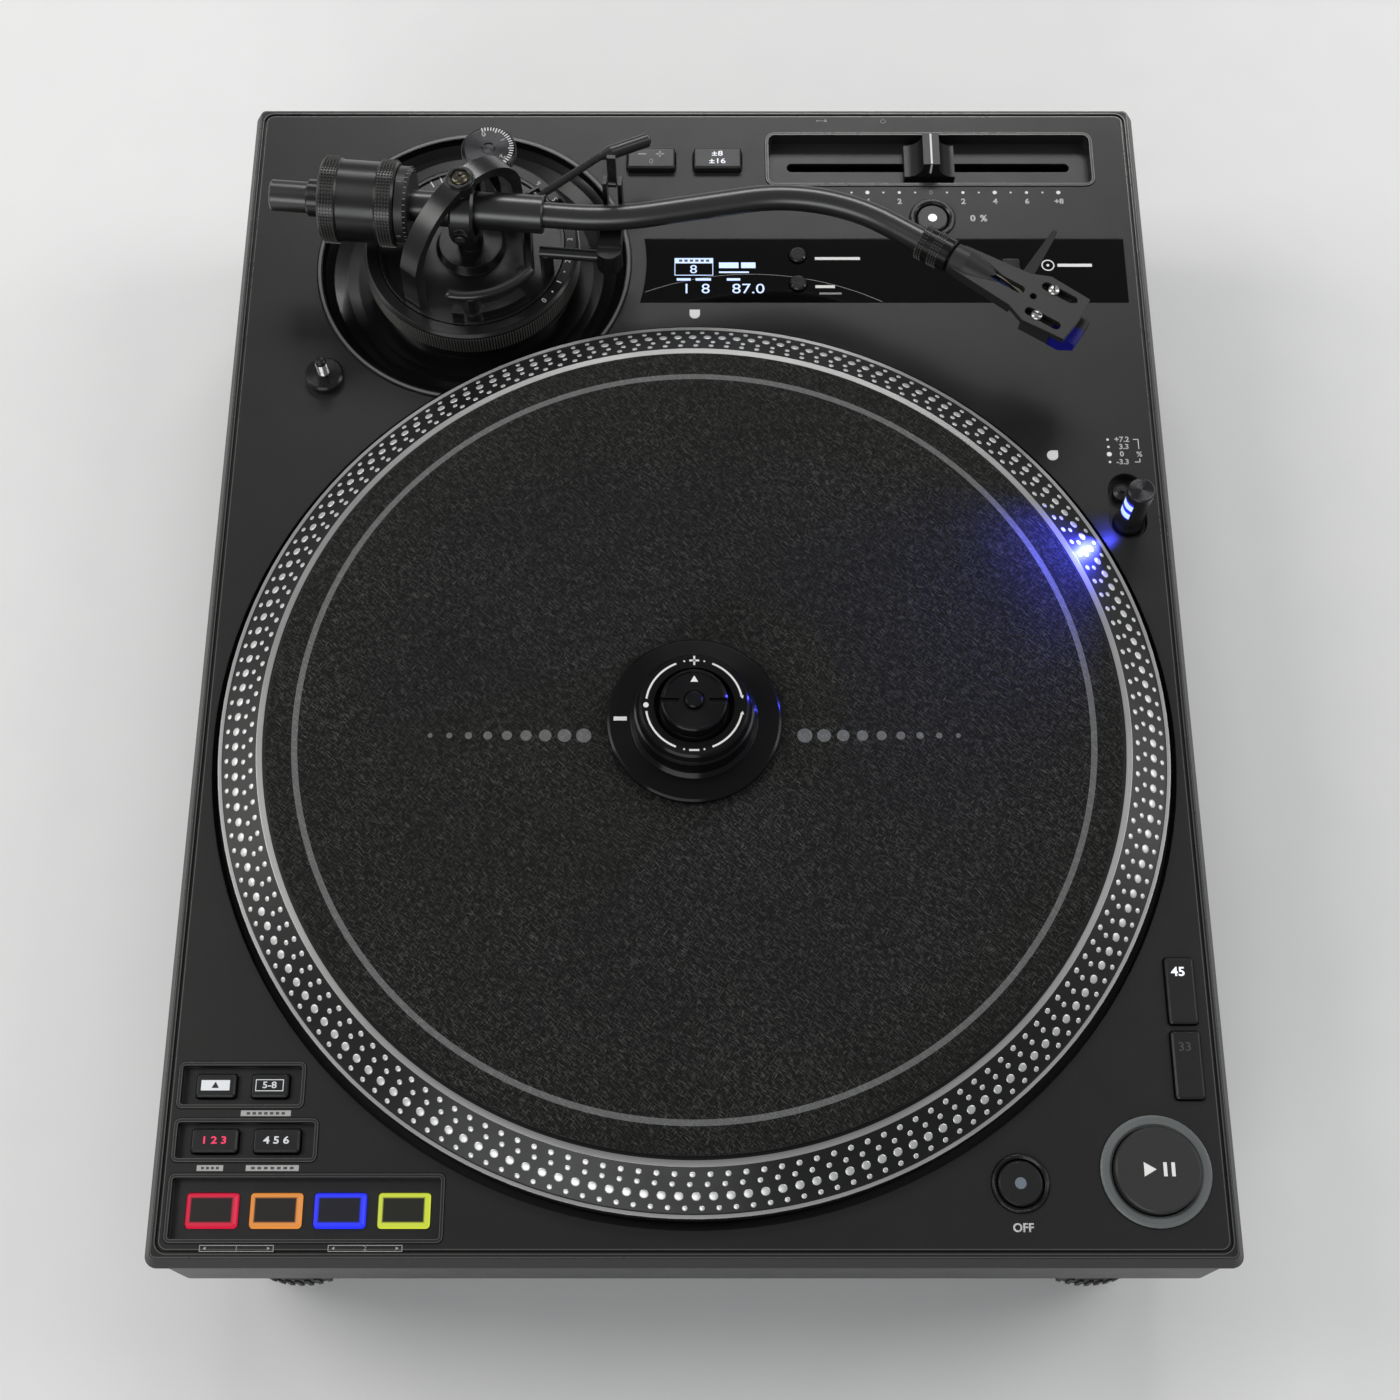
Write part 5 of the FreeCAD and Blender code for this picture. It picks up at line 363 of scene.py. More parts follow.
def lathe_group():
    """Lathe finish: fine rings about the mapped Z axis, with a slow drift of tone along them."""
    group, given, made = new_group("lathe_rings", ("Colour", "Roughness", "Normal"), Vector=(0, 0, 0),
                                   Colour=(0.5, 0.5, 0.5, 1), Roughness=0.3, Pitch=0.0003, Depth=0.2,
                                   Edge=0.0003)
    reach = maths(group, "ADD", *polar(group, given["Vector"]))
    cut = wired(group, "TexNoise", W=reach, Scale=maths(group, "DIVIDE", 1.0, given["Pitch"]), Detail=2.0,
                sets={"noise_dimensions": "1D"})["Fac"]
    drift = ranged(group, noise(group, given["Vector"], 40.0), 0.3, 0.7, -0.04, 0.06)
    shade = vectors(group, "SCALE", given["Colour"], Scale=ranged(group, cut, 0.3, 0.7, 0.8, 1.0))["Vector"]
    plug(group, made, Colour=shade, Roughness=maths(group, "ADD", drift, given["Roughness"]),
         Normal=bumped(group, given, cut, 0.0001))
    return group


LATHE = lathe_group()


def about(tree, centre, turn=(0.0, 0.0, 0.0)):
    """Object coordinates measured from a centre, turned so that Z is the axis of the lathe."""
    return wired(tree, "Mapping", Vector=here(tree), Location=centre * MM,
                 Rotation=turn, sets={"vector_type": "TEXTURE"})["Vector"]


def stretch_gloss(tree, shader, centre, turn=(0.0, 0.0, 0.0), amount=0.75):
    """Gloss that stretches across the fine rings of a lathe, as on turned metal."""
    out = vectors(tree, "SUBTRACT", here(tree), centre * MM)[0]
    along = vectors(tree, "CROSS_PRODUCT", Euler(turn).to_matrix() @ Vector(UP), out)[0]
    tangent = wired(tree, "VectorTransform", along,
                    sets={"vector_type": "VECTOR", "convert_from": "OBJECT", "convert_to": "WORLD"})[0]
    plug(tree, shader, Anisotropic=amount, Anisotropic_Rotation=0.25, Tangent=tangent)


def turned_skin(tree, vector, colour, roughness, pitch, depth):
    return grouped(tree, LATHE, Vector=vector, Colour=(*colour, 1.0), Roughness=roughness, Pitch=pitch * MM,
                   Depth=depth)


def lathed(name, colour, roughness, centre, turn=(0.0, 0.0, 0.0), pitch=0.3, depth=0.25, metallic=1.0,
           **more):
    """Turned metal whose rings run about an axis."""
    mat, tree, shader = plain_material(name, colour, roughness, metallic, **more)
    coat(tree, shader, turned_skin(tree, about(tree, centre, turn), colour, roughness, pitch, depth))
    stretch_gloss(tree, shader, centre, turn)
    return mat


# Black lacquer on the slope and skirt, bare turned metal on the rings: told apart by radius and height.
SPINDLE = Vector((0.0, -46.4, 0.0))
TOP_RING = (150.0 * MM, 1.05 * MM)
TOP_RING_LOW = 110.2 * MM
FOOT_RING_INSIDE = 164.75 * MM
FOOT_RING_LOW = 101.3 * MM
mat, tree, shader = plain_material("platter_black_and_turned", (0.02, 0.02, 0.02), 0.3)
vector = about(tree, SPINDLE)
bright = turned_skin(tree, vector, (0.5, 0.5, 0.49), 0.4, 0.35, 0.12)
dark = turned_skin(tree, vector, (0.006, 0.006, 0.006), 0.36, 0.5, 0.1)
radius, height = polar(tree, vector)
top = maths(tree, "MULTIPLY", maths(tree, "COMPARE", radius, *TOP_RING),
            maths(tree, "GREATER_THAN", height, TOP_RING_LOW))
foot = maths(tree, "MULTIPLY", maths(tree, "GREATER_THAN", radius, FOOT_RING_INSIDE),
             maths(tree, "GREATER_THAN", height, FOOT_RING_LOW))
bare = maths(tree, "MAXIMUM", top, foot)
coat(tree, shader, bright, Base_Color=mixed(tree, bare, dark["Colour"], bright["Colour"]),
     Roughness=mixed(tree, bare, dark["Roughness"], bright["Roughness"], "FLOAT"),
     Metallic=maths(tree, "MULTIPLY", bare, 0.75))
stretch_gloss(tree, shader, SPINDLE, amount=0.55)
dress(mat, "platter")

# Rows of dots from the outside in: share of the slope, dot radius, dots in the row, start past the front.
DOT_ROWS = ((0.121, 0.92, 186, 0.45), (0.374, 1.52, 180, 0.11), (0.626, 0.93, 174, -0.25),
            (0.839, 1.00, 168, -0.1))
SLOPE_LOW = Vector((164.4, 0, 101.5))
SLOPE_RUN = Vector((-13.4, 0, 9.0))
slope_out = Vector((SLOPE_RUN.z, 0, -SLOPE_RUN.x)).normalized()
dot_metal = grained("bright_dot_metal", (0.74, 0.74, 0.73), 0.38, depth=0.06, mottle=0.02, metallic=0.6)
bm = bmesh.new()
for share, radius, count, phase in DOT_ROWS:
    first = len(bm.verts)
    rim = faces_of(disc(bm, 12, radius))
    for inward, proud in ((0.1, 0.15), (0.14, 0.05)):
        bmesh.ops.inset_region(bm, faces=rim, thickness=radius * inward * MM, depth=proud * MM,
                               use_boundary=True)
    made = bm.verts[first:]
    put(bm, made, SLOPE_LOW + SLOPE_RUN * share + slope_out * 0.04, aimed(slope_out))
    put(bm, made, turn=swing(2 * pi * phase / count - pi / 2))
    ring_of(bm, made, count)
put(bm, bm.verts, SPINDLE)
settle("strobe_dots", bm, dot_metal, "platter", groove=50.0)

# Spindle and motor: a hardened steel pin, ground bright, turns in an oil bearing pressed into the case.
# Under the platter a ferrite ring magnet is glued in, and copper coils stand round the bearing.
dress(lathed("ground_steel", (0.62, 0.62, 0.61), 0.2, SPINDLE, pitch=0.4, depth=0.1), "spindle",
      "spindle_bearing")
dress(grained("ferrite_magnet", (0.03, 0.028, 0.027), 0.6, grain=0.6, depth=0.3, mottle=0.12),
      "rotor_magnet")
dress(grained("coil_copper", (0.42, 0.17, 0.07), 0.35, grain=0.25, depth=0.5, metallic=0.8), "motor_stator")


# Slip mat: a disc of pressed synthetic felt with a printed grey ring, loose on the platter.
# Where the maker's words were, it has a plain row of printed dots on each side of the spindle.
def felt_group():
    """Pressed felt: long fibres that lie mostly one way over soft clumps."""
    group, given, made = new_group("pressed_felt", ("Colour", "Normal"), Vector=(0, 0, 0),
                                   Colour=(0.03, 0.03, 0.03, 1), Fibre_Colour=(0.2, 0.2, 0.2, 1), Fuzz=1.0)
    place = given["Vector"]
    every = 0.0
    for angle, stretch in ((2.3, 9.0), (2.6, 7.0), (1.0, 6.0)):
        lean = wired(group, "Mapping", Vector=place, Rotation=(0, 0, angle), Scale=(stretch, 1, 1),
                     sets={"vector_type": "TEXTURE"})["Vector"]
        every = maths(group, "MAXIMUM", every, noise(group, lean, 2600.0, Detail=2.0, Distortion=0.2))
    patch = ranged(group, noise(group, place, 28.0, Detail=4.0), 0.3, 0.7, 0.7, 1.1)
    amount = maths(group, "MULTIPLY", ranged(group, every, 0.57, 0.78), patch)
    height = maths(group, "ADD", every, noise(group, place, 260.0, Detail=5.0, Roughness=0.7))
    plug(group, made, Colour=mixed(group, amount, given["Colour"], given["Fibre Colour"]),
         Normal=wired(group, "Bump", Strength=given["Fuzz"], Distance=0.0004, Height=height)["Normal"])
    return group


FELT = felt_group()
MAT_CLOTH = ((0.01, 0.01, 0.0095, 1), (0.105, 0.105, 0.098, 1))
MAT_PRINT = ((0.13, 0.133, 0.13, 1), (0.26, 0.263, 0.26, 1))
MAT_RING = (137.5 * MM, 1.05 * MM)


def felt_finish(name, tones, ring_tones=None):
    """Felt, with the printed ring told apart by its distance from the spindle."""
    mat, tree, shader = plain_material(name, tones[0][:3], 0.92, Specular_IOR_Level=0.1, Sheen_Weight=0.04)
    vector = about(tree, SPINDLE)
    cloth, ring = [grouped(tree, FELT, Vector=vector, Colour=base, Fibre_Colour=fibre, Fuzz=0.9)
                   for base, fibre in (tones, ring_tones or tones)]
    on_ring = maths(tree, "COMPARE", polar(tree, vector)[0], *MAT_RING)
    plug(tree, shader, Base_Color=mixed(tree, on_ring, cloth["Colour"], ring["Colour"]),
         Normal=cloth["Normal"])
    return mat


def spun(bm, profile, steps=96):
    """Spins a closed (radius, height) profile once round the upright axis at the origin."""
    verts = [bm.verts.new(Vector((radius, 0, height)) * MM) for radius, height in profile]
    edges = [bm.edges.new(pair) for pair in zip(verts, verts[1:] + verts[:1])]
    bmesh.ops.spin(bm, geom=verts + edges, axis=UP, angle=2 * pi, steps=steps, use_merge=True)
    bmesh.ops.remove_doubles(bm, verts=bm.verts, dist=1e-7)
    bmesh.ops.recalc_face_normals(bm, faces=bm.faces)


def letters(bm, words, centre, cap, bold=0.0, turn=0.0, wide=1.0):
    """Adds plain numbers and signs of a cap height, flat on a level face."""
    curve = bpy.data.curves.new("letters", "FONT")
    curve.body = words
    curve.size = cap * MM / 0.7
    curve.align_x = "CENTER"
    curve.align_y = "CENTER"
    curve.offset = bold * MM
    curve.resolution_u = 3
    holder = bpy.data.objects.new("letters", curve)
    flat = bpy.data.meshes.new_from_object(holder)
    bpy.data.objects.remove(holder)
    bpy.data.curves.remove(curve)
    place = Matrix.Translation(Vector((*centre, 0)) * MM) @ Matrix.Rotation(turn, 4, "Z")
    flat.transform(place @ Matrix.Diagonal((wide, 1, 1, 1)))
    bm.from_mesh(flat)
    bpy.data.meshes.remove(flat)


def sweep_line(bm, radius, line, start, end, steps=24):
    """Flat arc of a line width about the origin; angles in degrees."""
    first = len(bm.verts)
    ends = [bm.verts.new(((radius + side * line / 2) * MM, 0, 0)) for side in (-1, 1)]
    edge = bm.edges.new(ends)
    put(bm, ends, turn=swing(radians(start)))
    bmesh.ops.spin(bm, geom=[*ends, edge], axis=UP, angle=radians(end - start), steps=steps)
    bm.verts.ensure_lookup_table()
    return bm.verts[first:]


def face_up(bm, thick):
    """Turns flat shapes face up and gives them their thickness."""
    for face in bm.faces:
        if face.normal.z < 0:
            face.normal_flip()
    bmesh.ops.solidify(bm, geom=bm.faces[:], thickness=thick * MM)


def flat_shape(bm, kind, size):
    """Adds one flat shape about the origin; a bar or a wedge may end with its turn."""
    if kind == "arc":
        return sweep_line(bm, *size)
    if kind in ("dot", "wedge"):
        made = disc(bm, 24 if kind == "dot" else 3, size[0])
        put(bm, made, turn=swing(sum(size[1:])))
        return made
    first = len(bm.verts)
    made = bmesh.ops.create_grid(bm, x_segments=1, y_segments=1, size=0.5)["verts"]
    bmesh.ops.scale(bm, verts=made, vec=(size[0] * MM, size[1] * MM, 1))
    if kind == "bar":
        put(bm, made, turn=swing(sum(size[2:])))
        return made
    if len(size) > 3:
        bmesh.ops.bevel(bm, geom=made, offset=size[3] * MM, affect="VERTICES", segments=6, profile=0.5,
                        material=-1)
        made = bm.verts[first:]
    face = faces_of(made)
    hole = bmesh.ops.inset_region(bm, faces=face, thickness=size[2] * MM, use_boundary=True)["faces"]
    bmesh.ops.delete(bm, geom=face, context="FACES_ONLY")
    return list({v for f in hole for v in f.verts})


def print_on(name, shapes, material, body="chassis", height=DECK_TOP, thick=0.06, shift=(0.0, 0.0)):
    """Screen print or engraving fill: dots, bars, frames, arcs, wedges and plain numbers on a face."""
    bm = bmesh.new()
    for kind, place, *size in shapes:
        if kind == "text":
            letters(bm, size[0], place, *size[1:])
        else:
            put(bm, flat_shape(bm, kind, size), (*place, 0))
    put(bm, bm.verts, (shift[0], shift[1], height + thick * 0.6))
    face_up(bm, thick)
    settle(name, bm, material, body, smooth=False)


MAT_R = 147.8
MAT_LOW = 110.7
MAT_TOP = 112.7
MAT_HOLE_R = 3.9
MAT_SOFT = 0.5
bm = bmesh.new()
spun(bm, [(MAT_HOLE_R, MAT_LOW), (MAT_R - MAT_SOFT, MAT_LOW), (MAT_R, MAT_LOW + MAT_SOFT),
          (MAT_R, MAT_TOP - MAT_SOFT), (MAT_R - MAT_SOFT, MAT_TOP), (MAT_R * 0.8, MAT_TOP),
          (MAT_R * 0.4, MAT_TOP), (MAT_HOLE_R + MAT_SOFT, MAT_TOP), (MAT_HOLE_R, MAT_TOP - MAT_SOFT)],
     steps=256)
put(bm, bm.verts, SPINDLE)
mat_piece = settle("felt_slipmat", bm, felt_finish("slipmat_felt", MAT_CLOTH, MAT_PRINT), "slipmat",
                   groove=60.0)
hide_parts("slipmat")
MAT_DOTS = [("dot", (side * (38 + 6.6 * i), -51.4), 2.6 - 0.22 * i) for side in (-1, 1) for i in range(9)]
print_on("slipmat_printed_dots", MAT_DOTS, felt_finish("slipmat_ink", MAT_PRINT), "slipmat", MAT_TOP, 0.05)

# Plate border: a fine groove is cut round the top plate after the powder coat has been baked on.
# The thin bright lines along its rims and the plate's edge are painted highlights of sharp edges catching
# light.
edge_highlight_paint = grained("painted_edge_highlight", (0.14, 0.14, 0.133), 0.28, grain=0.2, metallic=0.6, edge=0.0)
EDGE_FRAMES = [("frame", (0, 0), 347.7, 447.7, 0.32, 2.0), ("frame", (0, 0), 345.7, 445.7, 0.32, 4.2),
               ("frame", (0, 0), 342.8, 442.8, 0.32, 3.0)]
print_on("plate_border_lines", EDGE_FRAMES, edge_highlight_paint, thick=0.03)


# Clamp: a turned aluminium foot and body, black anodised, that presses a record down on the mat.
# The dial in its well tightens the grip; the printed arcs run from light, marked -, to heavy, marked +.
def ink(name, colour, roughness=0.6):
    return grained(name, colour, roughness, grain=0.25, depth=0.08, mottle=0.02)


dress(lathed("clamp_black_anodise", (0.004, 0.004, 0.0044), 0.22, SPINDLE, pitch=0.5, depth=0.08,
             metallic=0.1, Specular_IOR_Level=0.28), "clamp_base")
dress(lathed("clamp_dial_anodise", (0.007, 0.007, 0.0078), 0.2, SPINDLE, pitch=0.35, depth=0.08,
             metallic=0.2, Specular_IOR_Level=0.3), "clamp_dial")
white_print = ink("white_screen_print", (0.9, 0.9, 0.88), 0.55)
CLAMP_R = 16.3
CLAMP_FOOT_TOP = 115.9
CLAMP_TOP = 128.4
CLAMP_DIAL_TOP = 132.7
CLAMP_MARKS = [("arc", (0, 0), CLAMP_R, 0.7, start, end) for start, end in
               ((112, 172), (12, 68), (-68, -12), (-172, -112))]
CLAMP_MARKS += [
    ("dot", (-CLAMP_R, 0), 0.95), ("wedge", (16.2, 3.0), 0.8, pi + 0.2),
    ("wedge", (16.2, -3.0), 0.8, -0.2), ("bar", (0, CLAMP_R), 3.4, 0.7), ("bar", (0, CLAMP_R), 0.7, 3.4),
    ("bar", (0, -CLAMP_R), 3.4, 0.7),
]
CLAMP_MARKS += [("bar", (x, y), 0.6, 0.6, 0.8) for y in (16.0, -16.0) for x in (-3.4, 3.4)]
print_on("clamp_scale", CLAMP_MARKS, white_print, "clamp", CLAMP_TOP, shift=SPINDLE)
print_on("clamp_index", [("bar", (-25.4, 0), 4.6, 1.5)], white_print, "clamp", CLAMP_FOOT_TOP,
         shift=SPINDLE)
print_on("clamp_dial_pointer", [("wedge", (0, 7.4), 1.55, 0.0)], white_print, "clamp_dial", CLAMP_DIAL_TOP,
         shift=SPINDLE)

# Arm well: a deep dish pressed into the top plate, lacquered gloss black, with a polished raised rim.
# The rim is drawn in a lighter grey than the dish, a painted highlight along it.
# The black height ring in it turns on a coarse thread, and its side is knurled for the fingers.
PIVOT = Vector((-85.4, 151.5, 0.0))
WELL_RIM = (60.0 * MM, 0.5 * MM)
WELL_RIM_LOW = 97.2 * MM
mat, tree, shader = plain_material("arm_well_lacquer", (0.01, 0.01, 0.01), 0.15, Coat_Weight=0.15,
                                   Specular_IOR_Level=0.35, Coat_Roughness=0.06)
vector = about(tree, PIVOT)
dish = turned_skin(tree, vector, (0.005, 0.005, 0.0055), 0.21, 0.6, 0.03)
# Painted highlight: the rim's lighter grey stands in for the light it catches.
rim = turned_skin(tree, vector, (0.16, 0.16, 0.16), 0.3, 0.3, 0.1)
radius, height = polar(tree, vector)
on_rim = maths(tree, "MULTIPLY", maths(tree, "COMPARE", radius, *WELL_RIM),
               maths(tree, "GREATER_THAN", height, WELL_RIM_LOW))
coat(tree, shader, dish, Base_Color=mixed(tree, on_rim, dish["Colour"], rim["Colour"]))
dress(mat, "arm_well")
ring_black = lathed("height_ring_anodise", (0.009, 0.009, 0.0095), 0.28, PIVOT, pitch=0.4, depth=0.08,
                    metallic=0.2)
dress(ring_black, "height_ring")
# Painted highlight: the knurl studs are a lighter grey than the black anodise, to show their glints.
knurl_highlight_paint = grained("knurl_painted_highlight", (0.1, 0.098, 0.09), 0.3, grain=0.2, depth=0.04, mottle=0.02,
                      edge=0.0, metallic=0.5)


def knurl(name, body, radius, heights, count, size, proud, place, axis=UP, metal=knurl_highlight_paint):
    """Knurling: rows of small four-sided studs round an axis."""
    bm = bmesh.new()
    for height in heights:
        stud = bmesh.ops.create_cone(bm, cap_ends=True, segments=4, radius1=size * 0.66 * MM,
                                     radius2=size * 0.3 * MM, depth=proud * 2 * MM)["verts"]
        put(bm, stud, (radius, 0, height), swing(pi / 2, "Y") @ swing(pi / 4))
        ring_of(bm, stud, count)
    put(bm, bm.verts, place, aimed(axis))
    settle(name, bm, metal, body, smooth=False)


RING_R = 41.0
RING_ROWS = [99.3 + 1.05 * row for row in range(8)]
knurl("height_ring_knurl", "height_ring", RING_R, RING_ROWS, count=236, size=0.82, proud=0.45, place=PIVOT)


def polar_place(radius, angle):
    return radius * cos(angle), radius * sin(angle)


RING_NUMBER_R = 37.9
RING_TOP = 109.0
RING_START = radians(-41.0)
RING_STEP = radians(15.0)
ring_marks = [("text", polar_place(RING_NUMBER_R, RING_START + RING_STEP * i), str(i), 2.1, 0.0,
               RING_START + RING_STEP * i + pi / 2) for i in range(7)]
ring_marks += [("dot", polar_place(RING_NUMBER_R, RING_START + RING_STEP * (i + 0.5)), 0.35)
               for i in range(6)]
print_on("height_ring_numbers", ring_marks, white_print, "height_ring", RING_TOP, shift=PIVOT)


# Arm base and arch: the base disc rides up and down with the height ring and carries the bearing.
# Base, arch, rest and lifter are die castings in smooth satin black, fixed with small dark screws.
def turned_piece(name, body, material, profile, place, axis=UP, steps=48):
    bm = bmesh.new()
    spun(bm, profile, steps)
    put(bm, bm.verts, place, aimed(axis))
    settle(name, bm, material, body)


ARCH_TOP = 150.6
BASE_TOP = 108.6
casting_black = grained("arm_casting_black", (0.005, 0.005, 0.0055), 0.25, grain=0.25, mottle=0.015,
                        rub=0.08, Specular_IOR_Level=0.65)
dress(casting_black, "arm_base", "arm_arch", "arm_rest", "rest_clip", "lifter_bar")
dark_brass = grained("dark_brass_screw", (0.13, 0.115, 0.075), 0.28, grain=0.2, depth=0.1, metallic=1.0)
screws("arch_bearing_screw", "arm_base", dark_brass, radius=3.2, rise=1.3,
       heads=[((*PIVOT.xy, ARCH_TOP + 0.25), UP, 0.6)])
turned_piece("arch_screw_collar", "arm_base", ring_black,
             [(3.4, -0.5), (4.9, -0.5), (4.9, 0.5), (4.5, 0.9), (3.8, 0.9), (3.4, 0.5)],
             (*PIVOT.xy, ARCH_TOP))
screws("lifter_height_screw", "arm_base", zinc_screw, radius=2.3, rise=1.2,
       heads=[((-65.3, 140.2, BASE_TOP), UP, 0.3)])
BASE_MARKS = [("bar", (-13.1, 30.6), 0.5, 3.2, 0.39), ("bar", (-16.4, 28.4), 0.5, 3.2, 0.52),
              ("text", (-10.4, 28.3), "1", 2.2, 0.0, 0.3)]
print_on("arm_base_index_lines", BASE_MARKS, white_print, "arm_base", BASE_TOP, shift=PIVOT)

# Anti-skating dial: a turned aluminium knob on its own column, with fine scale lines round its face.
# Turning it tightens a thread and spring that pull the arm outwards.
SKATE_DIAL = Vector((-77.89, 179.93, 0.0))
SKATE_R = 10.3
SKATE_TOP = 131.0
SKATE_ROWS = [127.6 + 0.9 * row for row in range(4)]
SKATE_LINES = 26
dress(lathed("turned_dial_aluminium", (0.04, 0.04, 0.042), 0.24, SKATE_DIAL, pitch=0.22, depth=0.2),
      "antiskate_dial")
knurl("antiskate_knurl", "antiskate_dial", SKATE_R, SKATE_ROWS, count=64, size=0.7, proud=0.18,
      place=SKATE_DIAL)
skate_marks = []
for line in range(SKATE_LINES):
    angle = radians(-72 + 180 * line / (SKATE_LINES - 1))
    long_line = 2.2 if line % 5 == 0 else 1.6
    skate_marks.append(("bar", polar_place(9.6 - long_line / 2, angle), long_line, 0.42, angle))
for number, degrees in enumerate((108, 36, -36)):
    angle = radians(degrees)
    skate_marks.append(("text", polar_place(6.6, angle), str(number), 2.1, 0.05, angle - pi / 2))
print_on("antiskate_scale", skate_marks, white_print, "antiskate_dial", SKATE_TOP, 0.05, SKATE_DIAL)


# Tone arm: an S-shaped aluminium tube in a ring of ball bearings, with a satin black anodised skin.
# Behind the bearing, the counterweight screws along a rubber-bushed shaft between two knurled bands.
def heading(degrees):
    """Level direction, the direction to its left, and the turn that lays an upright axis along it."""
    angle = radians(degrees)
    ahead = Vector((*polar_place(1.0, angle), 0.0))
    return ahead, Vector((-ahead.y, ahead.x, 0.0)), (0.0, pi / 2, angle)


ARM_AXIS, ARM_LEFT, ARM_TURN = heading(-5)
ARM_CENTRE = PIVOT + Vector((0, 0, 132.0))
FORCE_DIAL_R = 14.0
FORCE_NUMBERS_BACK = 22.9
FORCE_LINES_BACK = 20.6
WEIGHT_R = 15.5
arm_anodise = grained("arm_satin_anodise", (0.0075, 0.0073, 0.0064), 0.31, grain=0.2, depth=0.03,
                      mottle=0.015, rub=0.06, Specular_IOR_Level=1.0)
dress(arm_anodise, "arm_hub", "arm_tube")
dress(casting_black, "gimbal_hoop")
dress(lathed("counterweight_coat", (0.012, 0.012, 0.0118), 0.32, ARM_CENTRE, turn=ARM_TURN, pitch=0.25,
             depth=0.08, metallic=0.3, Specular_IOR_Level=0.9), "counterweight")
dress(grained("bush_rubber", (0.012, 0.012, 0.012), 0.75, grain=0.5, depth=0.3), "weight_bush")
WEIGHT_ROWS = [start + 1.1 * row for start in (26.0, 47.0) for row in range(5)]
knurl("counterweight_knurl", "counterweight", WEIGHT_R, WEIGHT_ROWS, count=76, size=1.05, proud=0.5,
      place=ARM_CENTRE, axis=-ARM_AXIS)

# Force dial: a thin black ring that slips on the front of the counterweight and reads the stylus force.
# Its grey lines and numbers are printed round the rim.
dress(grained("force_dial_black", (0.014, 0.014, 0.0145), 0.4, grain=0.25, depth=0.06, mottle=0.02),
      "force_dial")
grey_print = ink("grey_screen_print", (0.3, 0.3, 0.295))
bm = bmesh.new()
for number in range(4):
    first = len(bm.verts)
    letters(bm, str(number), (0, 0), 1.7)
    bm.verts.ensure_lookup_table()
    made = bm.verts[first:]
    put(bm, made, (FORCE_DIAL_R + 0.08, 0, FORCE_NUMBERS_BACK), swing(pi / 2) @ swing(pi / 2, "X"))
    put(bm, made, turn=swing(pi / 2 * number))
bmesh.ops.solidify(bm, geom=bm.faces[:], thickness=0.05 * MM)
ring_of(bm, block(bm, (0.1, 0.25, 1.0), (FORCE_DIAL_R, 0, FORCE_LINES_BACK)), 40)
put(bm, bm.verts, ARM_CENTRE, aimed(-ARM_AXIS))
settle("force_dial_scale", bm, grey_print, "force_dial", smooth=False)

# Bearing screws: two small steel cone screws that carry the arm in its ring from both sides.
# A slot in each head sets their play.
HOOP_R = 13.9
screws("gimbal_screws", "gimbal", zinc_screw, radius=2.2, rise=0.6,
       heads=[(ARM_CENTRE + ARM_LEFT * side * HOOP_R, ARM_LEFT * side, 0.0) for side in (-1, 1)], slots=1)

# Collar: a turned and knurled aluminium nut, loose on the end of the tube.
# Its inner groove takes the pin of the head shell's plug and draws the plug tight.
HEAD_AXIS, HEAD_LEFT, HEAD_TURN = heading(-33)
HEAD_START = Vector((95.39, 130.01, 132.0))
dress(lathed("collar_anodise", (0.009, 0.009, 0.0095), 0.25, HEAD_START, turn=HEAD_TURN, pitch=0.3,
             depth=0.06, metallic=0.4), "collar_nut")
COLLAR_R = 6.3
COLLAR_ROWS = (-12.9, -11.9, -10.9, -7.6, -6.6, -5.6, -4.6)
knurl("collar_knurl", "collar_nut", COLLAR_R, COLLAR_ROWS, count=34, size=0.85, proud=0.28,
      place=HEAD_START, axis=HEAD_AXIS)

# Head shell: a flat casting in matte dark grey, with a finger lift and two slots for the cartridge.
# Two slotted steel screws hold the cartridge up through the slots.
dress(grained("head_shell_coat", (0.01, 0.0098, 0.0092), 0.45, grain=0.35, depth=0.12, mottle=0.03),
      "headshell")
bright_screw = grained("bright_steel_screw", (0.6, 0.6, 0.58), 0.25, grain=0.2, metallic=1.0)


def on_shell(along, left, height):
    """Point on the head shell: along it from the collar, to its left, at a height."""
    place = HEAD_START + HEAD_AXIS * along + HEAD_LEFT * left
    return Vector((*place.xy, height))


SHELL_TOP = 134.45
screws("cartridge_screws", "head_shell", bright_screw, radius=2.2, rise=1.1,
       heads=[(on_shell(38.5, side * 6.35, SHELL_TOP), UP, 0.5 + side) for side in (-1, 1)], slots=1)

# Cartridge: a dark metal body whose four gold pins take the lead wires, with a blue clip-on stylus.
# The stylus is near-black instead of blue on its far side, told apart by the place across the head shell.
STYLUS_BLUE = (0.006, 0.006, 0.2)
STYLUS_FAR = 1.5 * MM
dress(grained("cartridge_body", (0.016, 0.016, 0.018), 0.3, grain=0.2, metallic=0.2), "cartridge")
mat, tree, shader = plain_material("stylus_blue", STYLUS_BLUE, 0.35)
across = vectors(tree, "DOT_PRODUCT", about(tree, HEAD_START), HEAD_LEFT)["Value"]
plug(tree, shader, Base_Color=mixed(tree, maths(tree, "GREATER_THAN", across, STYLUS_FAR), (*STYLUS_BLUE, 1),
                                    (0.01, 0.01, 0.011, 1)))
dress(mat, "stylus")


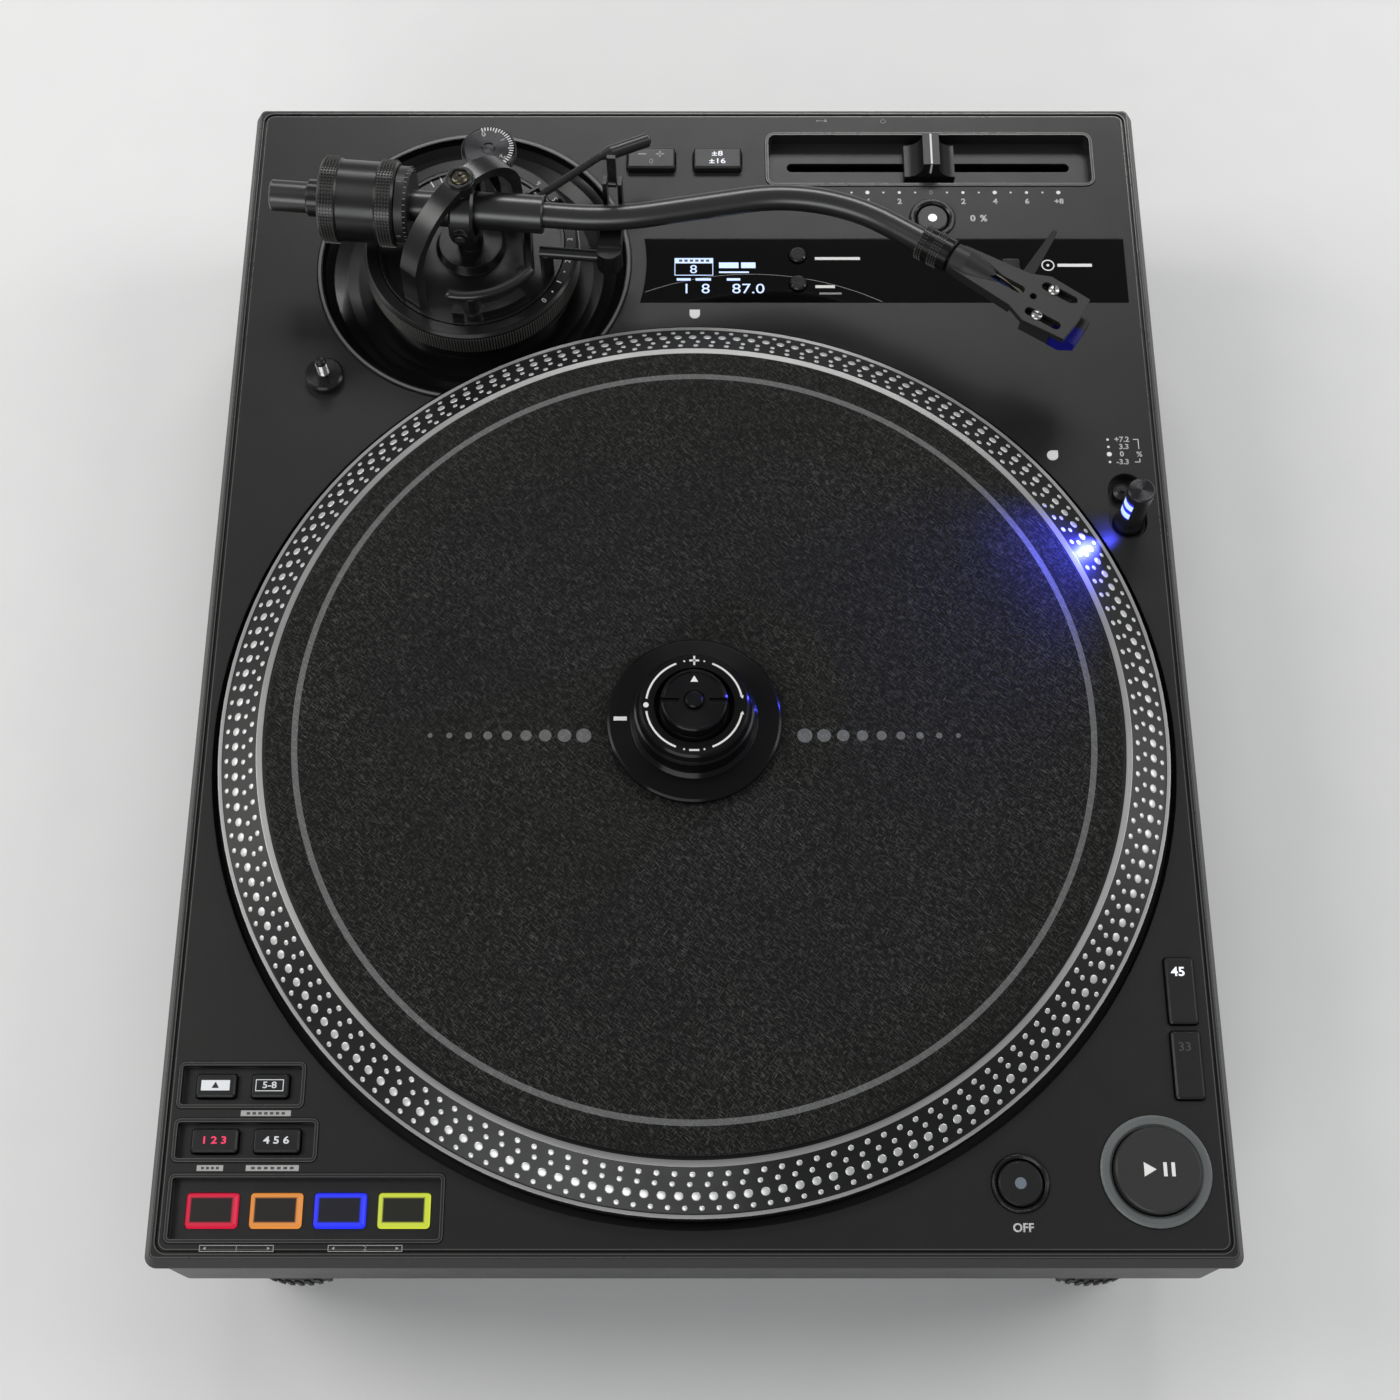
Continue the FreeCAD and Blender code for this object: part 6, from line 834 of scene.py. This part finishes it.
# Lead wires: four strands of fine copper in coloured sleeves, which run from the plug to the cartridge.
# Each is soldered to a gold clip that is pushed on a pin.
def bent_wire(bm, start, end, rise, radius):
    """Round wire bent upwards in one arc between two points."""
    half = (end - start).length / 2
    bend = (half ** 2 + rise ** 2) / (2 * rise)
    outward = (end - start).cross(Vector(UP)).cross(end - start).normalized()
    centre = (start + end) / 2 - outward * (bend - rise)
    axis = (start - centre).cross(end - centre).normalized()
    made = disc(bm, 8, radius)
    put(bm, made, start, aimed(axis.cross(start - centre).normalized()))
    rims = list({e for v in made for e in v.link_edges})
    bmesh.ops.spin(bm, geom=made + rims + faces_of(made), cent=centre * MM, axis=axis,
                   angle=2 * asin(half / bend), steps=12)
    bmesh.ops.recalc_face_normals(bm, faces=bm.faces)


CLIP_ALONG = 30.5
CLIP_LEFT = 2.3
CLIP_HEIGHTS = (124.8, 128.8)
PLUG_ALONG = 6.1
PLUG_HEIGHT = 130.9
bm = bmesh.new()
for side in (-1, 1):
    for height in CLIP_HEIGHTS:
        clip = bmesh.ops.create_cone(bm, cap_ends=True, segments=12, radius1=0.95 * MM, radius2=0.8 * MM,
                                     depth=3.4 * MM)["verts"]
        put(bm, clip, on_shell(CLIP_ALONG, side * CLIP_LEFT, height), aimed(HEAD_AXIS))
gold_clip = grained("gold_clip", (0.75, 0.48, 0.16), 0.25, grain=0.2, metallic=1.0)
settle("cartridge_clips", bm, gold_clip, "head_shell")
LEAD_WIRES = (("red", (0.6, 0.03, 0.02), -1, 1), ("green", (0.04, 0.38, 0.05), -1, 0),
              ("white", (0.8, 0.78, 0.62), 1, 1), ("blue", (0.03, 0.09, 0.6), 1, 0))
for word, colour, side, level in LEAD_WIRES:
    bm = bmesh.new()
    start = on_shell(CLIP_ALONG - 1.5, side * CLIP_LEFT, CLIP_HEIGHTS[level])
    end = on_shell(PLUG_ALONG, side * (0.5 + 0.9 * level), PLUG_HEIGHT)
    bent_wire(bm, start, end, rise=2.6 + 0.6 * level, radius=0.42)
    sleeve = grained("lead_sleeve_" + word, colour, 0.4, grain=0.2, depth=0.03, mottle=0.02)
    settle("lead_wire_" + word, bm, sleeve, "head_shell")

# Cue lever: a bent steel rod with a moulded paddle, on an axle at the side of the arm base.
# It is coated gloss black over its whole length.
dress(grained("cue_lever_coat", (0.02, 0.02, 0.0205), 0.27, grain=0.25, depth=0.04, mottle=0.02),
      "cue_lever")

# Lifter strip: thin black rubber, bonded along the top of the curved lifter bar.
# It keeps the raised arm from sliding.
LIFTER_R = 31.0
LIFTER_TOP = 123.2
bm = bmesh.new()
sweep_line(bm, LIFTER_R, line=1.1, start=-97.0, end=-43.0, steps=18)
face_up(bm, 0.12)
put(bm, bm.verts, (*PIVOT.xy, LIFTER_TOP))
lifter_rubber = grained("lifter_rubber", (0.012, 0.012, 0.0125), 0.7, grain=0.4, depth=0.3)
settle("lifter_strip", bm, lifter_rubber, "lifter")

# Pitch fader: a framed tray moulded in matte black plastic, with a slot for the knob's stem.
# The knob is a moulded saddle whose ridge carries a white line; the scale is printed in front.
FADER = (93.5, 200.45)
KNOB_DEEP = 15.0
KNOB_TOP = 103.8
KNOB_LINE = 0.75
FADER_STEP = 6.28
FADER_DOT_Y = 184.6
FADER_NUMBER_Y = 180.3
LIP_TOP = 97.4
tray_plastic = grained("tray_plastic", (0.0075, 0.0075, 0.008), 0.36, depth=0.12, mottle=0.03)
dress(tray_plastic, "fader_tray")
# The thin bright lines round the fader tray's lip are painted highlights on its edges.
FADER_LIP = [("frame", FADER, 130.3, 25.5, 0.24, 4.0), ("frame", FADER, 128.5, 23.7, 0.24, 3.0)]
print_on("fader_lip_lines", FADER_LIP, edge_highlight_paint, height=LIP_TOP, thick=0.03)
dress(grained("fader_knob_plastic", (0.007, 0.007, 0.0075), 0.36, depth=0.12, mottle=0.02), "pitch_fader")
bm = bmesh.new()
block(bm, (KNOB_LINE, KNOB_DEEP - 0.6, 0.08), (*FADER, KNOB_TOP + 0.04))
block(bm, (KNOB_LINE, 0.08, 5.6), (FADER[0], FADER[1] - KNOB_DEEP / 2, KNOB_TOP - 2.9))
settle("fader_knob_line", bm, white_print, "pitch_fader", smooth=False)
fader_marks = []
for step in [*range(-8, 0), *range(1, 9)]:
    x = FADER[0] + FADER_STEP * step
    fader_marks.append(("dot", (x, FADER_DOT_Y), (0.85, 0.42, 0.65, 0.42)[step % 4]))
    if step % 2 == 0:
        sign = "%+d" % step if abs(step) == 8 else str(abs(step))
        fader_marks.append(("text", (x, FADER_NUMBER_Y), sign, 2.4, 0.12))
print_on("fader_scale", fader_marks, white_print)
print_on("fader_scale_zero", [("text", (FADER[0], FADER_DOT_Y), "0", 2.1)], grey_print)


# Reset key: a round black cap in a turned black ring, with a white lamp under a small lens.
# It brings the tempo back to nought.
def glowing(name, colour, strength, shade=0.4):
    """Frosted plastic lit from behind."""
    return grained(name, tuple(shade * part for part in colour), 0.4, mottle=0.01,
                   Emission_Color=(*colour, 1.0), Emission_Strength=strength)


RESET_Y = 172.3
KEY_TOP = 97.6
key_plastic = grained("key_plastic", (0.0065, 0.0065, 0.007), 0.33, depth=0.1, mottle=0.02)
dress(key_plastic, "motor_off_button", "pitch_reset_button")
lit_white = glowing("lamp_white", (0.9, 0.92, 1.0), 1.0)
print_on("reset_lamp", [("dot", (FADER[0], RESET_Y), 1.75)], lit_white, "pitch_reset_button", KEY_TOP)
RESET_LABEL = [("text", (109.4, RESET_Y), "0", 2.9, 0.13), ("text", (113.6, RESET_Y), "%", 2.9, 0.13)]
print_on("reset_label", RESET_LABEL, white_print)

# Display window: one strip of gloss black acrylic, bonded flush in the top plate, over a small display.
# The display shows plain numbers and bars, and a thin hairline curves across the strip.
dress(grained("window_acrylic", (0.002, 0.002, 0.0022), 0.07, grain=2.0, depth=0.01, mottle=0.006, rub=0.03,
              Specular_IOR_Level=0.2), "display_window")
screen_blue = glowing("screen_pixels", (0.55, 0.68, 1.0), 1.15, shade=0.3)
screen_shade = grained("screen_shade", (0.02, 0.03, 0.07), 0.3, depth=0.02)
SCREEN = [
    ("frame", (-0.15, 149.9), 15.0, 8.0, 0.42), ("bar", (-0.15, 152.7), 15.0, 2.4),
    ("text", (-0.3, 148.6), "8", 3.8, 0.0, 0.0, 1.15),
    ("bar", (13.4, 150.6), 7.6, 2.6), ("bar", (21.0, 150.6), 5.6, 2.6), ("bar", (15.4, 147.4), 11.6, 0.7),
    ("bar", (-4.1, 144.1), 5.4, 1.1), ("bar", (3.5, 144.1), 6.0, 1.1), ("bar", (15.2, 144.1), 5.2, 1.1),
    ("text", (-3.0, 139.7), "1", 4.4, 0.0, 0.0, 1.1), ("text", (4.4, 139.7), "8", 4.4, 0.0, 0.0, 1.15),
    ("text", (20.9, 139.7), "87.0", 4.4, 0.0, 0.0, 1.2),
]
print_on("screen_figures", SCREEN, screen_blue, thick=0.03)
print_on("screen_header_dots", [("bar", (-5.3 + 2.1 * i, 152.7), 1.3, 1.0) for i in range(6)], screen_shade,
         height=DECK_TOP + 0.04, thick=0.02)
WINDOW_MARKS = [("bar", (55.7, 153.7), 17.6, 1.3), ("bar", (50.6, 140.8), 7.6, 1.3)]
print_on("window_key_marks", WINDOW_MARKS, white_print, thick=0.03)
print_on("window_key_sub_mark", [("bar", (52.6, 137.7), 8.6, 0.9)], grey_print, thick=0.03)
print_on("window_hairline", [("arc", (0, 0), 107.4, 0.22, 62.0, 112.5)], grey_print, thick=0.02,
         shift=(22.1, 39.1))
DISC_MARKS = [("arc", (0, 0), 2.3, 0.5, 0, 180), ("arc", (0, 0), 2.3, 0.5, 180, 360), ("dot", (0, 0), 0.6),
              ("bar", (10.4, 0), 13.4, 1.4)]
print_on("input_disc_mark", DISC_MARKS, white_print, thick=0.03, shift=(137.4, 150.6))

# Window keys: two small gloss domes and one square key, moulded in black plastic.
# They stand through holes in the acrylic and press on switches under it.
dress(grained("window_key_gloss", (0.006, 0.006, 0.0065), 0.14, grain=0.5, depth=0.01, mottle=0.01,
              Specular_IOR_Level=0.7), "menu_button_upper", "menu_button_lower", "input_button")

# Start key: a wide matte cap in a frosted grey ring that is turned from clear plastic.
# Its sign is the usual triangle and two bars; the small round key beside it cuts the motor's power.
START = (149.5, -196.7)
START_TOP = 101.4
START_RING_R = 22.0 * MM
dress(grained("start_key_plastic", (0.022, 0.022, 0.0215), 0.42, depth=0.1, mottle=0.02),
      "start_stop_button")
mat, tree, shader = plain_material("key_rings", (0.1, 0.1, 0.1), 0.3)
vector = about(tree, Vector((*START, 0.0)))
pale = turned_skin(tree, vector, (0.17, 0.18, 0.18), 0.24, 0.35, 0.05)
near = maths(tree, "LESS_THAN", polar(tree, vector)[0], START_RING_R)
coat(tree, shader, pale, Base_Color=mixed(tree, near, (0.008, 0.008, 0.008, 1), pale["Colour"]))
dress(mat, "button_rings")
START_SIGN = [("wedge", (-3.4, 0), 2.7, -pi / 2), ("bar", (2.1, 0), 1.2, 4.5),
              ("bar", (4.7, 0), 1.2, 4.5)]
print_on("start_key_sign", START_SIGN, white_print, "start_stop_button", START_TOP, shift=START)
print_on("motor_off_label", [("text", (105.5, -214.6), "OFF", 2.7, 0.1)], white_print)
lamp_off = grained("lamp_unlit", (0.16, 0.19, 0.23), 0.35, depth=0.04)
print_on("motor_off_lamp", [("dot", (105.4, -200.5), 1.9)], lamp_off, "motor_off_button", KEY_TOP)

# Speed keys and tempo keys: square moulded caps that stand through the plate, with lit numbers and signs.
# One of each pair is lit, its neighbour is dim.
SPEED_TOP = 98.8
TEMPO_TOP = 100.0
dress(key_plastic, "speed_45_button", "speed_33_button", "step_pitch_button", "tempo_range_button")
dim_print = grained("dim_key_print", (0.055, 0.055, 0.055), 0.5)
half_dim = grained("half_dim_print", (0.46, 0.46, 0.46), 0.5, depth=0.3)
print_on("speed_45_number", [("text", (162.15, -131.0), "45", 3.0, 0.1, 0.0, 1.1)], lit_white,
         "speed_45_button", SPEED_TOP)
print_on("speed_33_number", [("text", (162.15, -156.4), "33", 2.9, 0.0, 0.0, 1.1)], dim_print,
         "speed_33_button", SPEED_TOP)
STEP_SIGNS = [("bar", (-20.6, 200.8), 3.2, 0.6), ("bar", (-13.6, 200.8), 3.2, 0.6),
              ("bar", (-13.6, 200.8), 0.6, 2.9), ("text", (-17.1, 197.2), "0", 2.4, 0.06)]
print_on("step_key_signs", STEP_SIGNS, half_dim, "step_pitch_button", TEMPO_TOP)
RANGE_SIGNS = [("text", (9.1, 201.0), "±8", 2.3, 0.03, 0.0, 1.3),
               ("text", (9.1, 197.4), "±16", 2.3, 0.03, 0.0, 1.3)]
print_on("range_key_signs", RANGE_SIGNS, lit_white, "tempo_range_button", TEMPO_TOP)

# Key trays: three frames moulded in one plastic with a raised lip, let into the plate from above.
# Their small keys are two-shot mouldings with lit signs.
dress(tray_plastic, "button_trays")
TRAY_SHAPES = (((-148.9, -168.65), 41.8, 15.3), ((-146.2, -186.65), 47.2, 14.1),
               ((-125.15, -208.35), 89.3, 21.9))
# The thin bright lines round each tray's lip are painted highlights on its edges.
lip_lines = [("frame", centre, wide - less, deep - less, 0.24, corner) for centre, wide, deep in TRAY_SHAPES
             for less, corner in ((0.1, 2.0), (1.9, 1.2))]
print_on("tray_lip_lines", lip_lines, edge_highlight_paint, height=LIP_TOP, thick=0.03)
dress(key_plastic, "shift_button", "pad_bank_button", "pad_mode_button_left", "pad_mode_button_right")
SHIFT = (-157.5, -168.7)
BANK = (-139.7, -168.7)
lit_grey = glowing("lamp_grey", (0.55, 0.56, 0.58), 1.0)
lit_pink = glowing("lamp_pink", (0.85, 0.05, 0.13), 1.0)
print_on("shift_key_box", [("bar", SHIFT, 9.4, 3.4)], lit_grey, "shift_button")
# The shift arrow is dark print, sharing the near-black of the painted slot shadow.
print_on("shift_key_arrow", [("wedge", (SHIFT[0], SHIFT[1] - 0.2), 1.4, 0.0)], slot_dark, "shift_button",
         DECK_TOP + 0.06)
BANK_SIGN = [("frame", BANK, 9.2, 3.9, 0.35), ("text", BANK, "5-8", 2.1, 0.05, 0.0, 1.2)]
print_on("bank_key_numbers", BANK_SIGN, lit_grey, "pad_bank_button")
for word, x, sign, lit in (("left", -156.4, "1 2 3", lit_pink), ("right", -136.1, "4 5 6", lit_grey)):
    print_on("mode_%s_numbers" % word, [("text", (x, -186.7), sign, 2.3, 0.08, 0.0, 1.25)], lit,
             "pad_mode_button_" + word)
TRAY_LABELS = [("bar", (-140.2, -177.9), 16.4, 1.9), ("bar", (-156.9, -195.6), 8.6, 1.9),
               ("bar", (-136.7, -195.6), 17.2, 1.9)]
for number, x in (("1", -146.2), ("2", -105.1)):
    TRAY_LABELS += [("frame", (x, -220.9), 23.8, 2.1, 0.34), ("text", (x, -220.9), number, 1.5, 0.05),
                    ("wedge", (x - 10.1, -220.9), 0.62, pi / 2),
                    ("wedge", (x + 10.1, -220.9), 0.62, -pi / 2)]
LABEL_DOTS = [("bar", (x + pitch * i, y), wide, 0.8) for x, y, pitch, wide, count in
              ((-145.9, -177.9, 1.9, 1.1, 7), (-159.3, -195.6, 1.6, 0.9, 4), (-143.0, -195.6, 2.1, 1.2, 7))
              for i in range(count)]
print_on("tray_labels", TRAY_LABELS, ink("label_print", (0.42, 0.42, 0.41)), thick=0.04)
print_on("tray_label_dots", LABEL_DOTS, dim_print, height=DECK_TOP + 0.05, thick=0.03)


# Pads: four caps moulded in smoked translucent plastic, each over a coloured lamp of its own.
# A dark film is printed on their backs, so that the light shows most along their edges.
def lit_edge_group():
    """Mask of light at the edge of a rectangular cap that is centred on the mapped origin."""
    group, given, made = new_group("lit_edge", ("Mask",), Vector=(0, 0, 0), Half_Width=0.008,
                                   Half_Length=0.005, Border=0.0015)
    parts = wired(group, "SeparateXYZ", given["Vector"])
    depths = [maths(group, "SUBTRACT", given[half], maths(group, "ABSOLUTE", part))
              for part, half in ((parts[0], "Half Width"), (parts[1], "Half Length"))]
    share = maths(group, "DIVIDE", maths(group, "MINIMUM", *depths), given["Border"])
    plug(group, made, Mask=ranged(group, share, 0.75, 1.35, 1.0, 0.006,
                                  {"interpolation_type": "SMOOTHSTEP"}))
    return group


LIT_EDGE = lit_edge_group()
PAD_START = Vector((-155.6, -208.75, 0.0))
PAD_STEP = Vector((20.65, 0.0, 0.0))
PAD_LAMPS = (("red", (0.62, 0.008, 0.045)), ("orange", (0.72, 0.26, 0.05)), ("blue", (0.02, 0.035, 1.0)),
             ("yellow", (0.58, 0.66, 0.05)))
for index, (word, colour) in enumerate(PAD_LAMPS):
    mat, tree, shader = plain_material("pad_" + word, (0.012, 0.012, 0.012), 0.32, Emission_Strength=1.0)
    vector = about(tree, PAD_START + PAD_STEP * index)
    edge = grouped(tree, LIT_EDGE, Vector=vector, Half_Width=8.15 * MM, Half_Length=5.35 * MM,
                   Border=1.35 * MM)
    plug(tree, shader, Emission_Color=mixed(tree, edge["Mask"], (0.0, 0.0, 0.0, 1), (*colour, 1)))
    dress(mat, "pad_%d" % (index + 1))

# Strobe lamp: a black metal tower with a turned cap, standing in a round-ended recess of the plate.
# Its blue lamp shines through two slits at the dots on the platter's slope.
STROBE = Vector((160.2, 40.4, 0.0))
STROBE_CAP_Z = 119.0
STROBE_SLITS = (105.4, 111.2)
SLIT_HALF = 1.7
dress(grained("strobe_tower_black", (0.012, 0.012, 0.0125), 0.3, grain=0.2, metallic=0.3), "strobe_tower")
cap_metal = lathed("strobe_cap_turned", (0.075, 0.075, 0.08), 0.26, STROBE, pitch=0.2, depth=0.5)
turned_piece("strobe_cap", "chassis", cap_metal, [(0.02, 0.0), (4.6, 0.0), (4.4, 0.25), (0.02, 0.25)],
             (*STROBE.xy, STROBE_CAP_Z))
mat, tree, shader = plain_material("strobe_lens_blue", (0.02, 0.03, 0.5), 0.2, Emission_Strength=1.2)
height = wired(tree, "SeparateXYZ", here(tree))[2]
slits = [maths(tree, "COMPARE", height, z * MM, SLIT_HALF * MM) for z in STROBE_SLITS]
plug(tree, shader, Emission_Color=mixed(tree, maths(tree, "MAXIMUM", *slits), (0.02, 0.02, 0.55, 1),
                                        (0.55, 0.72, 1.0, 1)))
dress(mat, "strobe_lens")
STROBE_BEAMS = (
    ("slope", (154.2, 35.6, 109.0), (141.5, 24.0, 104.0), 40, 0.5, 0.35),
    ("mat", (153.5, 34.5, 118.5), (70.0, -24.0, 108.0), 100, 1.0, 0.6),
    ("plate", (153.9, 35.2, 108.0), (150.6, 35.0, 97.0), 80, 1.0, 0.035),
)
for word, start, aim, wide, soft, watts in STROBE_BEAMS:
    beam = bpy.data.lights.new("strobe_beam_" + word, "SPOT")
    beam.energy = watts
    beam.color = (0.05, 0.06, 1.0)
    beam.spot_size = radians(wide)
    beam.spot_blend = soft
    beam.shadow_soft_size = 0.8 * MM
    shown(beam.name, beam, Vector(start) * MM, Vector(aim) * MM)
STROBE_LEGEND = [("text", place, sign, 2.15, 0.08) for place, sign in (
    ((159.9, 73.4), "+7.2"), ((160.5, 70.3), "3.3"), ((159.5, 67.2), "0"), ((159.6, 63.9), "-3.3"),
    ((166.0, 67.1), "%"))]
STROBE_LEGEND += [
    ("dot", (154.6, 73.4), 0.5), ("dot", (154.7, 70.3), 0.5), ("dot", (154.8, 67.2), 0.95),
    ("dot", (154.8, 63.9), 0.5), ("bar", (165.1, 73.5), 2.0, 0.3), ("bar", (166.0, 71.5), 0.3, 4.2),
    ("bar", (165.1, 63.9), 2.0, 0.3), ("bar", (166.0, 64.6), 0.3, 1.5),
]
print_on("strobe_legend", STROBE_LEGEND, white_print, thick=0.05)


# Plate marks: two small white tabs that serve as gauges for setting the arm, screen printed on the coat.
# Two grey signs at the back edge stand over the computer socket and the mains switch.
def tab(name, place, size, round_corners):
    """Square mark with some corners cut round."""
    bm = bmesh.new()
    made = bmesh.ops.create_grid(bm, x_segments=1, y_segments=1, size=size * MM / 2)["verts"]
    bmesh.ops.bevel(bm, geom=[made[i] for i in round_corners], offset=size * MM * 0.48, affect="VERTICES",
                    segments=6, profile=0.5, material=-1)
    put(bm, bm.verts, (*place, DECK_TOP + 0.05))
    bmesh.ops.solidify(bm, geom=bm.faces[:], thickness=0.05 * MM)
    settle(name, bm, white_print, "chassis", smooth=False)


tab("arm_gauge_mark_near", (0.2, 128.4), 4.0, (0, 1))
tab("arm_gauge_mark_far", (133.6, 66.7), 4.2, (0, 1, 2))
SOCKET_SIGNS = [("wedge", (52.6, 219.2), 0.9, 0.0), ("bar", (50.6, 219.2), 2.4, 0.3),
                ("dot", (49.3, 219.2), 0.45), ("bar", (75.7, 219.9), 0.26, 1.1)]
print_on("socket_signs", SOCKET_SIGNS, grey_print)
print_on("power_sign_ring", [("arc", (0, 0), 0.95, 0.26, 125, 415)], grey_print, shift=(75.7, 219.0))

# Accessory stud: a disc turned from steel and blackened, screwed into the plate from above.
# Its bright threaded pin takes whatever is to be fixed there.
STUD = Vector((-139.8, 100.2, 0.0))
THREAD_LOW = 101.4
THREAD_STEP = 0.9
dress(lathed("stud_black_zinc", (0.022, 0.022, 0.023), 0.26, STUD, pitch=0.35, depth=0.1, metallic=0.5),
      "accessory_stud")
thread = [(radius, THREAD_LOW + THREAD_STEP * turn + rise) for turn in range(7)
          for radius, rise in ((2.02, 0.0), (2.28, 0.3), (2.02, 0.6))]
thread = [(1.6, THREAD_LOW - THREAD_STEP), *thread, (1.6, THREAD_LOW + 7.2 * THREAD_STEP)]
turned_piece("stud_thread", "chassis", bright_screw, thread, STUD, steps=32)

# Connector pocket: a moulded plate at the back with the sockets fixed through it. The mains inlet and the
# computer socket are black mouldings, the phono sockets and earth post are nickel, told apart by place.
NICKEL_LEFT_OF = -30.0
NICKEL = (0.6, 0.57, 0.5)
BACK_Y = 214.1
BACK = (0, 1, 0)
SOCKET_Z = 67.0
dress(grained("rear_panel_plastic", (0.014, 0.014, 0.0145), 0.5, grain=0.5, depth=0.2, mottle=0.03),
      "rear_panel")
mat, tree, shader = plain_material("socket_nickel_and_black", (0.1, 0.1, 0.1), 0.3)
across = wired(tree, "SeparateXYZ", here(tree))[0]
left = maths(tree, "LESS_THAN", across, NICKEL_LEFT_OF * MM)
skin = grouped(tree, GRAIN, Colour=(0.012, 0.012, 0.012, 1), Roughness=0.33, Mottle=0.02)
coat(tree, shader, skin, Base_Color=mixed(tree, left, skin["Colour"], (*NICKEL, 1)), Metallic=left)
dress(mat, "rear_jacks")
dress(grained("switch_rocker", (0.01, 0.01, 0.0105), 0.25, grain=0.2, depth=0.04), "power_switch")
PANEL_SCREWS = [((x, BACK_Y - 0.1, z), BACK, x) for x in (-99.0, -30.0, 20.0, 93.0, 131.5)
                for z in (57.5, 76.5)]
screws("rear_panel_screws", "chassis", zinc_screw, radius=2.0, rise=1.0, heads=PANEL_SCREWS)
for word, x, colour in (("white", -68.0, (0.55, 0.54, 0.52)), ("red", -50.0, (0.45, 0.02, 0.02))):
    name = "phono_collar_" + word
    turned_piece(name, "chassis", grained(name, colour, 0.4),
                 [(4.3, 0.0), (6.1, 0.0), (6.1, 1.3), (5.7, 1.7), (4.3, 1.7)], (x, BACK_Y, SOCKET_Z), BACK,
                 steps=40)
nickel = grained("nickel_plate", NICKEL, 0.3, metallic=1.0)
EARTH_ROWS = [2.4 + 0.9 * row for row in range(5)]
knurl("earth_post_knurl", "chassis", 4.0, EARTH_ROWS, count=28, size=0.8, proud=0.22,
      place=(-90.0, BACK_Y - 0.1, SOCKET_Z), axis=BACK, metal=nickel)

# Circuit boards: glass fibre boards on metal standoffs, hidden between the case and the pan.
# They are green with resist, and the black parts soldered on them are told apart by height.
BOARD_TOP = 42.6
mat, tree, shader = plain_material("circuit_board", (0.01, 0.12, 0.04), 0.35)
place = here(tree)
above = maths(tree, "GREATER_THAN", wired(tree, "SeparateXYZ", place)[2], (BOARD_TOP + 0.1) * MM)
resist = mixed(tree, noise(tree, place, 160.0, Detail=1.0), (0.006, 0.09, 0.03, 1), (0.02, 0.16, 0.06, 1))
plug(tree, shader, Base_Color=mixed(tree, above, resist, (0.03, 0.03, 0.032, 1)))
dress(mat, "circuit_boards")
